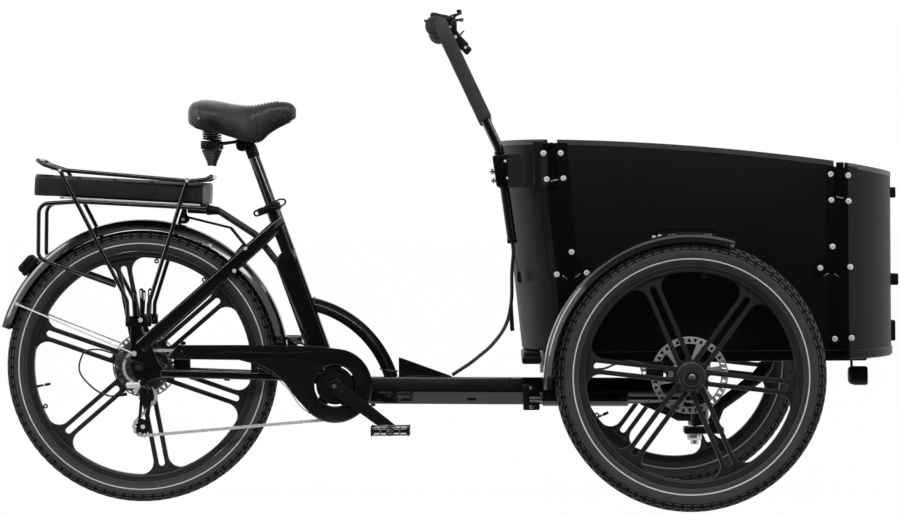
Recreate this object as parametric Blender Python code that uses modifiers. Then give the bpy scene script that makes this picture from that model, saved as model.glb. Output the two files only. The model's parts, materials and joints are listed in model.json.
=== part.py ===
# Cargo tricycle: rear-driven electric bike frame that steers a two-wheeled cargo box in front.
# Metres, +X forward, +Z up. "ahead" is measured forward from the rear axle, "side" is +Y (left).
import bpy
import bmesh
from math import asin, atan2, cos, degrees, pi, radians, sin, sqrt, tan
from mathutils import Matrix, Vector

# General
GAP = 0.0003
WHEELBASE = 1.312
TRACK = 0.770
REAR_END = 0.3414
FRONT_END = WHEELBASE + 0.5230

# Wheels
TYRE_SIDES = 40
REAR_TYRE_RADIUS = 0.3335
REAR_TYRE_WIDTH = 0.054
REAR_RIM_RADIUS = 0.2800
REAR_RIM_INNER = 0.2640
FRONT_TYRE_RADIUS = 0.3180
FRONT_TYRE_WIDTH = 0.058
FRONT_RIM_RADIUS = 0.2590
FRONT_RIM_INNER = 0.2420
RIM_WIDTH = 0.033
SPOKE_PAIRS = 6
SPOKE_SPACING = 0.026
SPOKE_WIDTH = 0.011
SPOKE_DEPTH = 0.014
REAR_SPOKE_TURN = 40.5
FRONT_SPOKE_TURN = 53.2
HUB_MOTOR_RADIUS = 0.067
HUB_MOTOR_RIGHT = -0.034
HUB_MOTOR_LEFT = 0.046
FRONT_HUB_RADIUS = 0.030
FRONT_HUB_LENGTH = 0.086
AXLE_RADIUS = 0.007
REAR_DISC_RADIUS = 0.080
FRONT_DISC_RADIUS = 0.090
DISC_THICKNESS = 0.0022
DISC_OFFSET = 0.052

# Drive
BB_AHEAD = 0.471
BB_HEIGHT = 0.285
BB_SHELL_RADIUS = 0.023
BB_SHELL_HALF = 0.034
CHAIN_PITCH = 0.0127
CHAINRING_TEETH = 40
SPROCKET_TEETH = 20
PULLEY_TEETH = 11
CHAIN_LINE = -0.052
CHAIN_WIDTH = 0.0066
CHAIN_HEIGHT = 0.0084
GUIDE_PULLEY_AHEAD = 0.014
GUIDE_PULLEY_HEIGHT = 0.262
TENSION_PULLEY_AHEAD = 0.005
TENSION_PULLEY_HEIGHT = 0.189
CASSETTE_RADII = (0.0565, 0.0505, 0.0455)
CASSETTE_SMALL_RADIUS = 0.0330
TOOTH_GAP = 0.0048
CRANK_AXLE_RADIUS = 0.0085
CRANK_LENGTH = 0.171
CRANK_ANGLE = -37.5
CRANK_FACE = -0.0730
CRANK_THICKNESS = 0.014
PEDAL_LENGTH = 0.096
PEDAL_WIDTH = 0.092
PEDAL_HEIGHT = 0.024
SPINDLE_RADIUS = 0.0045
GUARD_RADIUS = 0.0895
GUARD_WALL = 0.0018
GUARD_OUTER_SIDE = -0.0675
GUARD_INNER_SIDE = -0.0440
GUARD_OPENING = 0.051

# Frame
MAIN_TUBE_HEIGHT = 0.066
MAIN_TUBE_WIDTH = 0.050
KINGPIN_AHEAD = WHEELBASE + 0.039
KINGPIN_RADIUS = 0.010
HEAD_TUBE_RADIUS = 0.026
HEAD_TUBE_BOTTOM = 0.180
HEAD_TUBE_TOP = 0.318
SEAT_TUBE_ANGLE = 19.4
SEAT_TUBE_RADIUS = 0.0175
SEAT_TUBE_LENGTH = 0.468
CONTROLLER_DEPTH = 0.055
CONTROLLER_WIDTH = 0.048
CONTROLLER_START = 0.060
CONTROLLER_END = 0.335
CONTROLLER_SETBACK = 0.011
BRACE_RADIUS = 0.0165
BRACE_BEND = 0.259
BRACE_CENTRE_AHEAD = 0.3562
BRACE_CENTRE_HEIGHT = 0.2283
STAY_HEIGHT = 0.028
STAY_WIDTH = 0.015
CHAINSTAY_HEIGHT = 0.019
CHAINSTAY_WIDTH = 0.014
DROPOUT_SIDE = 0.0735
DROPOUT_THICKNESS = 0.006
STAY_FOOT_AHEAD = 0.0133
STAY_FOOT_HEIGHT = 0.3936
TONGUE_TOP = 0.455
SEATPOST_RADIUS = 0.0136
SEATPOST_INSERT = 0.150
SEATPOST_DROP = 0.080

# Saddle
SADDLE_TOP = 0.978
SADDLE_REAR_AHEAD = 0.119
SADDLE_LENGTH = 0.262
SADDLE_WIDTH = 0.205
SPRING_AHEAD = 0.174
SPRING_SIDE = 0.048
SPRING_RADIUS = 0.0175
SPRING_WIRE = 0.0020
SPRING_CURLS = 4
SPRING_FOOT = 0.8795
SPRING_TOP = 0.9080
SADDLE_CLAMP_DISTANCE = 0.612
RAIL_GAUGE = 0.022
NOSE_AHEAD = 0.340
NOSE_HEIGHT = 0.930
NOSE_HALF = 0.012

# Rack and battery
RACK_SIDE = 0.065
RACK_TUBE = 0.005
RACK_TILT = 3.5
BATTERY_LENGTH = 0.425
BATTERY_WIDTH = 0.108
BATTERY_HEIGHT = 0.052
BATTERY_REAR_AHEAD = -0.253
BATTERY_REAR_HEIGHT = 0.751
DOCK_THICKNESS = 0.004
REAR_FENDER_RADIUS = 0.3540
REAR_FENDER_WIDTH = 0.056
FENDER_THICKNESS = 0.0030

# Box
BOX_HALF_WIDTH = 0.300
BOX_BOTTOM = 0.3723
BOX_TOP = 0.8715
BOX_TOP_RADIUS = 5.4
BOX_TOP_START = WHEELBASE - 0.442
PANEL_THICKNESS = 0.009
SIDE_REAR_AHEAD = WHEELBASE - 0.304
SIDE_FRONT_AHEAD = WHEELBASE + 0.342
REAR_PANEL_AHEAD = WHEELBASE - 0.332
REAR_PANEL_BULGE = 0.107
FRONT_PANEL_AHEAD = WHEELBASE + 0.371
FRONT_PANEL_BULGE = 0.134
BOX_LEAN = 5.8
FLOOR_THICKNESS = 0.009
FACET_ALLOWANCE = 0.0008
RAIL_SIZE = 0.026
RAIL_SIDE = BOX_HALF_WIDTH - 0.065
RAIL_BOTTOM = 0.3450
RAIL_REAR = WHEELBASE - 0.334
RAIL_FRONT = WHEELBASE + 0.421
LOWER_CROSS_AHEAD = WHEELBASE + 0.208
DROP_PLATE_SIDE = BOX_HALF_WIDTH - 0.005
STRIP_THICKNESS = 0.0020
BOLT_HEAD_RADIUS = 0.0075
BOLT_HEAD_HEIGHT = 0.003

# Front fenders and handlebar
FRONT_FENDER_RADIUS = 0.3380
FRONT_FENDER_HEIGHT = 0.3080
FRONT_FENDER_WIDTH = 0.064
BAR_SIDE = 0.205
BAR_RADIUS = 0.011
BAR_TOP_HEIGHT = 1.149
BAR_TOP_AHEAD = WHEELBASE - 0.577
BAR_TOP_HALF_WIDTH = 0.262
BAR_BEND_HEIGHT = 0.855
BAR_LEG_AHEAD = WHEELBASE - 0.410
BAR_LEG_BOTTOM = 0.628
BAR_LEG_LEAN = 7.7
SLEEVE_RADIUS = 0.0165
LEVER_PIVOT_SIDE = 0.100

# Steering damper
DAMPER_REAR_AHEAD = WHEELBASE - 0.367
DAMPER_REAR_SIDE = 0.060
DAMPER_ARM_SIDE = 0.120
DAMPER_HEIGHT = 0.249
DAMPER_PAD_HEIGHT = 0.2615
DAMPER_RADIUS = 0.017
DAMPER_ROD_RADIUS = 0.006

ORIGIN_AHEAD = (FRONT_END - REAR_END) / 2
REAR_AXLE_HEIGHT = REAR_TYRE_RADIUS
FRONT_AXLE_HEIGHT = FRONT_TYRE_RADIUS
SEAT_SLOPE = radians(SEAT_TUBE_ANGLE)
LEAN = radians(BOX_LEAN)


def spot(ahead, side, height):
    """A point of the part, from its place ahead of the rear axle."""
    return Vector((ahead - ORIGIN_AHEAD, side, height))


def along_seat_tube(distance, setback=0.0, side=0.0):
    """A point up the seat tube from the bottom bracket, setback behind its axis."""
    ahead = BB_AHEAD - distance * sin(SEAT_SLOPE) - setback * cos(SEAT_SLOPE)
    height = BB_HEIGHT + distance * cos(SEAT_SLOPE) - setback * sin(SEAT_SLOPE)
    return spot(ahead, side, height)


# Scene, collections and materials

for old_object in list(bpy.data.objects):
    bpy.data.objects.remove(old_object, do_unlink=True)
bike = bpy.data.collections.new("cargo_bike")
workshop = bpy.data.collections.new("workshop")
bpy.context.scene.collection.children.link(bike)
bpy.context.scene.collection.children.link(workshop)


def material(name, colour, roughness, metallic=0.0):
    made = bpy.data.materials.new(name)
    made.use_nodes = True
    shader = made.node_tree.nodes["Principled BSDF"]
    shader.inputs["Base Color"].default_value = (*colour, 1.0)
    shader.inputs["Roughness"].default_value = roughness
    shader.inputs["Metallic"].default_value = metallic
    made.diffuse_color = (*colour, 1.0)
    return made


PAINT = material("gloss_black_paint", (0.010, 0.010, 0.011), 0.20)
SATIN = material("satin_black_metal", (0.022, 0.022, 0.024), 0.45)
PANEL = material("black_panel", (0.018, 0.018, 0.019), 0.50)
WHEEL = material("dark_wheel_alloy", (0.055, 0.055, 0.058), 0.40, 0.6)
RUBBER = material("tyre_rubber", (0.045, 0.045, 0.046), 0.80)
STEEL = material("bright_steel", (0.62, 0.62, 0.63), 0.28, 1.0)
PLASTIC = material("black_plastic", (0.030, 0.030, 0.031), 0.50)
VINYL = material("saddle_vinyl", (0.060, 0.060, 0.062), 0.55)
FOAM = material("bar_foam", (0.050, 0.050, 0.051), 0.85)
RED = material("red_lens", (0.20, 0.01, 0.01), 0.20)


# Building helpers: each returns one closed mesh object in the workshop collection


def shape_from_mesh(mesh):
    made = bpy.data.objects.new("shape", mesh)
    workshop.objects.link(made)
    return made


def bake(shape, weld=0.0):
    """Replaces an object by the plain mesh that its modifiers or its curve give."""
    bpy.context.view_layer.update()
    graph = bpy.context.evaluated_depsgraph_get()
    mesh = bpy.data.meshes.new_from_object(shape.evaluated_get(graph))
    mesh.transform(shape.matrix_world)
    bpy.data.objects.remove(shape, do_unlink=True)
    cage = bmesh.new()
    cage.from_mesh(mesh)
    if weld:
        bmesh.ops.remove_doubles(cage, verts=cage.verts, dist=weld)
    bmesh.ops.recalc_face_normals(cage, faces=cage.faces)
    cage.to_mesh(mesh)
    cage.free()
    return shape_from_mesh(mesh)


def box(size, centre, turn=0.0, bevel=0.0):
    """A block, turned about Y by an angle in degrees, with its edges bevelled."""
    cage = bmesh.new()
    bmesh.ops.create_cube(cage, size=1.0)
    bmesh.ops.scale(cage, vec=size, verts=cage.verts)
    mesh = bpy.data.meshes.new("box")
    cage.to_mesh(mesh)
    cage.free()
    made = shape_from_mesh(mesh)
    if bevel:
        edge = made.modifiers.new("edge", "BEVEL")
        edge.width = bevel
        edge.segments = 1
        edge.limit_method = "NONE"
    made.location = centre
    made.rotation_euler = (0.0, radians(turn), 0.0)
    return bake(made)


def cone(start, end, start_radius, end_radius, sides=16):
    """A round bar between two points, which may taper."""
    start = Vector(start)
    end = Vector(end)
    axis = end - start
    cage = bmesh.new()
    bmesh.ops.create_cone(cage, cap_ends=True, segments=sides, radius1=start_radius,
                          radius2=end_radius, depth=axis.length)
    mesh = bpy.data.meshes.new("cone")
    cage.to_mesh(mesh)
    cage.free()
    made = shape_from_mesh(mesh)
    made.location = (start + end) / 2
    made.rotation_euler = axis.to_track_quat("Z", "Y").to_euler()
    return bake(made)


def bar(start, end, radius, sides=16):
    return cone(start, end, radius, radius, sides)


def across(ahead, height, side_start, side_end, radius, sides=16):
    """A round bar that lies along Y."""
    return bar(spot(ahead, side_start, height), spot(ahead, side_end, height), radius, sides)


def pipe(points, radius, resolution=1, closed=False):
    """A tube along points, filled at its ends."""
    curve = bpy.data.curves.new("pipe", "CURVE")
    curve.dimensions = "3D"
    curve.bevel_depth = radius
    curve.bevel_resolution = resolution
    curve.use_fill_caps = not closed
    spline = curve.splines.new("POLY")
    spline.points.add(len(points) - 1)
    for index, point in enumerate(points):
        spline.points[index].co = (*point, 1.0)
    spline.use_cyclic_u = closed
    made = bpy.data.objects.new("pipe", curve)
    workshop.objects.link(made)
    return bake(made, weld=0.00001)


def beam(points, width, height, closed=False):
    """A rectangular tube along points: width is level, height is upright."""
    profile = bpy.data.curves.new("profile", "CURVE")
    profile.dimensions = "2D"
    outline = profile.splines.new("POLY")
    outline.points.add(3)
    corners = ((-1, -1), (1, -1), (1, 1), (-1, 1))
    for index, (sideways, upward) in enumerate(corners):
        outline.points[index].co = (sideways * width / 2, upward * height / 2, 0.0, 1.0)
    outline.use_cyclic_u = True
    guide = bpy.data.objects.new("profile", profile)
    workshop.objects.link(guide)
    curve = bpy.data.curves.new("beam", "CURVE")
    curve.dimensions = "3D"
    curve.twist_mode = "Z_UP"
    curve.bevel_mode = "OBJECT"
    curve.bevel_object = guide
    curve.use_fill_caps = not closed
    spline = curve.splines.new("POLY")
    spline.points.add(len(points) - 1)
    for index, point in enumerate(points):
        spline.points[index].co = (*point, 1.0)
    spline.use_cyclic_u = closed
    made = bpy.data.objects.new("beam", curve)
    workshop.objects.link(made)
    made = bake(made, weld=0.00001)
    bpy.data.objects.remove(guide, do_unlink=True)
    return made


def filled_outline(outlines, thickness):
    """A flat outline, less the holes that follow it, thickened equally to both sides."""
    curve = bpy.data.curves.new("plate", "CURVE")
    curve.dimensions = "2D"
    curve.fill_mode = "BOTH"
    curve.extrude = thickness / 2
    for outline in outlines:
        spline = curve.splines.new("POLY")
        spline.points.add(len(outline) - 1)
        for index, (ahead, other) in enumerate(outline):
            spline.points[index].co = (ahead - ORIGIN_AHEAD, other, 0.0, 1.0)
        spline.use_cyclic_u = True
    return curve


def slab(outline, low, high):
    """A level plate: its outline is (ahead, side) points, its thickness lies along Z."""
    made = bpy.data.objects.new("slab", filled_outline([outline], high - low))
    workshop.objects.link(made)
    made.location = (0.0, 0.0, (low + high) / 2)
    return bake(made, weld=0.00001)


def plate(outline, side_from, side_to, hole=None):
    """An upright plate: its outline is (ahead, height) points, its thickness lies along Y."""
    outlines = [outline, hole] if hole else [outline]
    made = bpy.data.objects.new("plate", filled_outline(outlines, abs(side_to - side_from)))
    workshop.objects.link(made)
    made.location = (0.0, (side_from + side_to) / 2, 0.0)
    made.rotation_euler = (pi / 2, 0.0, 0.0)
    return bake(made, weld=0.00001)


def turned(profile, centre, steps, axis="Y"):
    """A ring from a closed loop of (radius, offset) points, turned about Y or Z."""
    cage = bmesh.new()
    vertices = [cage.verts.new((radius, 0.0, offset)) for radius, offset in profile]
    for index, vertex in enumerate(vertices):
        cage.edges.new((vertex, vertices[(index + 1) % len(vertices)]))
    bmesh.ops.rotate(cage, verts=cage.verts, cent=(0, 0, 0), matrix=Matrix.Rotation(pi / steps, 3, "Z"))
    mesh = bpy.data.meshes.new("ring")
    cage.to_mesh(mesh)
    cage.free()
    made = shape_from_mesh(mesh)
    screw = made.modifiers.new("turn", "SCREW")
    screw.steps = steps
    screw.render_steps = steps
    screw.use_merge_vertices = True
    screw.merge_threshold = 0.00001
    made.location = centre
    if axis == "Y":
        made.rotation_euler = (pi / 2, 0.0, 0.0)
    return bake(made, weld=0.00001)


def loft(rings):
    """Faces between rings of the same number of points, closed at both ends."""
    cage = bmesh.new()
    rows = [[cage.verts.new(point) for point in ring] for ring in rings]
    count = len(rows[0])
    for lower, upper in zip(rows, rows[1:]):
        for index in range(count):
            following = (index + 1) % count
            cage.faces.new((lower[index], lower[following], upper[following], upper[index]))
    cage.faces.new(list(reversed(rows[0])))
    cage.faces.new(rows[-1])
    bmesh.ops.recalc_face_normals(cage, faces=cage.faces)
    mesh = bpy.data.meshes.new("loft")
    cage.to_mesh(mesh)
    cage.free()
    return shape_from_mesh(mesh)


def sweep(profile, centre, start, stop, steps):
    """A strip bent round centre from one angle to another, from a closed loop of (radius, offset) points."""
    rings = []
    for step in range(steps + 1):
        angle = radians(start + (stop - start) * step / steps)
        rings.append([centre + Vector((radius * cos(angle), offset, radius * sin(angle)))
                      for radius, offset in profile])
    return loft(rings)


def combine(base, tool, operation):
    boolean = base.modifiers.new(operation.lower(), "BOOLEAN")
    boolean.operation = operation
    boolean.solver = "EXACT"
    boolean.object = tool
    made = bake(base)
    bpy.data.objects.remove(tool, do_unlink=True)
    return made


def join(*shapes):
    made = shapes[0]
    for extra in shapes[1:]:
        made = combine(made, extra, "UNION")
    return made


def cut(base, *tools):
    made = base
    for tool in tools:
        made = combine(made, tool, "DIFFERENCE")
    return made


def mirrored(shape, keep=True):
    """A copy of a shape on the other side of the bike."""
    mesh = shape.data.copy()
    mesh.transform(Matrix.Scale(-1.0, 4, (0.0, 1.0, 0.0)))
    mesh.flip_normals()
    if not keep:
        bpy.data.objects.remove(shape, do_unlink=True)
    return shape_from_mesh(mesh)


def pivot(name, location, parent=None):
    """An empty on a joint's axis, which carries the pieces that move with it."""
    made = bpy.data.objects.new(name, None)
    made.empty_display_size = 0.03
    bike.objects.link(made)
    made.parent = parent
    parent_place = parent.matrix_world.translation if parent else Vector((0.0, 0.0, 0.0))
    made.location = Vector(location) - parent_place
    bpy.context.view_layer.update()
    return made


def name_part(shape, name, finish, parent=None, smooth=35.0):
    """Puts a finished shape in the bike under its own name."""
    shape.name = name
    shape.data.name = name
    shape.data.materials.clear()
    shape.data.materials.append(finish)
    shape.data.shade_smooth()
    shape.data.set_sharp_from_angle(angle=radians(smooth))
    workshop.objects.unlink(shape)
    bike.objects.link(shape)
    if parent:
        shape.data.transform(Matrix.Translation(-parent.matrix_world.translation))
        shape.parent = parent
    return shape


def circle(ahead, height, radius, start, stop, count):
    """Points round an arc, in degrees, as (ahead, height)."""
    step = radians(stop - start) / count
    return [(ahead + radius * cos(radians(start) + step * index),
             height + radius * sin(radians(start) + step * index)) for index in range(count + 1)]


def bend(points, radius, steps=3):
    """A route whose corners are rounded by arcs."""
    route = [Vector(points[0])]
    for before, corner, after in zip(points, points[1:], points[2:]):
        corner = Vector(corner)
        backward = (Vector(before) - corner).normalized()
        forward = (Vector(after) - corner).normalized()
        half_angle = backward.angle(forward) / 2
        reach = radius / tan(half_angle)
        middle = corner + (backward + forward).normalized() * radius / sin(half_angle)
        start = corner + backward * reach - middle
        turn = pi - 2 * half_angle
        normal = start.cross(corner + forward * reach - middle).normalized()
        for step in range(steps + 1):
            route.append(middle + Matrix.Rotation(turn * step / steps, 3, normal) @ start)
    route.append(Vector(points[-1]))
    return route


def inset(outline, distance):
    """The outline moved inwards by a distance, corner by corner."""
    count = len(outline)
    area = sum(a[0] * b[1] - b[0] * a[1] for a, b in zip(outline, outline[1:] + outline[:1]))
    hand = 1 if area > 0 else -1
    moved = []
    for index, point in enumerate(outline):
        arriving = (Vector(point) - Vector(outline[index - 1])).normalized()
        leaving = (Vector(outline[(index + 1) % count]) - Vector(point)).normalized()
        normal = Vector((-(arriving + leaving).y, (arriving + leaving).x)).normalized() * hand
        share = max(0.4, normal.dot(Vector((-arriving.y, arriving.x)) * hand))
        moved.append(tuple(Vector(point) + normal * distance / share))
    return moved


def arc_point(angle, radius):
    """A point about the rear axle, at an angle in degrees above the forward direction."""
    return spot(radius * cos(radians(angle)), 0, REAR_AXLE_HEIGHT + radius * sin(radians(angle)))


def rounded(points, steps):
    """A smooth route through points, with a number of steps between each two of them."""
    route = []
    for index in range(len(points) - 1):
        before = points[max(index - 1, 0)]
        start = points[index]
        end = points[index + 1]
        after = points[min(index + 2, len(points) - 1)]
        for step in range(steps):
            t = step / steps
            turned_in = (end - before) * t + (2 * before - 5 * start + 4 * end - after) * t ** 2
            route.append(start + (turned_in + (3 * start - before - 3 * end + after) * t ** 3) / 2)
    route.append(points[-1])
    return route


def stretched(points, extra):
    """The same route with both its ends drawn out by a length."""
    first = points[0] + (points[0] - points[1]).normalized() * extra
    last = points[-1] + (points[-1] - points[-2]).normalized() * extra
    return [first] + list(points[1:-1]) + [last]


# Pivots, one for each joint

steering = pivot("steering_axis", spot(KINGPIN_AHEAD, 0, HEAD_TUBE_TOP))
rear_wheel_axis = pivot("rear_wheel_axis", spot(0, 0, REAR_AXLE_HEIGHT))
cassette_axis = pivot("cassette_axis", spot(0, CHAIN_LINE, REAR_AXLE_HEIGHT))
crank_axis = pivot("crank_axis", spot(BB_AHEAD, 0, BB_HEIGHT))
guide_axis = pivot("guide_pulley_axis", spot(GUIDE_PULLEY_AHEAD, CHAIN_LINE, GUIDE_PULLEY_HEIGHT))
tension_axis = pivot("tension_pulley_axis", spot(TENSION_PULLEY_AHEAD, CHAIN_LINE, TENSION_PULLEY_HEIGHT))


# Wheels


def tyre(centre, radius, width, bead):
    outer = radius / cos(pi / TYRE_SIDES)
    middle = bead + 0.48 * (radius - bead)
    half = [(bead, 0.30), (middle, 0.50), (outer, 0.27)]
    profile = [(r, -share * width) for r, share in half] + [(r, share * width) for r,
                                                            share in reversed(half)]
    return turned(profile, centre, TYRE_SIDES)


def rim_ring(centre, radius, inner):
    half = RIM_WIDTH / 2
    profile = [(inner, -half * 0.75), (radius, -half), (radius, half), (inner, half * 0.75)]
    return turned(profile, centre, TYRE_SIDES)


def spokes(centre, hub_radius, inner, turn):
    """Pairs of parallel bars from the hub to the rim, each pair webbed at the rim."""
    shapes = []
    root = 0.6 * hub_radius
    reach = inner + 0.004 - root
    for pair in range(SPOKE_PAIRS):
        angle = radians(turn) + pair * 2 * pi / SPOKE_PAIRS
        outward = Vector((cos(angle), 0.0, sin(angle)))
        sideways = Vector((-sin(angle), 0.0, cos(angle)))
        for hand in (-1, 1):
            middle = centre + outward * (root + reach / 2) + sideways * hand * SPOKE_SPACING / 2
            shapes.append(box((reach, SPOKE_DEPTH, SPOKE_WIDTH), middle, -turn - pair * 360 / SPOKE_PAIRS))
        web = centre + outward * (inner - 0.006)
        web_size = (0.022, SPOKE_DEPTH, SPOKE_SPACING + 2.2 * SPOKE_WIDTH)
        shapes.append(box(web_size, web, -turn - pair * 360 / SPOKE_PAIRS))
    return shapes


def brake_disc(centre, radius, side):
    """A brake disc: a thin plate about the wheel's axis."""
    half = Vector((0.0, DISC_THICKNESS / 2, 0.0))
    place = centre + Vector((0.0, side, 0.0))
    return bar(place - half, place + half, radius, 28)


def rear_wheel():
    centre = spot(0, 0, REAR_AXLE_HEIGHT)
    name_part(tyre(centre, REAR_TYRE_RADIUS, REAR_TYRE_WIDTH, REAR_RIM_RADIUS + GAP),
              "rear_tyre", RUBBER, rear_wheel_axis)
    motor = across(0, REAR_AXLE_HEIGHT, HUB_MOTOR_RIGHT, HUB_MOTOR_LEFT, HUB_MOTOR_RADIUS, 24)
    boss = across(0, REAR_AXLE_HEIGHT, HUB_MOTOR_LEFT - 0.004, DISC_OFFSET + DISC_THICKNESS, 0.024, 12)
    disc = brake_disc(centre, REAR_DISC_RADIUS, DISC_OFFSET)
    wheel = join(motor, boss, *spokes(centre, HUB_MOTOR_RADIUS, REAR_RIM_INNER, REAR_SPOKE_TURN),
                 rim_ring(centre, REAR_RIM_RADIUS, REAR_RIM_INNER), disc)
    bore = across(0, REAR_AXLE_HEIGHT, -0.06, 0.07, (AXLE_RADIUS + GAP) / cos(pi / 12), 12)
    name_part(cut(wheel, bore), "rear_wheel", WHEEL, rear_wheel_axis)


def front_wheels():
    centre = spot(WHEELBASE, -TRACK / 2, FRONT_AXLE_HEIGHT)
    rubber = tyre(centre, FRONT_TYRE_RADIUS, FRONT_TYRE_WIDTH, FRONT_RIM_RADIUS + GAP)
    half = FRONT_HUB_LENGTH / 2
    middle = -TRACK / 2
    hub = across(WHEELBASE, FRONT_AXLE_HEIGHT, middle - half, middle + half, FRONT_HUB_RADIUS, 14)
    cap = cone(spot(WHEELBASE, middle - half + 0.002, FRONT_AXLE_HEIGHT),
               spot(WHEELBASE, middle - half - 0.011, FRONT_AXLE_HEIGHT), 0.023, 0.014, 12)
    boss = across(WHEELBASE, FRONT_AXLE_HEIGHT, middle + half - 0.002, middle + DISC_OFFSET + DISC_THICKNESS,
                  0.024, 12)
    disc = brake_disc(centre, FRONT_DISC_RADIUS, DISC_OFFSET)
    wheel = join(hub, cap, boss, *spokes(centre, FRONT_HUB_RADIUS, FRONT_RIM_INNER, FRONT_SPOKE_TURN),
                 rim_ring(centre, FRONT_RIM_RADIUS, FRONT_RIM_INNER), disc)
    bore = across(WHEELBASE, FRONT_AXLE_HEIGHT, middle - half + 0.004, middle + 0.08,
                  (AXLE_RADIUS + GAP) / cos(pi / 12), 12)
    wheel = cut(wheel, bore)
    other_rubber = mirrored(rubber)
    other_wheel = mirrored(wheel)
    right = pivot("front_wheel_axis_right", centre, steering)
    left = pivot("front_wheel_axis_left", spot(WHEELBASE, TRACK / 2, FRONT_AXLE_HEIGHT), steering)
    name_part(rubber, "front_tyre_right", RUBBER, right)
    name_part(wheel, "front_wheel_right", WHEEL, right)
    name_part(other_rubber, "front_tyre_left", RUBBER, left)
    name_part(other_wheel, "front_wheel_left", WHEEL, left)


rear_wheel()
front_wheels()


# Frame


def main_tube(grow=0.0):
    """The six-sided main tube, from the bottom bracket to the steering head."""
    stations = ((BB_AHEAD + 0.012, 0.2385, 1.0), (KINGPIN_AHEAD - 0.421, 0.2330, 1.0),
                (KINGPIN_AHEAD - 0.151, 0.2330, 0.95), (KINGPIN_AHEAD, 0.2380, 0.82))
    rings = []
    for ahead, bottom, share in stations:
        half = MAIN_TUBE_WIDTH / 2 * share + grow
        low = bottom - grow
        high = bottom + MAIN_TUBE_HEIGHT * share + grow
        crease = (low + high) / 2
        flat = half * 0.6
        section = ((-flat, low), (flat, low), (half, crease), (flat, high), (-flat, high), (-half, crease))
        rings.append([spot(ahead, side, height) for side, height in section])
    return loft(rings)


def brace_gusset(grow=0.0):
    """The wedge in front of the curved brace's foot."""
    outline = [(0.6235 - grow, 0.290), (0.6235 - grow, 0.350 + grow), (0.752 + grow, 0.303 + grow),
               (0.752, 0.290)]
    return plate(outline, -0.011 - grow, 0.011 + grow)


def bottom_bracket(grow=0.0):
    return across(BB_AHEAD, BB_HEIGHT, -BB_SHELL_HALF - grow, BB_SHELL_HALF + grow, BB_SHELL_RADIUS + grow,
                  16)


def seat_tube_solid(grow=0.0):
    """Round seat tube whose lower half widens into the controller housing."""
    tube = bar(along_seat_tube(0.0), along_seat_tube(SEAT_TUBE_LENGTH), SEAT_TUBE_RADIUS + grow, 14)
    middle = (CONTROLLER_START + CONTROLLER_END) / 2
    size = (CONTROLLER_DEPTH + 2 * grow, CONTROLLER_WIDTH + 2 * grow, CONTROLLER_END - CONTROLLER_START)
    housing = box(size, along_seat_tube(middle, CONTROLLER_SETBACK), -SEAT_TUBE_ANGLE, 0.009)
    return join(tube, housing)


def frame():
    head = bar(spot(KINGPIN_AHEAD, 0, HEAD_TUBE_BOTTOM), spot(KINGPIN_AHEAD, 0, HEAD_TUBE_TOP),
               HEAD_TUBE_RADIUS, 14)
    outline = [(KINGPIN_AHEAD - 0.151, 0.250), (KINGPIN_AHEAD - 0.016, 0.250),
               (KINGPIN_AHEAD - 0.016, 0.190),
               (KINGPIN_AHEAD - 0.051, 0.190), (KINGPIN_AHEAD - 0.141, 0.230)]
    head_gusset = plate(outline, -0.010, 0.010)
    body = join(main_tube(), brace_gusset(), head, head_gusset, bottom_bracket())
    # Both bores are wide enough for the corners of the round parts that turn in them.
    pin_bore = bar(spot(KINGPIN_AHEAD, 0, 0.10), spot(KINGPIN_AHEAD, 0, 0.40),
                   (KINGPIN_RADIUS + GAP) / cos(pi / 12), 12)
    crank_bore = across(BB_AHEAD, BB_HEIGHT, -0.05, 0.05, (CRANK_AXLE_RADIUS + GAP) / cos(pi / 12), 12)
    arc = circle(BRACE_CENTRE_AHEAD, BRACE_CENTRE_HEIGHT, BRACE_BEND, 84, 16, 10)
    brace = pipe([spot(ahead, 0, height) for ahead, height in arc], BRACE_RADIUS, 2)
    brace = cut(brace, seat_tube_solid(GAP))
    name_part(cut(join(body, brace), pin_bore, crank_bore), "main_frame", PAINT)

    post_bore = bar(along_seat_tube(SEAT_TUBE_LENGTH - SEATPOST_INSERT - SEATPOST_DROP - 0.01),
                    along_seat_tube(SEAT_TUBE_LENGTH + 0.01), SEATPOST_RADIUS + GAP, 14)
    tube = cut(seat_tube_solid(), bottom_bracket(GAP), main_tube(GAP), post_bore)
    name_part(tube, "seat_tube", PAINT)


def seat_stay(grow=0.0):
    """Right seat stay: beside the seat tube, out round the tyre, down to the dropout."""
    beside_tube = SEAT_TUBE_RADIUS + 2 * GAP + STAY_WIDTH / 2
    route = [spot(0.3380, -beside_tube, 0.6790), spot(0.2900, -0.0350, 0.6368),
             spot(0.2400, -0.0425, 0.5928),
             spot(STAY_FOOT_AHEAD, -DROPOUT_SIDE, STAY_FOOT_HEIGHT)]
    route[-1] += (route[-1] - route[-2]).normalized() * grow
    return beam(route, STAY_WIDTH + 2 * grow, STAY_HEIGHT + 2 * grow)


def chainstay(grow=0.0):
    """Right chainstay, from the bottom bracket shell round the tyre to the dropout."""
    route = ((0.4600, 0.0240, 0.2985), (0.4000, 0.0335, 0.3035), (0.3450, 0.0445, 0.3065),
             (0.1000, 0.0685, 0.3165), (0.0500, DROPOUT_SIDE, 0.3185))
    points = [spot(ahead, -side, height) for ahead, side, height in route]
    return beam(points, CHAINSTAY_WIDTH + 2 * grow, CHAINSTAY_HEIGHT + 2 * grow)


def stay_bridge(grow=0.0):
    reach = 0.0335
    return across(0.2560, 0.6180, -reach - grow, reach + grow, 0.006 + grow, 10)


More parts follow.
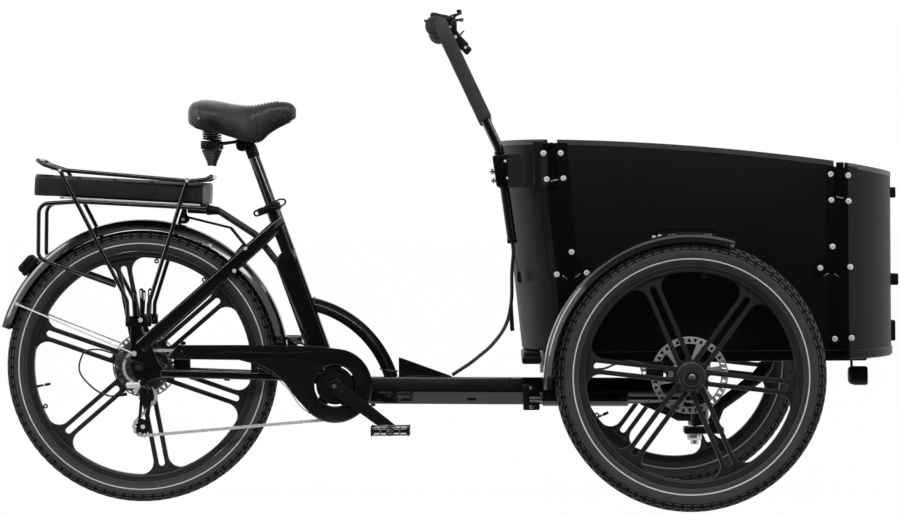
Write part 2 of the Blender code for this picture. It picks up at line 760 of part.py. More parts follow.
def rear_triangle():
    right = seat_stay()
    left = mirrored(right)
    name_part(join(right, stay_bridge(), left), "seat_stays", PAINT)

    outline = [(0.060, 0.310), (0.026, 0.304), (0.016, 0.291), (0.002, 0.291), (-0.016, 0.315),
               (-0.021, 0.345), (-0.021, TONGUE_TOP), (0.006, TONGUE_TOP), (0.006, 0.424), (0.018, 0.400),
               (0.030, 0.384), (0.046, 0.345), (0.060, 0.327)]
    half = DROPOUT_THICKNESS / 2
    dropout = plate(outline, -DROPOUT_SIDE - half, -DROPOUT_SIDE + half)
    stay = cut(join(chainstay(), dropout), seat_stay(GAP))
    axle_hole = across(0, REAR_AXLE_HEIGHT, -0.09, -0.06, AXLE_RADIUS + GAP, 12)
    stay = cut(stay, axle_hole, bottom_bracket(GAP), seat_tube_solid(GAP))
    other = mirrored(stay)
    name_part(stay, "chainstay_right", PAINT)
    caliper = box((0.040, 0.022, 0.046), spot(0.0905, 0.0560, 0.3400), 0.0, 0.003)
    slot = across(0, REAR_AXLE_HEIGHT, DISC_OFFSET - 0.0021, DISC_OFFSET + 0.0021,
                  REAR_DISC_RADIUS + 0.0015, 24)
    name_part(join(other, cut(caliper, slot)), "chainstay_left", PAINT)

    reach = DROPOUT_SIDE + half
    axle = across(0, REAR_AXLE_HEIGHT, -reach - 0.0140, reach + 0.0140, AXLE_RADIUS, 12)
    nuts = [across(0, REAR_AXLE_HEIGHT, hand * (reach + GAP), hand * (reach + 0.0095), 0.0125,
                   6) for hand in (-1, 1)]
    name_part(join(axle, *nuts), "rear_axle", STEEL)


def seat_clamp():
    low = SEAT_TUBE_LENGTH - 0.020
    high = SEAT_TUBE_LENGTH - 0.002
    collar = bar(along_seat_tube(low), along_seat_tube(high), SEAT_TUBE_RADIUS + 0.0035, 14)
    middle = (low + high) / 2
    ears = box((0.016, 0.016, high - low), along_seat_tube(middle, SEAT_TUBE_RADIUS + 0.008),
               -SEAT_TUBE_ANGLE)
    bolt_start = along_seat_tube(middle, SEAT_TUBE_RADIUS + 0.010, -0.017)
    bolt_end = along_seat_tube(middle, SEAT_TUBE_RADIUS + 0.010, 0.014)
    collar = join(collar, ears, bar(bolt_start, bolt_end, 0.0035, 10))
    bore = bar(along_seat_tube(low - 0.01), along_seat_tube(high + 0.01), SEAT_TUBE_RADIUS + GAP, 14)
    name_part(cut(collar, bore), "seat_collar", SATIN)

    axis = pivot("clamp_lever_axis", along_seat_tube(middle, SEAT_TUBE_RADIUS + 0.010, -0.0255))
    cam = bar(along_seat_tube(low, SEAT_TUBE_RADIUS + 0.010, -0.0255),
              along_seat_tube(high, SEAT_TUBE_RADIUS + 0.010, -0.0255), 0.0082, 14)
    blade = beam([along_seat_tube(middle, SEAT_TUBE_RADIUS + 0.010, -0.0290),
                  along_seat_tube(middle + 0.003, -0.004, -0.0330),
                  along_seat_tube(middle + 0.006, -0.034, -0.0310)], 0.0035, 0.012)
    name_part(join(cam, blade), "clamp_lever", SATIN, axis)


# Saddle


def superellipse_ring(ahead, half_width, bottom, top, count=10):
    """A cross-section of the saddle: full at the sides, drawn in below."""
    middle = (bottom + top) / 2
    ring = []
    for index in range(count):
        angle = 2 * pi * index / count
        across_part = abs(cos(angle)) ** 0.75 * (1 if cos(angle) >= 0 else -1)
        upward = abs(sin(angle)) ** 0.85 * (1 if sin(angle) >= 0 else -1)
        drawn_in = 1.0 if upward > 0 else 1.0 + 0.16 * upward
        ring.append(spot(ahead, half_width * across_part * drawn_in, middle + (top - bottom) / 2 * upward))
    return ring


def saddle_parts():
    seat_top = along_seat_tube(SADDLE_CLAMP_DISTANCE)
    slide = pivot("seatpost_slide", along_seat_tube(SEAT_TUBE_LENGTH))
    post = bar(along_seat_tube(SEAT_TUBE_LENGTH - SEATPOST_INSERT), seat_top, SEATPOST_RADIUS, 14)
    name_part(post, "seatpost", PAINT, slide)

    # Rails: from each spring's cup, in to the post clamp and on up to the nose bolt.
    shapes = []
    for hand in (-1, 1):
        cup = SPRING_AHEAD
        shapes.append(bar(spot(cup, hand * SPRING_SIDE, SPRING_FOOT - 0.021),
                          spot(cup, hand * SPRING_SIDE, SPRING_FOOT), 0.0235, 12))
        shapes.append(cone(spot(cup + 0.002, hand * SPRING_SIDE, SPRING_FOOT - 0.020),
                           spot(cup + 0.004, hand * SPRING_SIDE, SPRING_FOOT - 0.061), 0.0175, 0.0055, 10))
        route = bend([spot(cup, hand * SPRING_SIDE, 0.8700), spot(0.212, hand * RAIL_GAUGE, 0.8745),
                      spot(0.285, hand * RAIL_GAUGE, 0.8835), spot(0.326, hand * 0.0075, 0.9130),
                      spot(NOSE_AHEAD, hand * 0.0060, NOSE_HEIGHT)], 0.02, 1)
        shapes.append(pipe(route, 0.0035, 1))
    nose = across(NOSE_AHEAD, NOSE_HEIGHT, -NOSE_HALF, NOSE_HALF, 0.0045, 12)
    knob = across(0.2465, 0.8665, -0.0270, 0.0270, 0.0125, 12)
    clamp = box((0.034, 0.050, 0.016), spot(0.250, 0, 0.8765), -7.0, 0.003)
    socket = bar(along_seat_tube(SADDLE_CLAMP_DISTANCE - 0.030),
                 along_seat_tube(SADDLE_CLAMP_DISTANCE + 0.005),
                 SEATPOST_RADIUS + 0.0035, 14)
    body = join(clamp, knob, socket, nose, *shapes)
    body = cut(body, bar(along_seat_tube(SADDLE_CLAMP_DISTANCE - 0.05),
                         along_seat_tube(SADDLE_CLAMP_DISTANCE + GAP),
                         SEATPOST_RADIUS + GAP, 14))
    name_part(body, "saddle_frame", SATIN, slide)

    # Cushion: sections along its length give half width, underside and top.
    sections = ((0.000, 0.042, 0.926, 0.962), (0.012, 0.078, 0.917, 0.973), (0.038, 0.099, 0.911, 0.978),
                (0.075, 0.1025, 0.903, 0.974), (0.110, 0.082, 0.893, 0.967), (0.148, 0.053, 0.881, 0.964),
                (0.180, 0.038, 0.886, 0.968), (0.210, 0.031, 0.912, 0.974), (0.240, 0.027, 0.925, 0.972),
                (0.256, 0.020, 0.931, 0.962), (0.262, 0.010, 0.937, 0.952))
    width_share = SADDLE_WIDTH / 0.205
    length_share = SADDLE_LENGTH / 0.262
    lift = SADDLE_TOP - 0.978
    rings = [superellipse_ring(SADDLE_REAR_AHEAD + place * length_share, half * width_share, low + lift,
                               high + lift)
             for place, half, low, high in sections]
    cushion = loft(rings)
    smooth = cushion.modifiers.new("smooth", "SUBSURF")
    smooth.levels = 1
    smooth.render_levels = 1
    cushion = bake(cushion)
    tunnel = box((0.250, 0.060, 0.060), spot(0.205, 0, 0.9030))
    nose_slot = box((0.070, 2 * (NOSE_HALF + GAP), 0.060), spot(0.3235, 0, 0.9070))
    spring_seat = box((0.070, 0.170, 0.060), spot(SPRING_AHEAD, 0, SPRING_TOP - 0.030))
    cushion = cut(cushion, tunnel, nose_slot, spring_seat)
    hinge = pivot("saddle_nose_axis", spot(NOSE_AHEAD, 0, NOSE_HEIGHT), slide)
    name_part(cushion, "saddle", VINYL, hinge, 60.0)

    # Springs: one unbroken wound wire each, with a flat end curl at the top and at the foot.
    low = SPRING_FOOT + GAP + SPRING_WIRE
    high = SPRING_TOP - GAP - SPRING_WIRE
    points_per_curl = 8
    count = SPRING_CURLS * points_per_curl
    route = []
    for index in range(count + 1):
        share = index / count
        turn = 2 * pi * share * SPRING_CURLS
        rise = low + (high - low) * share
        route.append(Vector((SPRING_RADIUS * cos(turn), SPRING_RADIUS * sin(turn), rise)))
    least = min((a - b).length for i,
                a in enumerate(route) for b in route[i + points_per_curl - 2:]) - 2 * SPRING_WIRE
    print("saddle spring: least gap between curls %.2f mm" % (least * 1000))
    centre = spot(SPRING_AHEAD, -SPRING_SIDE, 0)
    spring = pipe([centre + point for point in route], SPRING_WIRE, 1)
    other = mirrored(spring)
    name_part(spring, "saddle_spring_right", STEEL, slide)
    name_part(other, "saddle_spring_left", STEEL, slide)


# Drive


def tapered_arm(start_radius, end_radius, angle, side_from, side_to):
    """A flat crank arm about the bottom bracket, rounded at both ends."""
    outline = []
    for index in range(9):
        turn = radians(angle + 90 + index * 180 / 8)
        outline.append((BB_AHEAD + start_radius * cos(turn), BB_HEIGHT + start_radius * sin(turn)))
    eye_ahead = BB_AHEAD + CRANK_LENGTH * cos(radians(angle))
    eye_height = BB_HEIGHT + CRANK_LENGTH * sin(radians(angle))
    for index in range(9):
        turn = radians(angle - 90 + index * 180 / 8)
        outline.append((eye_ahead + end_radius * cos(turn), eye_height + end_radius * sin(turn)))
    return plate(outline, side_from, side_to)


def pedal(ahead, height, side_start):
    """A pedal to the right of side_start, with openings either side of its spindle."""
    middle = side_start - PEDAL_WIDTH / 2
    body = box((PEDAL_LENGTH, PEDAL_WIDTH, PEDAL_HEIGHT), spot(ahead, middle, height), 0.0, 0.004)
    openings = [box((0.022, PEDAL_WIDTH - 0.024, 0.05),
                    spot(ahead + hand * 0.0265, middle, height)) for hand in (-1, 1)]
    bore = across(ahead, height, side_start + 0.01, side_start - PEDAL_WIDTH + 0.006, SPINDLE_RADIUS + GAP,
                  12)
    return cut(body, *openings, bore)


def cranks():
    pitch_radius = CHAINRING_TEETH * CHAIN_PITCH / (2 * pi)
    outer = pitch_radius - TOOTH_GAP
    half = 0.0016
    centre = spot(BB_AHEAD, CHAIN_LINE, BB_HEIGHT)
    band = turned([(outer - 0.016, -half), (outer, -half), (outer, half), (outer - 0.016, half)], centre, 30)
    axle = across(BB_AHEAD, BB_HEIGHT, CRANK_FACE, -CRANK_FACE + 0.0120, CRANK_AXLE_RADIUS, 12)
    boss = across(BB_AHEAD, BB_HEIGHT, CRANK_FACE - 0.002, -0.0365, 0.0165, 12)
    spider = []
    for arm in range(5):
        angle = arm * 72 + 15
        outward = Vector((cos(radians(angle)), 0.0, sin(radians(angle))))
        spider.append(box((0.054, 0.003, 0.011), centre + outward * 0.039, -angle))
    arm = tapered_arm(0.0175, 0.0130, CRANK_ANGLE, CRANK_FACE, CRANK_FACE - CRANK_THICKNESS)
    eye_ahead = CRANK_LENGTH * cos(radians(CRANK_ANGLE))
    eye_height = CRANK_LENGTH * sin(radians(CRANK_ANGLE))
    pedal_start = CRANK_FACE - CRANK_THICKNESS - 0.003
    spindle_end = pedal_start - PEDAL_WIDTH + 0.0065
    spindle = across(BB_AHEAD + eye_ahead, BB_HEIGHT + eye_height, CRANK_FACE - 0.002, spindle_end,
                     SPINDLE_RADIUS, 12)
    name_part(join(axle, boss, *spider, band, arm, spindle), "crank_right", SATIN, crank_axis)

    arm = tapered_arm(0.0175, 0.0130, CRANK_ANGLE + 180, -CRANK_FACE, -CRANK_FACE + CRANK_THICKNESS)
    spindle = across(BB_AHEAD - eye_ahead, BB_HEIGHT - eye_height, -CRANK_FACE + 0.002, -spindle_end,
                     SPINDLE_RADIUS, 12)
    bore = across(BB_AHEAD, BB_HEIGHT, -CRANK_FACE - 0.01, -CRANK_FACE + 0.0123, CRANK_AXLE_RADIUS + GAP, 12)
    name_part(cut(join(arm, spindle), bore), "crank_left", SATIN, crank_axis)

    right = pedal(BB_AHEAD + eye_ahead, BB_HEIGHT + eye_height, pedal_start)
    right_axis = pivot("pedal_right_axis", spot(BB_AHEAD + eye_ahead, pedal_start, BB_HEIGHT + eye_height),
                       crank_axis)
    name_part(right, "pedal_right", PLASTIC, right_axis)
    left = mirrored(pedal(BB_AHEAD - eye_ahead, BB_HEIGHT - eye_height, pedal_start), keep=False)
    left_axis = pivot("pedal_left_axis", spot(BB_AHEAD - eye_ahead, -pedal_start, BB_HEIGHT - eye_height),
                      crank_axis)
    name_part(left, "pedal_left", PLASTIC, left_axis)


def sprocket_radius(teeth):
    return teeth * CHAIN_PITCH / (2 * pi)


def cassette_and_pulleys():
    """The chain's own sprocket between a stepped block of larger ones and a block of smaller ones."""
    thin = 0.0010
    own = sprocket_radius(SPROCKET_TEETH) - TOOTH_GAP
    large, middle, lesser = CASSETTE_RADII
    bore = AXLE_RADIUS + GAP
    profile = [(bore, -0.0160), (0.0270, -0.0160), (CASSETTE_SMALL_RADIUS, -0.0037 - thin),
               (0.0240, -0.0037),
               (0.0240, -thin), (own, -thin), (own, thin), (0.0240, thin), (0.0240, 0.0037),
               (lesser, 0.0037),
               (lesser, 0.0070), (middle, 0.0070), (middle, 0.0110), (large, 0.0110), (large, 0.0152),
               (bore, 0.0152)]
    block = turned([(radius, -offset) for radius, offset in profile], spot(0, CHAIN_LINE, REAR_AXLE_HEIGHT),
                   16)
    name_part(block, "cassette", SATIN, cassette_axis)
    pulley = sprocket_radius(PULLEY_TEETH) - TOOTH_GAP
    for name, ahead, height, axis in (("guide_pulley", GUIDE_PULLEY_AHEAD, GUIDE_PULLEY_HEIGHT, guide_axis),
                                      ("tension_pulley", TENSION_PULLEY_AHEAD, TENSION_PULLEY_HEIGHT,
                                       tension_axis)):
        profile = [(0.0033, -0.0040), (0.0065, -0.0040), (0.0065, -0.0012), (pulley, -0.0012),
                   (pulley, 0.0012), (0.0065, 0.0012), (0.0065, 0.0040), (0.0033, 0.0040)]
        name_part(turned(profile, spot(ahead, CHAIN_LINE, height), 10), name, PLASTIC, axis)


def belt(circles, offset):
    """Outline of a belt round circles of (ahead, height, radius, turn), set off to its left by offset."""
    count = len(circles)
    signed = [turn * radius for _, _, radius, turn in circles]
    slopes = []
    for index in range(count):
        following = (index + 1) % count
        ahead = circles[following][0] - circles[index][0]
        height = circles[following][1] - circles[index][1]
        lean = (signed[index] - signed[following]) / sqrt(ahead * ahead + height * height)
        slopes.append(atan2(height, ahead) + asin(lean))
    outline = []
    for index, (ahead, height, radius, turn) in enumerate(circles):
        start = slopes[index - 1]
        swing = (slopes[index] - start) % (2 * pi)
        if turn < 0:
            swing -= 2 * pi
        reach = radius - turn * offset
        steps = max(3, round(abs(swing) * 20 / pi))
        for step in range(steps + 1):
            angle = start + swing * step / steps - turn * pi / 2
            outline.append((ahead + reach * cos(angle), height + reach * sin(angle)))
    return outline


def chain():
    circles = ((BB_AHEAD, BB_HEIGHT, sprocket_radius(CHAINRING_TEETH), -1),
               (TENSION_PULLEY_AHEAD, TENSION_PULLEY_HEIGHT, sprocket_radius(PULLEY_TEETH), -1),
               (GUIDE_PULLEY_AHEAD, GUIDE_PULLEY_HEIGHT, sprocket_radius(PULLEY_TEETH), 1),
               (0.0, REAR_AXLE_HEIGHT, sprocket_radius(SPROCKET_TEETH), -1))
    outer = belt(circles, CHAIN_HEIGHT / 2)
    inner = belt(circles, -CHAIN_HEIGHT / 2)
    name_part(plate(outer, CHAIN_LINE - CHAIN_WIDTH / 2, CHAIN_LINE + CHAIN_WIDTH / 2, inner), "chain",
              STEEL)


def chain_guard():
    start = 75.3
    ring = circle(BB_AHEAD, BB_HEIGHT, GUARD_RADIUS, start, -139.1, 18)
    lower = [(0.374, 0.278), (0.343, 0.309), (0.304, 0.330), (0.263, 0.344), (0.217, 0.350), (0.091, 0.355)]
    outline = ring + lower + [(0.092, 0.386), (0.431, 0.388)]
    opening = circle(BB_AHEAD, BB_HEIGHT, GUARD_OPENING, 0, 342, 19)
    face = plate(outline, GUARD_OUTER_SIDE, GUARD_OUTER_SIDE + GUARD_WALL, opening)
    wall = plate(outline, GUARD_OUTER_SIDE + GUARD_WALL / 2, GUARD_INNER_SIDE, inset(outline, GUARD_WALL))
    run_gate = box((0.085, 0.040, 0.032), spot(0.4195, GUARD_OUTER_SIDE + GUARD_WALL + 0.0204, 0.2070))
    rear_gate = box((0.020, 0.040, 0.028), spot(0.090, GUARD_OUTER_SIDE + GUARD_WALL + 0.0204, 0.3705))
    foot = box((0.030, 0.015, 0.018), spot(0.2990, -0.0560, 0.3242))
    guard = join(cut(wall, run_gate, rear_gate), face, foot)
    name_part(cut(guard, chainstay(GAP)), "chain_guard", PLASTIC)


def derailleur():
    knuckle = across(0.0090, 0.2985, -DROPOUT_SIDE - DROPOUT_THICKNESS / 2 - GAP, -0.0930, 0.0095, 12)
    link = beam([spot(0.0100, -0.0880, 0.2985), spot(0.0240, -0.0830, 0.2760),
                 spot(0.0160, -0.0780, 0.2620)],
                0.009, 0.016)
    lower = across(GUIDE_PULLEY_AHEAD, GUIDE_PULLEY_HEIGHT, -0.0870, -0.0590, 0.0105, 12)
    outline = [(0.026, 0.258), (0.024, 0.270), (0.014, 0.275), (0.005, 0.270), (-0.002, 0.255),
               (-0.007, 0.200),
               (-0.006, 0.180), (0.003, 0.175), (0.013, 0.177), (0.016, 0.190)]
    outer = plate(outline, -0.0610, -0.0590)
    inner = plate(outline, -0.0455, -0.0437)
    pins = [across(ahead, height, -0.0600, -0.0445, 0.0030, 10)
            for ahead, height in ((GUIDE_PULLEY_AHEAD, GUIDE_PULLEY_HEIGHT),
                                  (TENSION_PULLEY_AHEAD, TENSION_PULLEY_HEIGHT))]
    name_part(join(outer, *pins, inner, lower, link, knuckle), "derailleur", SATIN)


# Rack, battery and rear fender


def battery_bottom(ahead):
    return BATTERY_REAR_HEIGHT - (ahead - BATTERY_REAR_AHEAD) * tan(radians(RACK_TILT))


def rack():
    side = RACK_SIDE
    half = [(-0.2440, 0.0600, 0.8360), (-0.2280, side, 0.8250), (-0.1890, side, 0.8120),
            (0.1250, side, 0.7820),
            (0.1640, side, 0.7860), (0.1760, 0.0600, 0.7930)]
    right = [spot(ahead, -reach, height) for ahead, reach, height in half]
    left = [spot(ahead, reach, height) for ahead, reach, height in reversed(half)]
    shapes = [pipe(right + left, RACK_TUBE, 1, closed=True)]
    for ahead in (-0.150, -0.060, 0.030, 0.110):
        height = 0.8120 - (ahead + 0.1890) * (0.030 / 0.314) + 0.0015
        shapes.append(across(ahead, height, -side - 0.002, side + 0.002, 0.0035, 6))
    inner_face = DROPOUT_SIDE + DROPOUT_THICKNESS / 2 + GAP
    leg_side = side + 1.6 * RACK_TUBE
    rear = pipe([spot(-0.1880, -leg_side, 0.8110), spot(-0.0160, -leg_side, 0.4690)], RACK_TUBE, 1)
    front = pipe([spot(0.1190, -leg_side, 0.7830), spot(0.0260, -leg_side, 0.4690)], RACK_TUBE, 1)
    foot = plate([(-0.024, 0.432), (0.032, 0.434), (0.032, 0.478), (-0.024, 0.478)], -inner_face - 0.003,
                 -inner_face)
    under = DOCK_THICKNESS + 2 * GAP + RACK_TUBE
    loop_side = leg_side - 0.0013
    route = [spot(0.1650, -loop_side, battery_bottom(0.1650) - under),
             spot(-0.1700, -loop_side, battery_bottom(-0.1700) - under), spot(-0.2500, -loop_side, 0.6900),
             spot(-0.2300, -loop_side, 0.5980), spot(-0.0560, -loop_side, 0.5370)]
    leg = join(rear, front, foot, pipe(bend(route, 0.030, 2), RACK_TUBE, 1))
    other = mirrored(leg)
    name_part(join(*shapes, leg, other), "rear_rack", PAINT)

    tilt = radians(RACK_TILT)
    middle = BATTERY_REAR_AHEAD + BATTERY_LENGTH / 2 * cos(tilt)
    lift = BATTERY_HEIGHT / 2 / cos(tilt)
    axis = pivot("battery_slide", spot(middle, 0, battery_bottom(middle) + lift))
    battery = box((BATTERY_LENGTH, BATTERY_WIDTH, BATTERY_HEIGHT),
                  spot(middle, 0, battery_bottom(middle) + lift),
                  RACK_TILT, 0.008)
    name_part(battery, "battery", PLASTIC, axis)

    middle = -0.0150
    drop = GAP + DOCK_THICKNESS / 2
    dock = box((0.350, 2 * (leg_side - RACK_TUBE - GAP), DOCK_THICKNESS),
               spot(middle, 0, battery_bottom(middle) - drop), RACK_TILT)
    socket = box((0.045, 0.060, 0.020), spot(0.1375, 0, battery_bottom(0.1375) - 0.0135), RACK_TILT, 0.002)
    stay_rods = []
    for hand in (-1, 1):
        route = [spot(0.1050, hand * 0.018, battery_bottom(0.1050) - 0.003),
                 spot(0.1080, hand * 0.018, 0.6960),
                 spot(0.2180, hand * 0.018, 0.6680), spot(0.2500, hand * 0.018, 0.6280),
                 spot(0.2560, hand * 0.018, 0.6180)]
        stay_rods.append(pipe(route, 0.0025, 1))
    dock = cut(join(dock, socket, *stay_rods), stay_bridge(GAP))
    name_part(dock, "battery_dock", SATIN)

    plug = spot(0.1375, 0, battery_bottom(0.1375) - 0.0135)
    out = Vector((cos(tilt), 0.0, -sin(tilt)))
    route = bend([plug + out * (0.0225 + GAP), plug + out * 0.050, spot(0.2790, 0, 0.6500),
                  spot(0.3420, 0, 0.5680)], 0.03, 4)
    cable = cut(pipe(route, 0.0085, 2), seat_tube_solid(GAP))
    name_part(cable, "battery_cable", PLASTIC)


def rear_fender():
    outer = REAR_FENDER_RADIUS + FENDER_THICKNESS
    half = REAR_FENDER_WIDTH / 2
    edge = REAR_FENDER_RADIUS - 0.0060
    profile = [(edge, -half), (REAR_FENDER_RADIUS, -half * 0.55), (REAR_FENDER_RADIUS, half * 0.55),
               (edge, half),
               (edge + FENDER_THICKNESS, half), (outer, half * 0.60), (outer, -half * 0.60),
               (edge + FENDER_THICKNESS, -half)]
    centre = spot(0, 0, REAR_AXLE_HEIGHT)
    shell = sweep(profile, centre, 8.0, 163.0, 18)
    bridge_angle = degrees(atan2(0.6180 - REAR_AXLE_HEIGHT, 0.2560))
    bracket = box((0.0300, 0.024, 0.0300), arc_point(bridge_angle, REAR_FENDER_RADIUS + 0.0165),
                  -bridge_angle)
    lower = beam([arc_point(11.0, REAR_FENDER_RADIUS + 0.001), spot(0.4000, 0, 0.3800)], 0.024, 0.004)
    shapes = [shell, cut(bracket, stay_bridge(GAP)), cut(lower, seat_tube_solid(GAP))]
    reach = DROPOUT_SIDE + DROPOUT_THICKNESS / 2 + GAP
    for hand in (-1, 1):
        eye = spot(-0.0130, hand * reach, 0.3670)
        shapes.append(bar(eye, eye + Vector((0, hand * 0.004, 0)), 0.0065, 12))
        end = arc_point(153.0, REAR_FENDER_RADIUS - 0.0020) + Vector((0, hand * (half - 0.0005), 0))
        start = eye + Vector((0, hand * 0.0026, 0))
        shapes.append(pipe([start, start + Vector((-0.0180, 0, 0.0090)), end], 0.0022, 1))
    name_part(join(*shapes), "rear_fender", PLASTIC)

    light = box((0.0300, 0.040, 0.052), arc_point(138.0, outer + GAP + 0.0150), -138.0, 0.004)
    name_part(light, "rear_light", RED)


# Carriage and box


def carriage():
    middle = RAIL_BOTTOM + RAIL_SIZE / 2
    length = RAIL_FRONT - RAIL_REAR
    shapes = []
    for hand in (-1, 1):
        shapes.append(box((length, RAIL_SIZE, RAIL_SIZE),
                          spot((RAIL_FRONT + RAIL_REAR) / 2, hand * RAIL_SIDE, middle)))
    inside = 2 * RAIL_SIDE
    for ahead in (RAIL_REAR + RAIL_SIZE / 2, LOWER_CROSS_AHEAD, RAIL_FRONT - RAIL_SIZE / 2):
        shapes.append(box((RAIL_SIZE, inside, RAIL_SIZE), spot(ahead, 0, middle)))
    reach = DROP_PLATE_SIDE + 0.004
    shapes.append(box((0.040, 2 * reach, RAIL_SIZE), spot(WHEELBASE, 0, middle)))
    frame_body = join(*shapes)
    top = RAIL_BOTTOM + 0.002
    yoke = box((0.110, 0.090, 0.013), spot(KINGPIN_AHEAD - 0.010, 0, top - 0.0065))
    boss = bar(spot(KINGPIN_AHEAD, 0, HEAD_TUBE_TOP + GAP), spot(KINGPIN_AHEAD, 0, top - 0.004),
               HEAD_TUBE_RADIUS, 14)
    arm = box((0.070, 0.040, 0.013), spot(KINGPIN_AHEAD - 0.020, -DAMPER_ARM_SIDE, top - 0.0065))
    pad = box((0.030, 0.030, top - 0.004 - DAMPER_PAD_HEIGHT),
              spot(KINGPIN_AHEAD, -DAMPER_ARM_SIDE, (top - 0.004 + DAMPER_PAD_HEIGHT) / 2))
    body = join(frame_body, yoke, boss, arm, pad)
    for hand in (-1, 1):
        outline = [(WHEELBASE - 0.025, RAIL_BOTTOM + RAIL_SIZE), (WHEELBASE - 0.025, 0.330),
                   (WHEELBASE - 0.016, 0.302), (WHEELBASE + 0.016, 0.302), (WHEELBASE + 0.025, 0.330),
                   (WHEELBASE + 0.025, RAIL_BOTTOM + RAIL_SIZE)]
        inner = hand * (DROP_PLATE_SIDE - 0.004)
        outside = hand * (DROP_PLATE_SIDE + 0.004)
        stub_end = hand * (TRACK / 2 + FRONT_HUB_LENGTH / 2 - 0.0045)
        body = join(body, plate(outline, min(inner, outside), max(inner, outside)),
                    across(WHEELBASE, FRONT_AXLE_HEIGHT, inner, stub_end, AXLE_RADIUS, 12))
    pin_bore = bar(spot(KINGPIN_AHEAD, 0, 0.30), spot(KINGPIN_AHEAD, 0, 0.36), KINGPIN_RADIUS + GAP, 12)
    name_part(cut(body, pin_bore), "carriage_frame", PAINT, steering)

    base = box((0.095, 0.080, 0.015), spot(KINGPIN_AHEAD + 0.012, 0, HEAD_TUBE_BOTTOM - 0.0125))
    boss = bar(spot(KINGPIN_AHEAD, 0, HEAD_TUBE_BOTTOM - 0.010),
               spot(KINGPIN_AHEAD, 0, HEAD_TUBE_BOTTOM - GAP),
               HEAD_TUBE_RADIUS, 14)
    shapes = [base, boss]
    for hand in (-1, 1):
        top_end = RAIL_BOTTOM - GAP
        route = [spot(KINGPIN_AHEAD + 0.030, hand * 0.028, HEAD_TUBE_BOTTOM - 0.010),
                 spot(KINGPIN_AHEAD + 0.050, hand * 0.034, 0.2250),
                 spot(LOWER_CROSS_AHEAD - 0.025, hand * 0.060, 0.2950),
                 spot(LOWER_CROSS_AHEAD, hand * 0.062, 0.3250),
                 spot(LOWER_CROSS_AHEAD, hand * 0.062, top_end)]
        shapes.append(pipe(bend(route, 0.012, 2), 0.0110, 1))
    pin_bore = bar(spot(KINGPIN_AHEAD, 0, 0.14), spot(KINGPIN_AHEAD, 0, 0.20), KINGPIN_RADIUS + GAP, 12)
    name_part(cut(join(*shapes), pin_bore), "lower_yoke", PAINT, steering)

    nut_top = HEAD_TUBE_BOTTOM - 0.020 - GAP
    pin = bar(spot(KINGPIN_AHEAD, 0, 0.1330), spot(KINGPIN_AHEAD, 0, 0.3600), KINGPIN_RADIUS, 12)
    nut = bar(spot(KINGPIN_AHEAD, 0, nut_top - 0.016), spot(KINGPIN_AHEAD, 0, nut_top), 0.0180, 6)
    head_low = RAIL_BOTTOM + 0.002 + GAP
    head = bar(spot(KINGPIN_AHEAD, 0, head_low), spot(KINGPIN_AHEAD, 0, head_low + 0.012), 0.0170, 6)
    name_part(join(pin, nut, head), "kingpin", STEEL, steering)


def plan_arc(edge, bulge, hand, half=None, thin=0.0, count=14):
    """Points of a panel's curve seen from above: hand is -1 where it bulges to the rear, 1 to the front."""
    full = BOX_HALF_WIDTH
    radius = (full * full + bulge * bulge) / (2 * bulge)
    half = half or full
    swing = asin(half / radius)
    points = []
    for index in range(count + 1):
        angle = -swing + 2 * swing * index / count
        depth = (radius - thin) * cos(angle) - (radius - bulge)
        points.append((edge + hand * depth, (radius - thin) * sin(angle)))
    return points


def box_top(ahead):
    return BOX_TOP - (ahead - BOX_TOP_START) ** 2 / (2 * BOX_TOP_RADIUS)


def curved_panel(edge, bulge, hand, lean, half):
    """A panel bent to an arc, its top following the box's rim, leaning by the given slope."""
    outer = plan_arc(edge, bulge, hand, half)
    inner = plan_arc(edge, bulge, hand, half, PANEL_THICKNESS)
    rings = []
    for (far_ahead, far_side), (near_ahead, near_side) in zip(outer, inner):
        ring = []
        for ahead, side in ((far_ahead, far_side), (near_ahead, near_side)):
            low = ahead + (BOX_TOP - BOX_BOTTOM) * lean
            ring.append((spot(low, side, BOX_BOTTOM), spot(ahead, side, box_top(ahead))))
        rings.append([ring[0][0], ring[0][1], ring[1][1], ring[1][0]])
    return loft(rings)


def upright_strip(points, low, high, lean, thickness):
    """A sheet that stands on a bent line of (ahead, side) points and is thickened to its left."""
    count = len(points)
    rows = []
    for index, (ahead, side) in enumerate(points):
        before = Vector(points[max(index - 1, 0)])
        after = Vector(points[min(index + 1, count - 1)])
        along = (after - before).normalized()
        outward = Vector((-along.y, along.x)) * thickness
        near_low = (BOX_TOP - low) * lean
        near_high = (BOX_TOP - high) * lean
        rows.append([spot(ahead + near_low, side, low), spot(ahead + near_high, side, high),
                     spot(ahead + outward.x + near_high, side + outward.y, high),
                     spot(ahead + outward.x + near_low, side + outward.y, low)])
    return loft(rows)


def bolt(ahead, side, height, outward):
    """A round bolt head standing on a sheet, pointing along outward in plan."""
    direction = Vector((outward[0], outward[1], 0.0)).normalized()
    base = spot(ahead, side, height)
    return bar(base - direction * 0.001, base + direction * BOLT_HEAD_HEIGHT, BOLT_HEAD_RADIUS, 6)


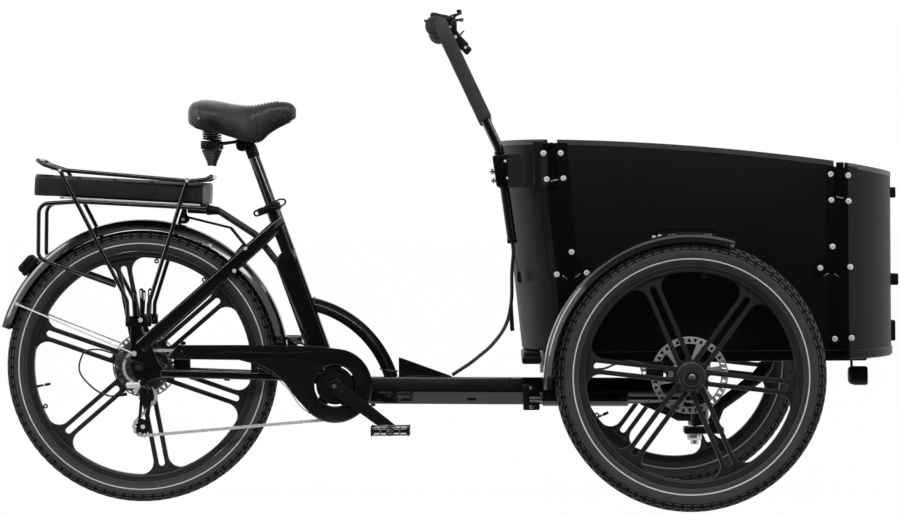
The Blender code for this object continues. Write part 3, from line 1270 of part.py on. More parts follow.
def cargo_box():
    lean = tan(LEAN)
    low_shift = (BOX_TOP - BOX_BOTTOM) * lean
    rear_low = SIDE_REAR_AHEAD + low_shift
    outline = [(rear_low, BOX_BOTTOM), (SIDE_FRONT_AHEAD, BOX_BOTTOM)]
    steps = 8
    for step in range(steps + 1):
        ahead = SIDE_FRONT_AHEAD + (SIDE_REAR_AHEAD - SIDE_FRONT_AHEAD) * step / steps
        outline.append((ahead, box_top(ahead)))
    side = plate(outline, -BOX_HALF_WIDTH, -BOX_HALF_WIDTH + PANEL_THICKNESS)
    other = mirrored(side)
    name_part(side, "side_panel_right", PANEL, steering)
    name_part(other, "side_panel_left", PANEL, steering)

    panel_half = BOX_HALF_WIDTH - 0.002
    rear = curved_panel(REAR_PANEL_AHEAD, REAR_PANEL_BULGE, -1, lean, panel_half)
    name_part(rear, "rear_panel", PANEL, steering)
    front = curved_panel(FRONT_PANEL_AHEAD, FRONT_PANEL_BULGE, 1, 0.0, panel_half)
    nose = FRONT_PANEL_AHEAD + FRONT_PANEL_BULGE
    blocks = [box((0.016, 0.050, 0.026), spot(nose + 0.0050, 0, 0.7405), 0.0, 0.002),
              box((FRONT_END - nose + 0.002, 0.060, 0.028), spot((FRONT_END + nose - 0.002) / 2, 0, 0.5305),
                  0.0, 0.002),
              box((0.014, 0.044, 0.050), spot(nose + 0.0040, 0, 0.4065), 0.0, 0.002)]
    name_part(join(front, *blocks), "front_panel", PANEL, steering)

    # Floor: inside the four panels, resting on the carriage rails.
    half = BOX_HALF_WIDTH - PANEL_THICKNESS - GAP
    clear = PANEL_THICKNESS + GAP + FACET_ALLOWANCE
    rear_arc = plan_arc(REAR_PANEL_AHEAD, REAR_PANEL_BULGE, -1, half, clear)
    front_arc = plan_arc(FRONT_PANEL_AHEAD, FRONT_PANEL_BULGE, 1, half, clear)
    plan = [(ahead + low_shift, place) for ahead, place in rear_arc]
    corner = half
    plan += [(rear_low, corner), (SIDE_FRONT_AHEAD, corner)]
    plan += [(ahead, place) for ahead, place in reversed(front_arc)]
    plan += [(SIDE_FRONT_AHEAD, -corner), (rear_low, -corner)]
    floor = slab(plan, RAIL_BOTTOM + RAIL_SIZE + GAP, RAIL_BOTTOM + RAIL_SIZE + GAP + FLOOR_THICKNESS)
    name_part(floor, "box_floor", PANEL, steering)


def corners():
    lean = tan(LEAN)
    arc = plan_arc(REAR_PANEL_AHEAD, REAR_PANEL_BULGE, -1, BOX_HALF_WIDTH - 0.002, -GAP, 40)
    line = [point for point in arc if point[1] < 0.0300 - BOX_HALF_WIDTH]
    outside = -BOX_HALF_WIDTH - GAP
    strip_line = [(SIDE_REAR_AHEAD + 0.022, outside), (SIDE_REAR_AHEAD - 0.010, outside)] + line
    top = box_top(SIDE_REAR_AHEAD + 0.022) - 0.006
    strip = upright_strip(strip_line, BOX_BOTTOM, top, lean, STRIP_THICKNESS)
    shapes = [strip]
    for offset, height in ((0.0, 0.839), (0.0, 0.780), (0.0, 0.607), (0.0, 0.556), (0.0, 0.400)):
        shift = (BOX_TOP - height) * lean
        shapes.append(bolt(SIDE_REAR_AHEAD + 0.012 + shift + offset, outside - STRIP_THICKNESS, height,
                           (0, -1)))
    right = join(*shapes)

    # The bracket runs back from the strip to a housing round the handlebar's leg.
    shift = (BOX_TOP - 0.806) * lean
    line = [(SIDE_REAR_AHEAD - 0.0090 + shift, outside - STRIP_THICKNESS + 0.0005),
            (SIDE_REAR_AHEAD - 0.0280 + shift, outside - 0.0030),
            (BAR_LEG_AHEAD + 0.0130, -BAR_SIDE - 0.0330), (BAR_LEG_AHEAD - 0.0160, -BAR_SIDE - 0.0160)]
    bracket = upright_strip(line, 0.7630, 0.8380, 0.0, 0.0035)
    middle_height = 0.8005
    axis_ahead = bar_leg_ahead(middle_height)
    housing = box((0.0370, 0.0370, 0.0750), spot(axis_ahead, -BAR_SIDE, middle_height), -BAR_LEG_LEAN, 0.003)
    bore = bar(spot(bar_leg_ahead(0.740), -BAR_SIDE, 0.740), spot(bar_leg_ahead(0.860), -BAR_SIDE, 0.860),
               BAR_RADIUS / cos(pi / 14) + GAP, 14)
    right = cut(join(right, bracket, housing), bore)
    other = mirrored(right)
    name_part(right, "rear_corner_right", SATIN, steering)
    name_part(other, "rear_corner_left", SATIN, steering)

    arc = plan_arc(FRONT_PANEL_AHEAD, FRONT_PANEL_BULGE, 1, BOX_HALF_WIDTH - 0.002, -GAP, 40)
    line = [point for point in arc if point[1] < 0.0220 - BOX_HALF_WIDTH]
    strip_line = list(reversed(line)) + [(SIDE_FRONT_AHEAD + 0.010, outside),
                                         (SIDE_FRONT_AHEAD - 0.012, outside)]
    top = box_top(SIDE_FRONT_AHEAD + 0.046) - 0.006
    strip = upright_strip(strip_line, BOX_BOTTOM, top, 0.0, STRIP_THICKNESS)
    shapes = [strip]
    for height in (0.784, 0.724, 0.615, 0.565, 0.400):
        shapes.append(bolt(SIDE_FRONT_AHEAD - 0.005, outside - STRIP_THICKNESS, height, (0, -1)))
    right = join(*shapes)
    other = mirrored(right)
    name_part(right, "front_corner_right", SATIN, steering)
    name_part(other, "front_corner_left", SATIN, steering)


# Front fenders, brakes and light


def front_fittings():
    centre = spot(WHEELBASE, -TRACK / 2, FRONT_FENDER_HEIGHT)
    half = FRONT_FENDER_WIDTH / 2
    outer = FRONT_FENDER_RADIUS
    inner = outer - FENDER_THICKNESS
    profile = [(inner - 0.006, -half), (inner, -half * 0.55), (inner, half * 0.55), (inner - 0.006, half),
               (outer - 0.006, half), (outer, half * 0.60), (outer, -half * 0.60), (outer - 0.006, -half)]
    fender = sweep(profile, centre, 72.0, 183.0, 14)
    crest = FRONT_FENDER_HEIGHT + outer
    hoop_height = crest + 0.0035
    face = -BOX_HALF_WIDTH - GAP
    rear, front, end = WHEELBASE - 0.050, WHEELBASE + 0.050, -TRACK / 2 - 0.010
    route = bend([spot(rear, face - 0.001, hoop_height), spot(rear, end, hoop_height - 0.0045),
                  spot(front, end, hoop_height - 0.0045), spot(front, face - 0.001, hoop_height)], 0.012, 2)
    hoop = pipe(route, 0.0045, 1)
    flange = box((0.140, 0.003, 0.026), spot(WHEELBASE, face - 0.0015, hoop_height + 0.002))
    fender = join(fender, hoop, flange)
    other = mirrored(fender)
    name_part(fender, "front_fender_right", PLASTIC, steering)
    name_part(other, "front_fender_left", PLASTIC, steering)

    disc_side = -TRACK / 2 + DISC_OFFSET
    plate_face = -DROP_PLATE_SIDE - 0.004 - GAP
    block = box((0.040, 0.024, 0.044), spot(WHEELBASE - 0.081, disc_side, 0.3300), 0.0, 0.003)
    slot = across(WHEELBASE, FRONT_AXLE_HEIGHT, disc_side - 0.0021, disc_side + 0.0021,
                  FRONT_DISC_RADIUS + 0.0015, 24)
    arm = box((0.075, 0.004, 0.024), spot(WHEELBASE - 0.051, plate_face - 0.002, 0.3380))
    link_end = disc_side + 0.0097
    link = box((0.022, plate_face - link_end, 0.024),
               spot(WHEELBASE - 0.076, (plate_face + link_end) / 2, 0.3380))
    caliper = join(cut(block, slot), link, arm)
    other = mirrored(caliper)
    name_part(caliper, "front_caliper_right", SATIN, steering)
    name_part(other, "front_caliper_left", SATIN, steering)

    bracket = box((0.004, 0.030, 0.045), spot(RAIL_FRONT - 0.010, 0, RAIL_BOTTOM - GAP - 0.0225))
    lamp = box((0.045, 0.056, 0.046), spot(RAIL_FRONT + 0.0045, 0, 0.2965), 0.0, 0.005)
    tab = box((0.022, 0.030, 0.004), spot(RAIL_FRONT - 0.010, 0, RAIL_BOTTOM - GAP - 0.002))
    name_part(join(lamp, bracket, tab), "headlight", PLASTIC, steering)


# Handlebar


def bar_leg_ahead(height):
    return BAR_LEG_AHEAD - (height - BAR_LEG_BOTTOM) * tan(radians(BAR_LEG_LEAN))


def handlebar_route():
    side = BAR_TOP_HALF_WIDTH
    right = [spot(BAR_LEG_AHEAD, -BAR_SIDE, BAR_LEG_BOTTOM),
             spot(bar_leg_ahead(BAR_BEND_HEIGHT), -BAR_SIDE, BAR_BEND_HEIGHT),
             spot(BAR_TOP_AHEAD, -side, BAR_TOP_HEIGHT)]
    left = [Vector((point.x, -point.y, point.z)) for point in reversed(right)]
    return right + left


def handlebar():
    slide = pivot("handlebar_slide", spot(bar_leg_ahead(0.8005), 0, 0.8005), steering)
    corners_route = handlebar_route()
    route = bend(corners_route, 0.045, 4)
    tube = pipe(route, BAR_RADIUS, 2)
    shapes = [tube]
    for hand in (-1, 1):
        place = hand * LEVER_PIVOT_SIDE
        clamp = across(BAR_TOP_AHEAD, BAR_TOP_HEIGHT, place - 0.009, place + 0.009, BAR_RADIUS + 0.004, 12)
        arm = box((0.034, 0.016, 0.014), spot(BAR_TOP_AHEAD + 0.0230, place, BAR_TOP_HEIGHT + 0.0180),
                  -32.0, 0.002)
        shapes += [clamp, arm]
    mount = box((0.020, 0.024, 0.016), spot(BAR_TOP_AHEAD, 0, BAR_TOP_HEIGHT + 0.0130))
    display = box((0.046, 0.064, 0.014), spot(BAR_TOP_AHEAD - 0.004, 0, BAR_TOP_HEIGHT + 0.0260), 12.0,
                  0.003)
    body = join(*shapes, mount, display)
    name_part(body, "handlebar", PAINT, slide)

    # Foam sleeves: each covers a corner of the hoop, from the leg to the lever's clamp.
    below, corner = corners_route[1:3]
    inner = Vector((corner.x, -LEVER_PIVOT_SIDE - 0.0160, corner.z))
    sleeve_route = bend([below.lerp(corner, 0.20), corner, inner], 0.045, 4)
    bore_radius = BAR_RADIUS / cos(pi / 8) + GAP
    sleeve = cut(pipe(sleeve_route, SLEEVE_RADIUS, 2), pipe(stretched(sleeve_route, 0.01), bore_radius, 2))
    other = mirrored(sleeve)
    name_part(sleeve, "bar_sleeve_right", FOAM, slide)
    name_part(other, "bar_sleeve_left", FOAM, slide)

    for name, hand in (("brake_lever_right", -1), ("brake_lever_left", 1)):
        hinge = spot(BAR_TOP_AHEAD + 0.0289, hand * LEVER_PIVOT_SIDE, BAR_TOP_HEIGHT + 0.0217)
        axis = pivot(name + "_axis", hinge, slide)
        root = hinge + Vector((0.0055, hand * 0.0083, 0.0030))
        blade = beam([root, root + Vector((0.0, hand * 0.008, 0.0)),
                      hinge + Vector((0.0181, hand * 0.036, 0.0063)),
                      hinge + Vector((0.0141, hand * 0.085, 0.0073)),
                      hinge + Vector((0.0161, hand * 0.115, 0.0073))],
                     0.010, 0.006)
        name_part(blade, name, SATIN, axis)


# Steering damper and cables


def damper():
    rear = spot(DAMPER_REAR_AHEAD, -DAMPER_REAR_SIDE, DAMPER_HEIGHT)
    eye = spot(KINGPIN_AHEAD, -DAMPER_ARM_SIDE, DAMPER_HEIGHT)
    along = (eye - rear).normalized()
    clamp = box((0.040, 0.036, 0.062), spot(DAMPER_REAR_AHEAD, -0.0430, 0.2530), 0.0, 0.003)
    neck = bar(rear - along * 0.004, rear + along * 0.034, 0.0085, 12)
    body = bar(rear + along * 0.028, rear + along * 0.235, DAMPER_RADIUS, 14)
    bore = bar(rear + along * 0.040, rear + along * 0.240, DAMPER_ROD_RADIUS + GAP, 12)
    housing = cut(body, bore)
    name_part(cut(join(housing, neck, clamp), main_tube(GAP)), "steering_damper", SATIN)

    slide = pivot("damper_slide", rear + along * 0.235)
    rod = bar(eye - along * 0.300, eye, DAMPER_ROD_RADIUS, 12)
    ball = bar(eye - Vector((0, 0, 0.0115)), eye + Vector((0, 0, 0.0115)), 0.0110, 12)
    name_part(join(rod, ball), "damper_rod", STEEL, slide)


def cable_loom():
    points = [spot(BAR_LEG_AHEAD, -BAR_SIDE, BAR_LEG_BOTTOM - GAP), spot(0.9040, -BAR_SIDE + 0.001, 0.6080),
              spot(0.9000, -0.1960, 0.5580), spot(0.8980, -0.1700, 0.4870), spot(0.8840, -0.1330, 0.4300),
              spot(0.8520, -0.0840, 0.3830), spot(0.8140, -0.0420, 0.3480), spot(0.7880, -0.0110, 0.3220),
              spot(0.7800, 0.0, 0.2980)]
    loom = pipe(rounded(points, 3), 0.0045, 2)
    name_part(cut(loom, main_tube(GAP)), "cable_loom", PLASTIC, steering)


cranks()
cassette_and_pulleys()
chain()
frame()
rear_triangle()
seat_clamp()
saddle_parts()
chain_guard()
derailleur()
rack()
rear_fender()
carriage()
cargo_box()
corners()
front_fittings()
handlebar()
damper()
cable_loom()
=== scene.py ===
# Cargo tricycle, looks. Every piece but the cable loom rides on a body of the imported frame.
# Metres, +X forward, +Y to the rider's left, +Z up. "ahead" is measured from the rear axle.
import json
import math

import bmesh
import bpy
from mathutils import Matrix, Vector


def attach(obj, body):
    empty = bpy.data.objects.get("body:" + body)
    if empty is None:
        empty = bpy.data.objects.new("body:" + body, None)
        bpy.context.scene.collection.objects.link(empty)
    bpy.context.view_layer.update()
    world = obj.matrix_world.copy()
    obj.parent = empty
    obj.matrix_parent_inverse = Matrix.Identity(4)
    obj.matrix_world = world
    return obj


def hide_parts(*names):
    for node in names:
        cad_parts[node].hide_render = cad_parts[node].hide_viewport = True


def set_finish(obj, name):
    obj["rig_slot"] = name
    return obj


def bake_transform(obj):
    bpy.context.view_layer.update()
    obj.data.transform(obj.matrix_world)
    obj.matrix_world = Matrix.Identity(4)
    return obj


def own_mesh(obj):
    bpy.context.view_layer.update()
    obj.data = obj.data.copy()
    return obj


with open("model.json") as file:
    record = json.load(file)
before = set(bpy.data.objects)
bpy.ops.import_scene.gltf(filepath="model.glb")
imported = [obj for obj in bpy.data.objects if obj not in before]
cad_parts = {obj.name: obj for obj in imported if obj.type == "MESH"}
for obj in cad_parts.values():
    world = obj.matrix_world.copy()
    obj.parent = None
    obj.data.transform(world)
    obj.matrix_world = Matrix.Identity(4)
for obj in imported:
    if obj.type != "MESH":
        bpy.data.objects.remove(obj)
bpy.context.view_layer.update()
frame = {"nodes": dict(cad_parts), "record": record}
print("frame loaded")

originAhead = 0.7468
studio = bpy.context.scene.collection


def at(ahead, side, height):
    return Vector((ahead - originAhead, side, height))


# rows of lengths in millimetres, as metres
def mm(*rows):
    return [tuple(value / 1000 for value in row) for row in rows]


# places for many rows; hand -1 is the right side, 1 the left
def placed(points, hand=1):
    return [at(ahead, hand * side, height) for ahead, side, height in points]


# the angles of a full turn in equal steps, and the direction of an angle in the X-Z plane
def fullTurn(count):
    return [2 * math.pi * step / count for step in range(count)]


def heading(degrees):
    angle = math.radians(degrees)
    return Vector((math.cos(angle), 0, math.sin(angle)))


halfTrack = 0.385
rearAxle, frontAxle, crankAxle = (0, 0.3335), (1.312, 0.318), (0.471, 0.285)
rearHub, crankHub = at(0, 0, rearAxle[1]), at(crankAxle[0], 0, crankAxle[1])


# Shader maths: a wire is a socket that can be added, multiplied and so on


class Wire:
    def __init__(self, finish, socket):
        self.finish = finish
        self.socket = socket

    def maths(self, operation, first, second):
        return self.finish.node("ShaderNodeMath", {"operation": operation}, {0: first, 1: second})

    def __add__(self, other):
        return self.maths("ADD", self, other)

    __radd__ = __add__

    def __sub__(self, other):
        return self.maths("SUBTRACT", self, other)

    def __rsub__(self, other):
        return self.maths("SUBTRACT", other, self)

    def __mul__(self, other):
        return self.maths("MULTIPLY", self, other)


class Maker:
    # any node: its settings first, then its sockets' values or links
    def node(self, kind, settings=None, sockets=None, output=0):
        made = self.tree.nodes.new(kind)
        for key, value in (settings or {}).items():
            setattr(made, key, value)
        for key, value in (sockets or {}).items():
            self.feed(made.inputs[key], value)
        return Wire(self, made.outputs[output])

    def feed(self, socket, value):
        if isinstance(value, Wire):
            self.tree.links.new(value.socket, socket)
        else:
            socket.default_value = value


class Finish(Maker):
    def __init__(self, name, **plain):
        self.material = bpy.data.materials.new(name)
        self.material.use_nodes = True
        self.tree = self.material.node_tree
        self.shader = self.tree.nodes["Principled BSDF"]
        self.place = None
        for socket, value in plain.items():
            self.shader.inputs[socket.replace("_", " ")].default_value = value

    def coordinates(self):
        if self.place is None:
            self.place = self.node("ShaderNodeTexCoord", output=3)
        return self.place

    def noise(self, scale, detail=3.0, roughness=0.5):
        return self.node("ShaderNodeTexNoise", None, {
            "Vector": self.coordinates(), "Scale": scale, "Detail": detail, "Roughness": roughness})

    def cells(self, scale, feature="F1"):
        return self.node("ShaderNodeTexVoronoi", {"feature": feature},
                {"Vector": self.coordinates(), "Scale": scale})

    def ramp(self, value, low, high):
        return self.node("ShaderNodeMapRange", None, {"Value": value, "From Min": low, "From Max": high})

    def mix(self, share, first, second):
        colours = {index: (*value, 1.0) if isinstance(value, tuple) else value
                for index, value in ((6, first), (7, second))}
        return self.node("ShaderNodeMix", {"data_type": "RGBA"}, {0: share, **colours}, output=2)

    # distance from a line along Y, for rings turned on a lathe
    def fromAxis(self, centre):
        level = self.node("ShaderNodeMapping", None, {
            "Vector": self.coordinates(), "Scale": (1, 0, 1), "Location": (-centre.x, 0, -centre.z)})
        return self.node("ShaderNodeVectorMath", {"operation": "LENGTH"}, {0: level}, output=1)

    def upward(self):
        normal = self.node("ShaderNodeNewGeometry", output=1)
        return self.node("ShaderNodeSeparateXYZ", None, {0: normal}, output=2)

    def colour(self, value):
        self.feed(self.shader.inputs["Base Color"], value)

    def rough(self, value):
        self.feed(self.shader.inputs["Roughness"], value)

    def relief(self, height, depth, strength):
        self.feed(self.shader.inputs["Normal"],
                self.node("ShaderNodeBump", None, {"Height": height, "Distance": depth,
                "Strength": strength}))


def dusty(finish, base, dust, amount):
    # a thin veil of dust that gathers on what faces up
    gathered, patches = finish.ramp(finish.upward(), 0.2, 1.0), finish.noise(11.0, 5.0, 0.6)
    veil = gathered * finish.ramp(patches, 0.35, 0.75) * amount
    return finish.mix(veil, base, dust)


# plain finishes: the material's name, its fixed values, the colour noise and its two colours, the dust's
# colour and share, the roughness as base, noise and reach, and the relief as kind, noise, depth and strength
plainFinishes = {
    "satin": ("satinBlackMetal", dict(Specular_IOR_Level=0.12), (24.0,), (0.0042, 0.0042, 0.0045),
        (0.0085, 0.0085, 0.009), ((0.05, 0.048, 0.045), 0.05),
        (0.36, (40.0, 4.0), 0.16), ("noise", (2600.0, 2.0), 0.00008, 0.6)),
    "sheet": ("blackBracketSheet", dict(Specular_IOR_Level=0.05, Coat_Weight=0.12, Coat_Roughness=0.08),
        (18.0, 4.0), (0.0016, 0.0016, 0.0018), (0.0034, 0.0034, 0.0037), None,
        (0.34, (40.0, 4.0), 0.14), ("noise", (1800.0, 2.0), 0.00005, 0.5)),
    # the strip along the panels' top edge, painted much paler than the panel: a painted highlight where the
    # edge catches light from above
    "trim": ("panelEdgeTrim", dict(), (30.0,), (0.026, 0.026, 0.027), (0.042, 0.042, 0.043), None,
        (0.38, (70.0,), 0.14), ("noise", (1500.0,), 0.0001, 0.5)),
    "alloy": ("darkWheelAlloy", dict(Specular_IOR_Level=0.25), (60.0, 4.0), (0.011, 0.011, 0.0114),
        (0.021, 0.021, 0.0216), None, (0.34, (90.0,), 0.14), ("noise", (2200.0,), 0.00006, 0.5)),
    "stripe": ("reflectiveStripe", dict(), (45.0, 5.0), (0.42, 0.42, 0.43), (0.68, 0.68, 0.68), None,
        (0.42, (200.0,), 0.2), ("cells", (2600.0,), 0.0001, 0.4)),
    "steel": ("brightSteel", dict(Metallic=1.0), (120.0, 4.0), (0.42, 0.42, 0.43), (0.66, 0.66, 0.67), None,
        (0.22, (260.0, 4.0), 0.2), ("noise", (1800.0, 2.0), 0.00004, 0.5)),
    "zinc": ("platedBolts", dict(Metallic=0.45), (160.0, 4.0), (0.62, 0.62, 0.63), (0.88, 0.88, 0.89), None,
        (0.34, (260.0, 4.0), 0.16), ("noise", (1800.0, 2.0), 0.00004, 0.5)),
    # the rubber between the tread blocks, painted darker as painted shade in the grooves
    "groove": ("tyreGrooves", dict(Specular_IOR_Level=0.15), (90.0, 4.0), (0.0022, 0.0022, 0.0023),
        (0.0045, 0.0045, 0.0046), None, (0.75, (120.0,), 0.15), ("noise", (1400.0, 2.0), 0.0001, 0.5)),
    "plastic": ("mouldedPlastic", dict(Specular_IOR_Level=0.12), (20.0,), (0.0038, 0.0038, 0.004),
        (0.0075, 0.0075, 0.008), ((0.05, 0.048, 0.045), 0.25),
        (0.36, (50.0, 4.0), 0.16), ("cells", (1700.0,), 0.0001, 0.35)),
    "gloss": ("glossFenderPlastic", dict(Specular_IOR_Level=0.4, Coat_Weight=0.8, Coat_Roughness=0.05),
        (14.0,), (0.0035, 0.0035, 0.0038), (0.0065, 0.0065, 0.007), ((0.05, 0.048, 0.045), 0.05),
        (0.14, (30.0, 4.0), 0.12), ("noise", (40.0, 1.0), 0.00001, 0.2)),
    "shell": ("batteryShell", dict(Specular_IOR_Level=0.35), (18.0,), (0.01, 0.01, 0.0105),
        (0.018, 0.018, 0.0185), ((0.07, 0.068, 0.065), 0.3),
        (0.34, (60.0, 4.0), 0.14), ("noise", (1500.0, 2.0), 0.0001, 0.5)),
    # the battery's chamfered front end, painted much paler than the shell: painted light where it faces the
    # lamps
    "cap": ("batteryEndCap", dict(), (25.0,), (0.11, 0.11, 0.108), (0.17, 0.17, 0.165), None,
        (0.42, (60.0,), 0.15), ("noise", (1500.0, 2.0), 0.0001, 0.5)),
    "sheath": ("cableSheath", dict(), (80.0,), (0.009, 0.009, 0.0095), (0.016, 0.016, 0.0165), None,
        (0.42, (120.0,), 0.16), ("noise", (1200.0,), 0.0001, 0.4)),
}


def makeFinishes():
    made = {}
    for key, (label, fixed, grain, dark, pale, dust, roughness, relief) in plainFinishes.items():
        finish = Finish(label, **fixed)
        base = finish.mix(finish.noise(*grain), dark, pale)
        finish.colour(dusty(finish, base, *dust) if dust else base)
        least, spots, reach = roughness
        finish.rough(least + finish.noise(*spots) * reach)
        kind, scale, depth, strength = relief
        finish.relief(getattr(finish, kind)(*scale), depth, strength)
        made[key] = finish

    paint = Finish("glossBlackPaint", Specular_IOR_Level=0.3, Coat_Weight=0.7, Coat_Roughness=0.05)
    mottle = paint.noise(7.0, 4.0)
    paint.colour(dusty(paint, paint.mix(mottle, (0.003, 0.003, 0.0033), (0.0055, 0.0055, 0.006)),
            (0.05, 0.048, 0.045), 0.05))
    paint.rough(0.16 + paint.noise(16.0, 5.0) * 0.12)
    paint.relief(paint.noise(50.0, 1.0), 0.00001, 0.2)
    made["paint"] = paint

    panel = Finish("boxPanelLaminate", Specular_IOR_Level=0.09)
    grain = panel.cells(900.0)
    panel.colour(dusty(panel, panel.mix(panel.noise(5.0, 5.0), (0.0026, 0.0026, 0.0028),
            (0.0046, 0.0046, 0.0049)), (0.04, 0.039, 0.037), 0.05))
    panel.rough(0.4 + panel.noise(3.0, 5.0, 0.6) * 0.14)
    panel.relief(grain, 0.00012, 0.5)
    made["panel"] = panel

    rubber = Finish("tyreRubber")
    worn = rubber.ramp(rubber.noise(35.0, 6.0, 0.65), 0.3, 0.75)
    rubber.colour(rubber.mix(worn, (0.021, 0.021, 0.0215), (0.041, 0.0405, 0.04)))
    rubber.rough(0.68 + worn * 0.14)
    rubber.relief(rubber.noise(1300.0, 4.0), 0.0002, 0.6)
    made["rubber"] = rubber

    chainSteel = Finish("oiledChainSteel", Metallic=0.4)
    grime = chainSteel.ramp(chainSteel.noise(420.0, 4.0), 0.4, 0.7)
    chainSteel.colour(chainSteel.mix(grime, (0.86, 0.85, 0.83), (0.42, 0.4, 0.38)))
    chainSteel.rough(0.26 + grime * 0.25)
    chainSteel.relief(grime, 0.00005, 0.4)
    made["chainSteel"] = chainSteel

    gear = Finish("gearSteel", Metallic=1.0)
    oil = gear.ramp(gear.noise(260.0, 4.0), 0.35, 0.7)
    gear.colour(gear.mix(oil, (0.2, 0.2, 0.2), (0.05, 0.048, 0.045)))
    gear.rough(0.3 + oil * 0.25)
    gear.relief(gear.noise(1500.0, 2.0), 0.00004, 0.5)
    made["gearSteel"] = gear

    vinyl = Finish("saddleVinyl", Specular_IOR_Level=0.4)
    grain = vinyl.cells(520.0, "DISTANCE_TO_EDGE")
    crease = vinyl.ramp(grain, 0.0, 0.12)
    vinyl.colour(dusty(vinyl, vinyl.mix(crease, (0.004, 0.004, 0.0042), (0.0085, 0.0085, 0.0088)),
            (0.05, 0.049, 0.047), 0.06))
    vinyl.rough(0.2 + crease * 0.05 + vinyl.noise(22.0, 4.0) * 0.08)
    vinyl.relief(crease + vinyl.noise(900.0) * 0.4, 0.00025, 0.6)
    made["vinyl"] = vinyl

    foam = Finish("barFoam")
    pores = foam.ramp(foam.cells(1500.0), 0.05, 0.45)
    foam.colour(foam.mix(pores, (0.008, 0.008, 0.008), (0.03, 0.03, 0.0305)))
    foam.rough(0.86 + pores * 0.08)
    foam.relief(pores + foam.noise(140.0) * 0.6, 0.0004, 0.7)
    made["foam"] = foam

    red = Finish("redLens", Coat_Weight=1.0, Coat_Roughness=0.03)
    prism = red.cells(380.0)
    red.colour(red.mix(red.ramp(prism, 0.1, 0.6), (0.1, 0.004, 0.005), (0.04, 0.002, 0.003)))
    red.rough(0.12 + red.noise(60.0) * 0.08)
    red.relief(prism, 0.0006, 0.6)
    made["red"] = red

    clear = Finish("lampLens", Coat_Weight=1.0, Coat_Roughness=0.02)
    flutes = clear.node("ShaderNodeTexWave", {"bands_direction": "Y"},
            {"Vector": clear.coordinates(), "Scale": 60.0})
    clear.colour(clear.mix(flutes, (0.34, 0.36, 0.38), (0.72, 0.74, 0.76)))
    clear.rough(0.08 + clear.noise(50.0) * 0.06)
    clear.relief(flutes, 0.0006, 0.5)
    made["clear"] = clear

    for name, (ahead, height) in (("rearDisc", rearAxle), ("frontDisc", frontAxle)):
        disc = Finish(name + "Steel", Metallic=0.5)
        ringed = disc.node("ShaderNodeTexNoise", {"noise_dimensions": "1D"},
                {"W": disc.fromAxis(at(ahead, 0, height)), "Scale": 2600.0, "Detail": 2.0})
        disc.colour(disc.mix(disc.noise(70.0, 4.0), (0.46, 0.46, 0.46), (0.74, 0.74, 0.73)))
        disc.rough(0.22 + ringed * 0.2)
        disc.relief(ringed, 0.00004, 0.7)
        made[name] = disc
    return {name: finish.material for name, finish in made.items()}


finishes = makeFinishes()
slots = {
    "paint": "gloss_black_paint", "satin": "satin_black_metal", "sheet": "satin_black_metal",
    "panel": "black_panel", "trim": "black_panel", "alloy": "dark_wheel_alloy",
    "rubber": "tyre_rubber", "stripe": "tyre_rubber", "groove": "tyre_rubber",
    "steel": "bright_steel", "chainSteel": "bright_steel", "gearSteel": "bright_steel",
    "zinc": "bright_steel", "rearDisc": "bright_steel", "frontDisc": "bright_steel",
    "plastic": "black_plastic", "gloss": "black_plastic", "shell": "black_plastic",
    "cap": "black_plastic", "sheath": "black_plastic", "clear": "black_plastic",
    "vinyl": "saddle_vinyl", "foam": "bar_foam", "red": "red_lens",
}
print("finishes made")


# Shapes: closed bits of mesh, each with its own finish, gathered into one piece


def roundSection(radius, sides):
    return [(radius * math.cos(angle), radius * math.sin(angle)) for angle in fullTurn(sides)]


def boxSection(width, height, edge, steps=3):
    corners = ((1, 1, 0), (-1, 1, 90), (-1, -1, 180), (1, -1, 270))
    section = []
    for sideways, upward, start in corners:
        for step in range(steps + 1):
            angle = math.radians(start + 90 * step / steps)
            section.append((sideways * (width / 2 - edge) + edge * math.cos(angle),
                    upward * (height / 2 - edge) + edge * math.sin(angle)))
    return section


# a smooth route through points, with a number of steps between each two of them
def eased(points, steps):
    points = [Vector(point) for point in points]
    path = []
    for index in range(len(points) - 1):
        before, start = points[max(index - 1, 0)], points[index]
        end, after = points[index + 1], points[min(index + 2, len(points) - 1)]
        for step in range(steps):
            t = step / steps
            path.append(start + ((end - before) * t + (2 * before - 5 * start + 4 * end - after) * t ** 2
                    + (3 * start - before - 3 * end + after) * t ** 3) / 2)
    return path + [points[-1]]


# a route whose corners are rounded by arcs
def bent(points, radius, steps):
    points = [Vector(point) for point in points]
    path = [points[0]]
    for before, corner, after in zip(points, points[1:], points[2:]):
        backward = (before - corner).normalized()
        forward = (after - corner).normalized()
        halfAngle = backward.angle(forward) / 2
        middle = corner + (backward + forward).normalized() * radius / math.sin(halfAngle)
        start = corner + backward * radius / math.tan(halfAngle) - middle
        normal = start.cross(corner + forward * radius / math.tan(halfAngle) - middle).normalized()
        for step in range(steps + 1):
            path.append(middle + Matrix.Rotation((math.pi - 2 * halfAngle) * step / steps, 3,
                    normal) @ start)
    return path + [points[-1]]


def arc(ahead, height, radius, start, stop, steps):
    angles = [math.radians(start + (stop - start) * step / steps) for step in range(steps + 1)]
    return [(ahead + radius * math.cos(angle), height + radius * math.sin(angle)) for angle in angles]


def roundHole(ahead, height, radius, steps):
    return arc(ahead, height, radius, 0, 360, steps)[:-1]


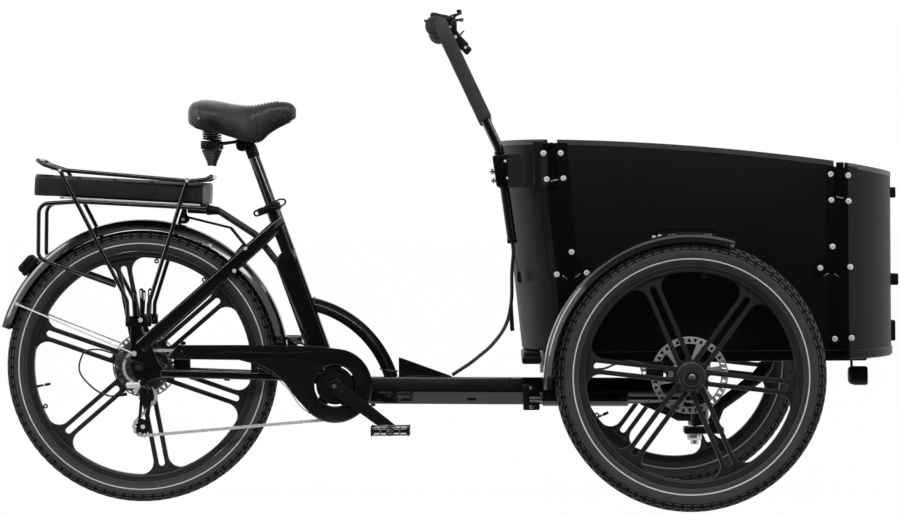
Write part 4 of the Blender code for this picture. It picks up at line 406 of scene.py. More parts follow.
class Shape:
    def __init__(self, finish):
        self.points, self.faces, self.finishOf, self.used = [], [], [], []
        self.use(finish)

    def use(self, finish):
        if finish not in self.used:
            self.used.append(finish)
        self.now = self.used.index(finish)
        return self

    def add(self, points, faces):
        start = len(self.points)
        self.points += [tuple(point) for point in points]
        self.faces += [[start + index for index in face] for face in faces]
        self.finishOf += [self.now] * len(faces)
        return self

    def mesh(self, mesh, matrix):
        return self.add([matrix @ vertex.co for vertex in mesh.vertices],
                [list(face.vertices) for face in mesh.polygons])

    def rings(self, rings, closed=False):
        count, rows = len(rings[0]), len(rings)
        faces = []
        for row in range(rows if closed else rows - 1):
            low, high = row * count, ((row + 1) % rows) * count
            for i in range(count):
                after = (i + 1) % count
                faces.append((low + i, low + after, high + after, high + i))
        if not closed:
            faces += [list(reversed(range(count))), [(rows - 1) * count + i for i in range(count)]]
        return self.add([point for ring in rings for point in ring], faces)

    # a section carried along a route; upright keeps its second axis as near to Z as it can
    def sweep(self, route, section, scales=None, closed=False, upright=False, crown=0.0):
        route = [Vector(point) for point in route]
        scales = list(scales) if scales else [1.0] * len(route)
        if crown and not closed:
            ends = [(route[0] - route[1]).normalized(), (route[-1] - route[-2]).normalized()]
            reach = max(abs(value) for value in section[0]) or 1.0
            route = [route[0], route[0] - ends[0] * crown] + route[1:-1] + [route[-1] - ends[1] * crown,
                    route[-1]]
            tuck = max(0.2, 1 - crown / reach)
            scales = [scales[0] * tuck] + scales + [scales[-1] * tuck]
        rings, frameUp = [], None
        for index, point in enumerate(route):
            before = route[index - 1] if index or closed else point
            after = route[(index + 1) % len(route)] if index + 1 < len(route) or closed else point
            along = (after - before).normalized()
            if upright or frameUp is None:
                frameUp = Vector((0, 0, 1)) if abs(along.z) < 0.95 else Vector((1, 0, 0))
            across = along.cross(frameUp).normalized()
            frameUp = across.cross(along).normalized()
            scale = scales[index]
            rings.append([point + across * x * scale + frameUp * y * scale for x, y in section])
        return self.rings(rings, closed)

    def tube(self, route, radius, sides, **options):
        return self.sweep(route, roundSection(radius, sides), **options)

    # (radius, offset) points turned about an axis; a radius of 0 makes a pole
    def turned(self, profile, centre, axis=(0, -1, 0), steps=48, loop=False, turn=0.0):
        axis = Vector(axis).normalized()
        first = axis.orthogonal().normalized()
        second = axis.cross(first)
        points, rows = [], []
        for radius, offset in profile:
            if radius < 1e-6:
                rows.append([len(points)] * steps)
                points.append(Vector(centre) + axis * offset)
                continue
            rows.append(list(range(len(points), len(points) + steps)))
            for step in range(steps):
                angle = 2 * math.pi * step / steps + turn
                spoke = first * math.cos(angle) + second * math.sin(angle)
                points.append(Vector(centre) + axis * offset + spoke * radius)
        faces = []
        for low, high in list(zip(rows, rows[1:])) + ([(rows[-1], rows[0])] if loop else []):
            for i in range(steps):
                face = [low[i], low[(i + 1) % steps], high[(i + 1) % steps], high[i]]
                faces.append(sorted(set(face), key=face.index))
        if not loop:
            faces += [list(row) for row in (rows[0], rows[-1]) if len(set(row)) > 2]
        return self.add(points, faces)

    def rod(self, start, end, radius, endRadius=None, edge=0.0006, steps=32):
        start, end = Vector(start), Vector(end)
        length = (end - start).length
        other = radius if endRadius is None else endRadius
        edge = min(edge, radius * 0.4, other * 0.4, length * 0.3)
        return self.turned([(0, 0), (radius - edge, 0), (radius, edge), (other, length - edge),
                (other - edge, length), (0, length)],
                start, end - start, steps)

    # a rod along Y between two sides
    def pin(self, ahead, height, side, otherSide, radius, *more, **options):
        return self.rod(at(ahead, side, height), at(ahead, otherSide, height), radius, *more, **options)

    def block(self, size, centre, turn=0.0, edge=0.001, matrix=None):
        cage = bmesh.new()
        bmesh.ops.create_cube(cage, size=1.0)
        bmesh.ops.scale(cage, vec=size, verts=cage.verts)
        bmesh.ops.bevel(cage, geom=cage.edges[:], offset=edge, segments=2, profile=0.5, affect="EDGES")
        mesh = bpy.data.meshes.new("block")
        cage.to_mesh(mesh)
        cage.free()
        rotation = matrix or Matrix.Rotation(math.radians(turn), 4, "Y")
        return self.mesh(mesh, Matrix.Translation(Vector(centre)) @ rotation)

    # a flat outline with its holes, thickened along Y
    def plate(self, outlines, low, high, edge):
        curve = bpy.data.curves.new("plate", "CURVE")
        curve.dimensions, curve.fill_mode = "2D", "BOTH"
        thickness = abs(high - low)
        edge = min(edge, thickness * 0.4)
        curve.extrude, curve.offset = thickness / 2 - edge, -edge
        curve.bevel_depth, curve.bevel_resolution = edge, 1
        for outline in outlines:
            spline = curve.splines.new("POLY")
            spline.points.add(len(outline) - 1)
            for index, (first, second) in enumerate(outline):
                spline.points[index].co = (first - originAhead, second, 0, 1)
            spline.use_cyclic_u = True
        holder = bpy.data.objects.new("plate", curve)
        studio.objects.link(holder)
        mesh = flattened(holder)
        upright = Matrix.Rotation(math.pi / 2, 4, "X")
        return self.mesh(mesh, Matrix.Translation((0, (low + high) / 2, 0)) @ upright)

    # an unplaced object for a Geometry Nodes tree to copy
    def pattern(self):
        mesh = bpy.data.meshes.new("pattern")
        mesh.from_pydata(self.points, [], self.faces)
        cage = bmesh.new()
        cage.from_mesh(mesh)
        bmesh.ops.recalc_face_normals(cage, faces=cage.faces)
        cage.to_mesh(mesh)
        cage.free()
        holder = bpy.data.objects.new("pattern", mesh)
        studio.objects.link(holder)
        return holder

    # the finished piece, riding on its body
    def put(self, name, body, replaces=(), sharp=33.0):
        mesh = bpy.data.meshes.new(name)
        mesh.from_pydata(self.points, [], self.faces)
        for finish in self.used:
            mesh.materials.append(finishes[finish])
        mesh.polygons.foreach_set("material_index", self.finishOf)
        return settle(mesh, name, body, slots[self.used[0]], replaces, sharp)


# the plain mesh that an object's curve or modifiers give; the object is removed
def flattened(holder):
    bpy.context.view_layer.update()
    graph = bpy.context.evaluated_depsgraph_get()
    mesh = bpy.data.meshes.new_from_object(holder.evaluated_get(graph))
    cage = bmesh.new()
    cage.from_mesh(mesh)
    bmesh.ops.remove_doubles(cage, verts=cage.verts, dist=0.000002)
    cage.to_mesh(mesh)
    cage.free()
    bpy.data.objects.remove(holder, do_unlink=True)
    return mesh


def settle(mesh, name, body, slot, replaces=(), sharp=33.0):
    cage = bmesh.new()
    cage.from_mesh(mesh)
    bmesh.ops.recalc_face_normals(cage, faces=cage.faces)
    cage.to_mesh(mesh)
    cage.free()
    mesh.shade_smooth()
    mesh.set_sharp_from_angle(angle=math.radians(sharp))
    piece = bpy.data.objects.new(name, mesh)
    studio.objects.link(piece)
    if body:
        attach(piece, body)
    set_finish(piece, slot)
    if replaces:
        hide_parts(*([replaces] if isinstance(replaces, str) else replaces))
    return piece


bodyOf = {node: body for body, nodes in frame["record"]["behaviour"]["bodies"].items() for node in nodes}
refinedSettings = {"edge": 0.0008, "sharp": 33.0, "flat": math.radians(0.4), "weld": 0.000005}


# a CAD node's shape with its edges softened, in place of the node
def refined(node, finish):
    mesh = frame["nodes"][node].data.copy()
    mesh.materials.clear()
    cage = bmesh.new()
    cage.from_mesh(mesh)
    bmesh.ops.remove_doubles(cage, verts=cage.verts, dist=refinedSettings["weld"])
    bmesh.ops.dissolve_limit(cage, angle_limit=refinedSettings["flat"], verts=cage.verts, edges=cage.edges)
    cage.to_mesh(mesh)
    cage.free()
    holder = bpy.data.objects.new(node, mesh)
    studio.objects.link(holder)
    bevel = holder.modifiers.new("edge", "BEVEL")
    bevel.width, bevel.segments = refinedSettings["edge"], 2
    bevel.limit_method, bevel.angle_limit = "ANGLE", math.radians(refinedSettings["sharp"])
    mesh = flattened(holder)
    mesh.materials.append(finishes[finish])
    return settle(mesh, node + ".fine", bodyOf[node], slots[finish], node, refinedSettings["sharp"])


# Repeated things: Geometry Nodes trees with named inputs


class Growth(Maker):
    def __init__(self, name, inputs):
        self.tree = bpy.data.node_groups.new(name, "GeometryNodeTree")
        sockets = self.tree.interface
        sockets.new_socket("Geometry", in_out="OUTPUT", socket_type="NodeSocketGeometry")
        for key, kind in {"Geometry": "Geometry", **inputs}.items():
            sockets.new_socket(key, in_out="INPUT", socket_type="NodeSocket" + kind)
        self.entry = self.tree.nodes.new("NodeGroupInput")
        self.exit = self.tree.nodes.new("NodeGroupOutput")

    def __getitem__(self, key):
        return Wire(self, self.entry.outputs[key])

    # realized, given its finish and led out
    def end(self, geometry):
        real = self.node("GeometryNodeRealizeInstances", None, {0: geometry})
        self.feed(self.exit.inputs[0], self.node("GeometryNodeSetMaterial", None,
                {"Geometry": real, "Material": self["Finish"]}))

    def patternOf(self, key):
        return self.node("GeometryNodeObjectInfo", None, {"Object": self[key]}, output=4)

    # the result for these inputs, as a piece on a body
    def grow(self, name, body, base, **values):
        holder = bpy.data.objects.new(name, base)
        studio.objects.link(holder)
        growth = holder.modifiers.new("growth", "NODES")
        growth.node_group = self.tree
        finish = values["Finish"]
        values["Finish"] = finishes[finish]
        patterns = []
        for key, value in values.items():
            if isinstance(value, Shape):
                value = value.pattern()
                patterns.append(value)
            entries = (item for item in self.tree.interface.items_tree if item.in_out == "INPUT")
            growth[next(item.identifier for item in entries if item.name == key)] = value
        mesh = flattened(holder)
        for pattern in patterns:
            bpy.data.objects.remove(pattern, do_unlink=True)
        if not mesh.materials:
            mesh.materials.append(finishes[finish])
        return settle(mesh, name, body, slots[finish])


# copies of a pattern round an axis along Y; the pattern's X points outwards
def makeRingGrowth():
    growth = Growth("ringOfPatterns", {"Count": "Int", "Phase": "Float", "Centre": "Vector",
            "Pattern": "Object", "Unevenness": "Float",
            "Seed": "Int", "Finish": "Material"})
    row = growth.node("GeometryNodeMeshLine", None, {"Count": growth["Count"], "Offset": (0, 0, 0)})
    index = growth.node("GeometryNodeInputIndex")
    angle = growth["Phase"] - index * 2 * math.pi * growth.node("ShaderNodeMath", {"operation": "DIVIDE"},
            {0: 1.0, 1: growth["Count"]})
    chance = growth.node("FunctionNodeRandomValue", {"data_type": "FLOAT"},
            {2: -0.5, 3: 0.5, "Seed": growth["Seed"]}, output=1)
    turn = growth.node("ShaderNodeCombineXYZ", None, {"Y": angle + chance * growth["Unevenness"]})
    copies = growth.node("GeometryNodeInstanceOnPoints", None,
            {"Points": row, "Instance": growth.patternOf("Pattern"), "Rotation": turn})
    growth.end(growth.node("GeometryNodeTranslateInstances", None,
            {"Instances": copies, "Translation": growth["Centre"], "Local Space": False}))
    return growth


# a pattern at each point of a mesh, turned by the point's own angles and then by chance about its own Z
def makeSpreadGrowth():
    growth = Growth("spreadOfPatterns", {"Pattern": "Object", "Spin": "Float", "Seed": "Int",
            "Finish": "Material"})
    turn = growth.node("GeometryNodeInputNamedAttribute", {"data_type": "FLOAT_VECTOR"}, {"Name": "turn"})
    copies = growth.node("GeometryNodeInstanceOnPoints", None, {
        "Points": growth["Geometry"], "Instance": growth.patternOf("Pattern"), "Rotation": turn})
    chance = growth.node("FunctionNodeRandomValue", {"data_type": "FLOAT"},
            {2: -0.5, 3: 0.5, "Seed": growth["Seed"]}, output=1)
    spin = growth.node("ShaderNodeCombineXYZ", None, {"Z": chance * growth["Spin"]})
    growth.end(growth.node("GeometryNodeRotateInstances", None, {"Instances": copies, "Rotation": spin}))
    return growth


# two patterns by turns along a route, X forward
def makeRouteGrowth():
    growth = Growth("patternsAlongRoute", {"Count": "Int", "Even pattern": "Object", "Odd pattern": "Object",
            "Finish": "Material"})
    points = growth.node("GeometryNodeResampleCurve", None, {"Curve": growth["Geometry"],
            "Count": growth["Count"]})
    tangent = growth.node("GeometryNodeInputTangent")
    turn = growth.node("FunctionNodeAlignRotationToVector", {"axis": "X"}, {"Vector": tangent})
    odd = growth.node("ShaderNodeMath", {"operation": "MODULO"},
            {0: growth.node("GeometryNodeInputIndex"), 1: 2.0})
    ways = [growth.node("GeometryNodeInstanceOnPoints", None, {
        "Points": points, "Selection": choice, "Instance": growth.patternOf(key), "Rotation": turn})
        for key, choice in (("Odd pattern", odd), ("Even pattern", 1 - odd))]
    joined = growth.tree.nodes.new("GeometryNodeJoinGeometry")
    for way in ways:
        growth.tree.links.new(way.socket, joined.inputs[0])
    growth.end(Wire(growth, joined.outputs[0]))
    return growth


ringGrowth, spreadGrowth, routeGrowth = makeRingGrowth(), makeSpreadGrowth(), makeRouteGrowth()


# a mesh of bare points, each with the direction its pattern's Z takes
def spots(places):
    mesh = bpy.data.meshes.new("spots")
    mesh.from_pydata([tuple(place) for place, _ in places], [], [])
    turns = mesh.attributes.new("turn", "FLOAT_VECTOR", "POINT")
    for index, (_, facing) in enumerate(places):
        turns.data[index].vector = Vector(facing).to_track_quat("Z", "Y").to_euler()
    return mesh


def routeCurve(points, closed=False):
    curve = bpy.data.curves.new("route", "CURVE")
    curve.dimensions = "3D"
    spline = curve.splines.new("POLY")
    spline.points.add(len(points) - 1)
    for index, point in enumerate(points):
        spline.points[index].co = (*point, 1)
    spline.use_cyclic_u = closed
    return curve


# button-head screw with a hexagonal socket, standing on Z
def screwPattern(radius, height):
    shape = Shape("steel")
    rows = [(radius, -0.0006), (radius, height * 0.35), (radius * 0.86, height * 0.8),
            (radius * 0.55, height)]
    socket = radius * 0.42
    return shape.turned(rows + [(socket, height), (socket * 0.96, height * 0.35)], (0, 0, 0), (0, 0, 1), 12)


# Wheels

wheelSettings = {
    "rear": {"centre": rearHub, "tyre": 0.3335, "bead": 0.28, "width": 0.054, "rimInner": 0.264,
        "spokeTurn": 40.5,
        "hub": 0.062, "slotStart": 0.078, "disc": 0.08, "stripe": 0.299, "discFinish": "rearDisc",
        "body": "rear_wheel",
        # hub motor: two domed covers with screws
        "hubProfile": mm((7.8, -37.5), (22, -37.5), (24, -34.5), (52, -33.5), (62.5, -30), (66, -26.2),
        (67, -20), (65.5, -18.5), (65.5, -15), (67, -13.5), (67, 30), (65, 36.5), (58, 41.5), (30, 45),
        (24, 47), (24, 54), (22.5, 55.2), (7.8, 55.2)),
        "hubSteps": 72, "discBoltSide": 0.0552},
    "front": {"centre": at(frontAxle[0], -halfTrack, frontAxle[1]), "tyre": 0.318, "bead": 0.259,
        "width": 0.058, "rimInner": 0.242, "spokeTurn": 53.2,
        "hub": 0.026, "slotStart": 0.04, "disc": 0.09, "stripe": 0.273, "discFinish": "frontDisc",
        "body": "front_wheel_right",
        # hub shell with a stepped cap and an axle bolt; the axle stub passes up its bore
        "hubProfile": mm((7.8, 52), (24, 52), (26, 50), (26, 44), (30, 41), (30, 10), (36.5, 6), (36.5, -14),
        (35, -19), (30, -22), (30, -40), (28.5, -43), (23.5, -44.5), (22, -49.5), (19, -52.8), (12.5, -53.8),
        (12, -50), (0, -50)),
        "hubSteps": 56, "discBoltSide": 0.053},
    "rimHalf": 0.0165, "spokeHalf": 0.0185, "slotHalf": 0.0075, "flare": 0.03, "spokeThick": 0.014,
        "treadBlocks": 84, "blockHeight": 0.0044,
    # the tyre's outline and the rim's: share of the rise, share of the half width
    "tyreOutline": ((0, 0.56), (0.04, 0.64), (0.1, 0.71), (0.12, 0.75), (0.22, 0.87), (0.36, 0.965),
        (0.5, 1.0), (0.64, 0.985), (0.78, 0.9), (0.88, 0.74), (0.95, 0.52), (0.99, 0.26), (1.0, 0.0)),
    "rimOutline": ((0.0, 0.6), (0.06, 0.72), (0.34, 0.84), (0.4, 0.8), (0.52, 0.82), (0.6, 0.93), (0.9, 1.0),
        (1.0, 0.96), (1.0, 0.84), (0.72, 0.8)),
    # tread rows: name, first and last place on the outline, share filled, phase in blocks, slant
    "treadRows": (("shoulder", 0.6, 0.735, 0.66, 0.5, 0.0), ("edge", 0.765, 0.865, 0.55, 0.0, 0.25),
        ("crown", 0.895, 0.985, 0.62, 0.45, -0.3)),
    # shares of the tyre's rise: raised lines above the bead, and the start, step and count of the ring
    # painted darker as shade between the tread blocks
    "beadLines": (0.22, 0.27), "casing": (0.585, 0.0138, 31), "stripeHalf": 0.0014,
    # small things in the rim: eyelets' directions, the valve's angle from the first spoke
    "eyelets": (82.0, 54.0, 202.0), "valve": 150, "spokes": 6,
    # the disc: how far its cut-outs stand from the rim, their half angles, its arms and hole
    "cutOuts": (0.0125, 0.0035), "cutAngles": (3.4, 0.6), "armInset": 0.0165, "armHub": 0.03,
        "discSide": 0.052, "discHalf": 0.001,
    "discBolts": 0.0205, "motorBolts": (0.0575, -0.0318),
}


# half of the tyre's outline from the bead up to the crown, before the blocks
def tyreHalf(wheel):
    bead, crown = wheel["bead"] + 0.0004, wheel["tyre"] - wheelSettings["blockHeight"]
    half = wheel["width"] / 2
    rise = crown - bead
    return [(bead + rise * up, half * out) for up, out in wheelSettings["tyreOutline"]]


# where the tyre's surface is at a share of its rise, and which way it faces there
def tyreSpot(wheel, share):
    half = tyreHalf(wheel)
    place = share * (len(half) - 1)
    index = min(int(place), len(half) - 2)
    start, end = Vector(half[index]), Vector(half[index + 1])
    along = (end - start).normalized()
    return start.lerp(end, place - index), Vector((-along.y, along.x)) * -1


# a tread block in the plane through the axis: from one place of the outline to another
def blockPattern(wheel, low, high, hand, span, slant):
    shape = Shape("rubber")
    rings = []
    for along, drop in ((-0.5, 0.0006), (-0.44, 0.0), (0.44, 0.0), (0.5, 0.0006)):
        ring = []
        for share, out in ((low, -0.001), (low, 1.0), ((low + high) / 2, 1.0), (high, 1.0), (high, -0.001)):
            place, outward = tyreSpot(wheel, share)
            lift = wheelSettings["blockHeight"] - 0.0002 - drop if out > 0 else -0.0012
            radius = min(place.x + outward.x * lift, wheel["tyre"] - 0.0002)
            shift = slant * (share - low) / (high - low) * span
            ring.append((radius, hand * (place.y + outward.y * lift), along * span + shift))
        rings.append(ring)
    return shape.rings(rings)


def makeTyre(name, wheel):
    body, centre, half = wheel["body"], wheel["centre"], tyreHalf(wheel)
    shape = Shape("rubber")
    outline = [(r, -o) for r, o in half] + [(r, o) for r, o in reversed(half[:-1])]
    shape.turned(outline, centre, (0, 1, 0), 144, loop=True)
    for hand in (-1, 1):
        for share in wheelSettings["beadLines"]:
            place, outward = tyreSpot(wheel, share)
            shape.turned([(place.x - 0.0008, hand * (place.y - 0.0006)),
                    (place.x, hand * (place.y + 0.0005)),
                    (place.x + 0.0008, hand * (place.y - 0.0002))], centre, (0, 1, 0), 96, loop=True)
        shape.use("stripe")
        start = next(i for i, point in enumerate(half) if point[0] > wheel["stripe"])
        low, high = Vector(half[start - 1]), Vector(half[start])
        slope = (high.y - low.y) / (high.x - low.x)
        side = low.y + (wheel["stripe"] - low.x) * slope
        wide = wheelSettings["stripeHalf"]
        rows = [(-wide, -0.0006), (-wide, 0.0003), (0.0, 0.0007), (wide, 0.0003), (wide, -0.0006)]
        shape.turned([(wheel["stripe"] + r, hand * (side + r * slope + o)) for r, o in rows], centre,
                (0, 1, 0), 144, loop=True)
        # the rubber between the tread blocks is painted darker: painted shade in the grooves
        shape.use("groove")
        first, step, count = wheelSettings["casing"]
        grooveShadeRing = [tyreSpot(wheel, first + step * index) for index in range(count)]
        raised = [(place + outward * 0.0004, place - outward * 0.0006) for place, outward in grooveShadeRing]
        rows = [top for top, under in raised] + [under for top, under in reversed(raised)]
        shape.turned([(row.x, hand * row.y) for row in rows], centre, (0, 1, 0), 96, loop=True)
        shape.use("rubber")
    pieces = [shape.put(name + ".tyre", body, name)]
    count = wheelSettings["treadBlocks"]
    span = 2 * math.pi * wheel["tyre"] / count
    for hand in (-1, 1):
        side = "right" if hand < 0 else "left"
        for row, low, high, fill, phase, slant in wheelSettings["treadRows"]:
            pieces.append(ringGrowth.grow(
                "%s.%s.%s" % (name, row, side), body, spots([]), Count=count,
                Phase=(phase + (0.25 if hand > 0 else 0)) * 2 * math.pi / count, Centre=centre,
                Pattern=blockPattern(wheel, low, high, hand, span * fill, slant), Unevenness=0.004, Seed=3,
                    Finish="rubber"))
    return pieces


def spokePattern(wheel):
    settings = wheelSettings
    inner, half, flare = wheel["rimInner"], settings["spokeHalf"], settings["flare"]
    middle = Vector((math.sqrt((inner - flare) ** 2 - (half + flare) ** 2), half + flare))
    stop = math.degrees(math.atan2(middle.y, middle.x))
    curve = arc(middle.x, middle.y, flare, -90, stop, 8)
    reach = math.degrees(math.atan2(curve[-1][1], curve[-1][0]))
    rim = arc(0, 0, inner + 0.003, reach, -reach, 8)
    mirrored, root = [(x, -y) for x, y in reversed(curve)], wheel["hub"] * 0.85
    outline = [(root, half)] + curve + rim + mirrored + [(root, -half)]
    slot = settings["slotHalf"]
    ends = inner - 0.016 - slot, wheel["slotStart"] + slot
    hole = arc(ends[0], 0, slot, -90, 90, 8) + arc(ends[1], 0, slot, 90, 270, 8)
    thick = settings["spokeThick"] / 2
    shape = Shape("alloy")
    shape.plate([[(originAhead + x, y) for x, y in loop] for loop in (outline, hole)], -thick, thick, 0.0022)
    return shape


def makeWheel(name, wheel):
    settings = wheelSettings
    body, centre = wheel["body"], wheel["centre"]
    outer, inner, half = wheel["bead"], wheel["rimInner"], settings["rimHalf"]
    depth = outer - inner
    shape = Shape("alloy")
    side = settings["rimOutline"]
    rim = [(inner + depth * up, -half * out) for up, out in side]
    rim += [(inner + depth * up, half * out) for up, out in reversed(side)]
    shape.turned(rim, centre, (0, 1, 0), 144, loop=True)
    front = wheel["body"] != "rear_wheel"
    shape.turned(wheel["hubProfile"], centre, (0, 1, 0), wheel["hubSteps"])
    for angle in settings["eyelets"]:
        out = heading(angle)
        eye, across = centre + out * (inner - 0.0065), out.cross(Vector((0, 1, 0)))
        ring = [eye + (out * math.cos(t) + across * math.sin(t)) * 0.0042 for t in fullTurn(14)]
        shape.tube(ring, 0.002, 8, closed=True)
        shape.block((0.0055, 0.004, 0.004), centre + out * (inner - 0.001), -angle, 0.0008)
    spoke = wheel["spokeTurn"]
    out = heading(spoke + settings["valve"])
    shape.use("rubber").rod(centre + out * (inner + 0.002), centre + out * (inner - 0.016), 0.0034, 0.0028,
            steps=16)
    shape.use("steel").rod(centre + out * (inner - 0.016), centre + out * (inner - 0.03), 0.0026, steps=16)
    shape.use("plastic").rod(centre + out * (inner - 0.021), centre + out * (inner - 0.034), 0.0038, 0.003,
            steps=16)
    if front:
        shape.use("steel").turned(mm((0, -53.5), (5.2, -53.5), (8.5, -52), (9.2, -50), (9.2, -49), (0, -49)),
                centre, (0, 1, 0), 6)
    pieces = [shape.put(name + ".rim", body, name)]
    pieces.append(ringGrowth.grow(name + ".spokes", body, spots([]), Count=settings["spokes"],
            Phase=-math.radians(spoke), Centre=centre,
            Pattern=spokePattern(wheel), Unevenness=0.0, Seed=1, Finish="alloy"))
    # disc: a thin ring with triangular cut-outs, carried on six arms
    disc = wheel["disc"]
    middle = (originAhead + centre.x, centre.z)
    loops = [arc(*middle, disc, 0, 357.5, 143)]
    for step in range(36):
        turn = step * 10
        low, high = (disc - inset for inset in settings["cutOuts"][::1 if step % 2 else -1])
        wide, narrow = settings["cutAngles"]
        loops.append([(middle[0] + r * math.cos(math.radians(a)), middle[1] + r * math.sin(math.radians(a)))
                for r, a in ((low, turn - wide), (low, turn + wide), (high, turn + narrow),
                (high, turn - narrow))])
    for arm in range(6):
        turn = arm * 60 + 12
        outside = arc(*middle, disc - settings["armInset"], turn + 5, turn + 55, 10)
        loops.append(outside + arc(*middle, settings["armHub"], turn + 49, turn + 17, 5))
    offset = centre.y + settings["discSide"]
    plate = Shape(wheel["discFinish"])
    plate.plate(loops, offset - settings["discHalf"], offset + settings["discHalf"], 0.0003)
    pieces.append(plate.put(name + ".disc", body))
    bolt = screwPattern(0.0042, 0.0022)
    side = Vector((0, wheel["discBoltSide"], 0))
    away = settings["discBolts"]
    bolts = [(centre + heading(60 * step + 30) * away + side, (0, 1, 0)) for step in range(6)]
    if not front:
        reach, across = settings["motorBolts"]
        side = Vector((0, across, 0))
        bolts += [(centre + heading(36 * step) * reach + side, (0, -1, 0)) for step in range(10)]
    pieces.append(spreadGrowth.grow(name + ".bolts", body, spots(bolts), Pattern=bolt, Spin=6.0, Seed=4,
            Finish="steel"))
    return pieces


# the left-hand twin of a right-hand piece
def twin(piece, body, replaces=()):
    mesh = piece.data.copy()
    mesh.transform(Matrix.Scale(-1, 4, (0, 1, 0)))
    name = piece.name.replace("right", "twin").replace("left", "right").replace("twin", "left")
    return settle(mesh, name, body, piece["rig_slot"], replaces)


rearPieces = makeWheel("rear_wheel", wheelSettings["rear"]) + makeTyre("rear_tyre", wheelSettings["rear"])
frontPieces = makeWheel("front_wheel_right", wheelSettings["front"])
frontPieces += makeTyre("front_tyre_right", wheelSettings["front"])
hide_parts("rear_wheel")
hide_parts("front_wheel_right")
for piece in frontPieces:
    kind = {"front_wheel_right.rim": "front_wheel_left",
            "front_tyre_right.tyre": "front_tyre_left"}.get(piece.name, ())
    twin(piece, "front_wheel_left", kind)
print("wheels made")


# Cargo box, and the line of the handlebar's legs that its brackets hold

barSettings = {"radius": 0.011, "side": 0.205, "foot": (0.902, 0.628), "lean": math.tan(math.radians(7.7)),
        "topHalf": 0.262, "topAhead": 0.735, "topHeight": 1.149, "sleeve": 0.0165, "grip": 0.1}


def legAhead(height):
    ahead, foot = barSettings["foot"]
    return ahead - (height - foot) * barSettings["lean"]


boxSettings = {
    "half": 0.3, "bottom": 0.3723, "top": 0.8715, "thick": 0.009, "sideRear": 1.008, "sideFront": 1.654,
    "rear": (0.98, 0.107, -1, math.tan(math.radians(5.8))), "front": (1.683, 0.134, 1, 0.0),
        "trimHeight": 0.011,
    "boltRadius": 0.0068, "boltHeight": 0.003,
    "rearBolts": mm((976, 839), (1016, 839), (983, 778), (1022, 780), (1040, 607), (1005, 555), (1075, 558)),
    "frontBolts": mm((1647, 784), (1687, 781), (1648, 724), (1688, 721), (1650, 615), (1621, 565),
        (1691, 567), (1654, 399), (1693, 401)),
}


def boxTop(ahead):
    return boxSettings["top"] - (ahead - 0.87) ** 2 / 10.8


# a sheet bent to a panel's arc: grow is how far it stands out of the panel, low and high may follow the rim
def bentSheet(shape, panel, side, grow, thick, low, high, edge=0.0012, count=56):
    ahead, bulge, hand, lean = panel
    full = boxSettings["half"]
    radius = (full ** 2 + bulge ** 2) / (2 * bulge)
    starts, ends = (math.asin(max(-1, min(1, value / radius))) for value in side)
    rings = []
    for step in range(count + 1):
        angle = starts + (ends - starts) * step / count
        ring = []
        for depth, upper, inset in ((grow, 0, 1), (grow, 1, 1), (grow - edge, 1, 0),
                (grow - thick + edge, 1, 0), (grow - thick, 1, 1),
                (grow - thick, 0, 1), (grow - thick + edge, 0, 0), (grow - edge, 0, 0)):
            place = ahead + hand * ((radius + depth) * math.cos(angle) - (radius - bulge))
            rim = (low, high)[upper]
            level = rim(place) if callable(rim) else rim
            level += edge * inset * (1 - 2 * upper)
            ring.append(at(place + (boxSettings["top"] - level) * lean, (radius + depth) * math.sin(angle),
                    level))
        rings.append(ring)
    return shape.rings(rings)


# a sheet standing on a bent line of (ahead, side) points, thickened to its left
def standingSheet(shape, points, low, high, lean, thick):
    rings = []
    for index, point in enumerate(points):
        before, after = Vector(points[max(index - 1, 0)]), Vector(points[min(index + 1, len(points) - 1)])
        along = (after - before).normalized()
        outward = Vector((-along.y, along.x)) * thick
        ring = []
        for share, level in ((0, low), (0, high), (1, high), (1, low)):
            shift = (boxSettings["top"] - level) * lean
            ring.append(at(point[0] + outward.x * share + shift, point[1] + outward.y * share, level))
        rings.append(ring)
    return shape.rings(rings)


def boltsAt(name, places, radius=None, height=None):
    pattern = screwPattern(radius or boxSettings["boltRadius"], height or boxSettings["boltHeight"])
    return spreadGrowth.grow(name, "carriage", spots(places), Pattern=pattern, Spin=6.0, Seed=5,
            Finish="zinc")


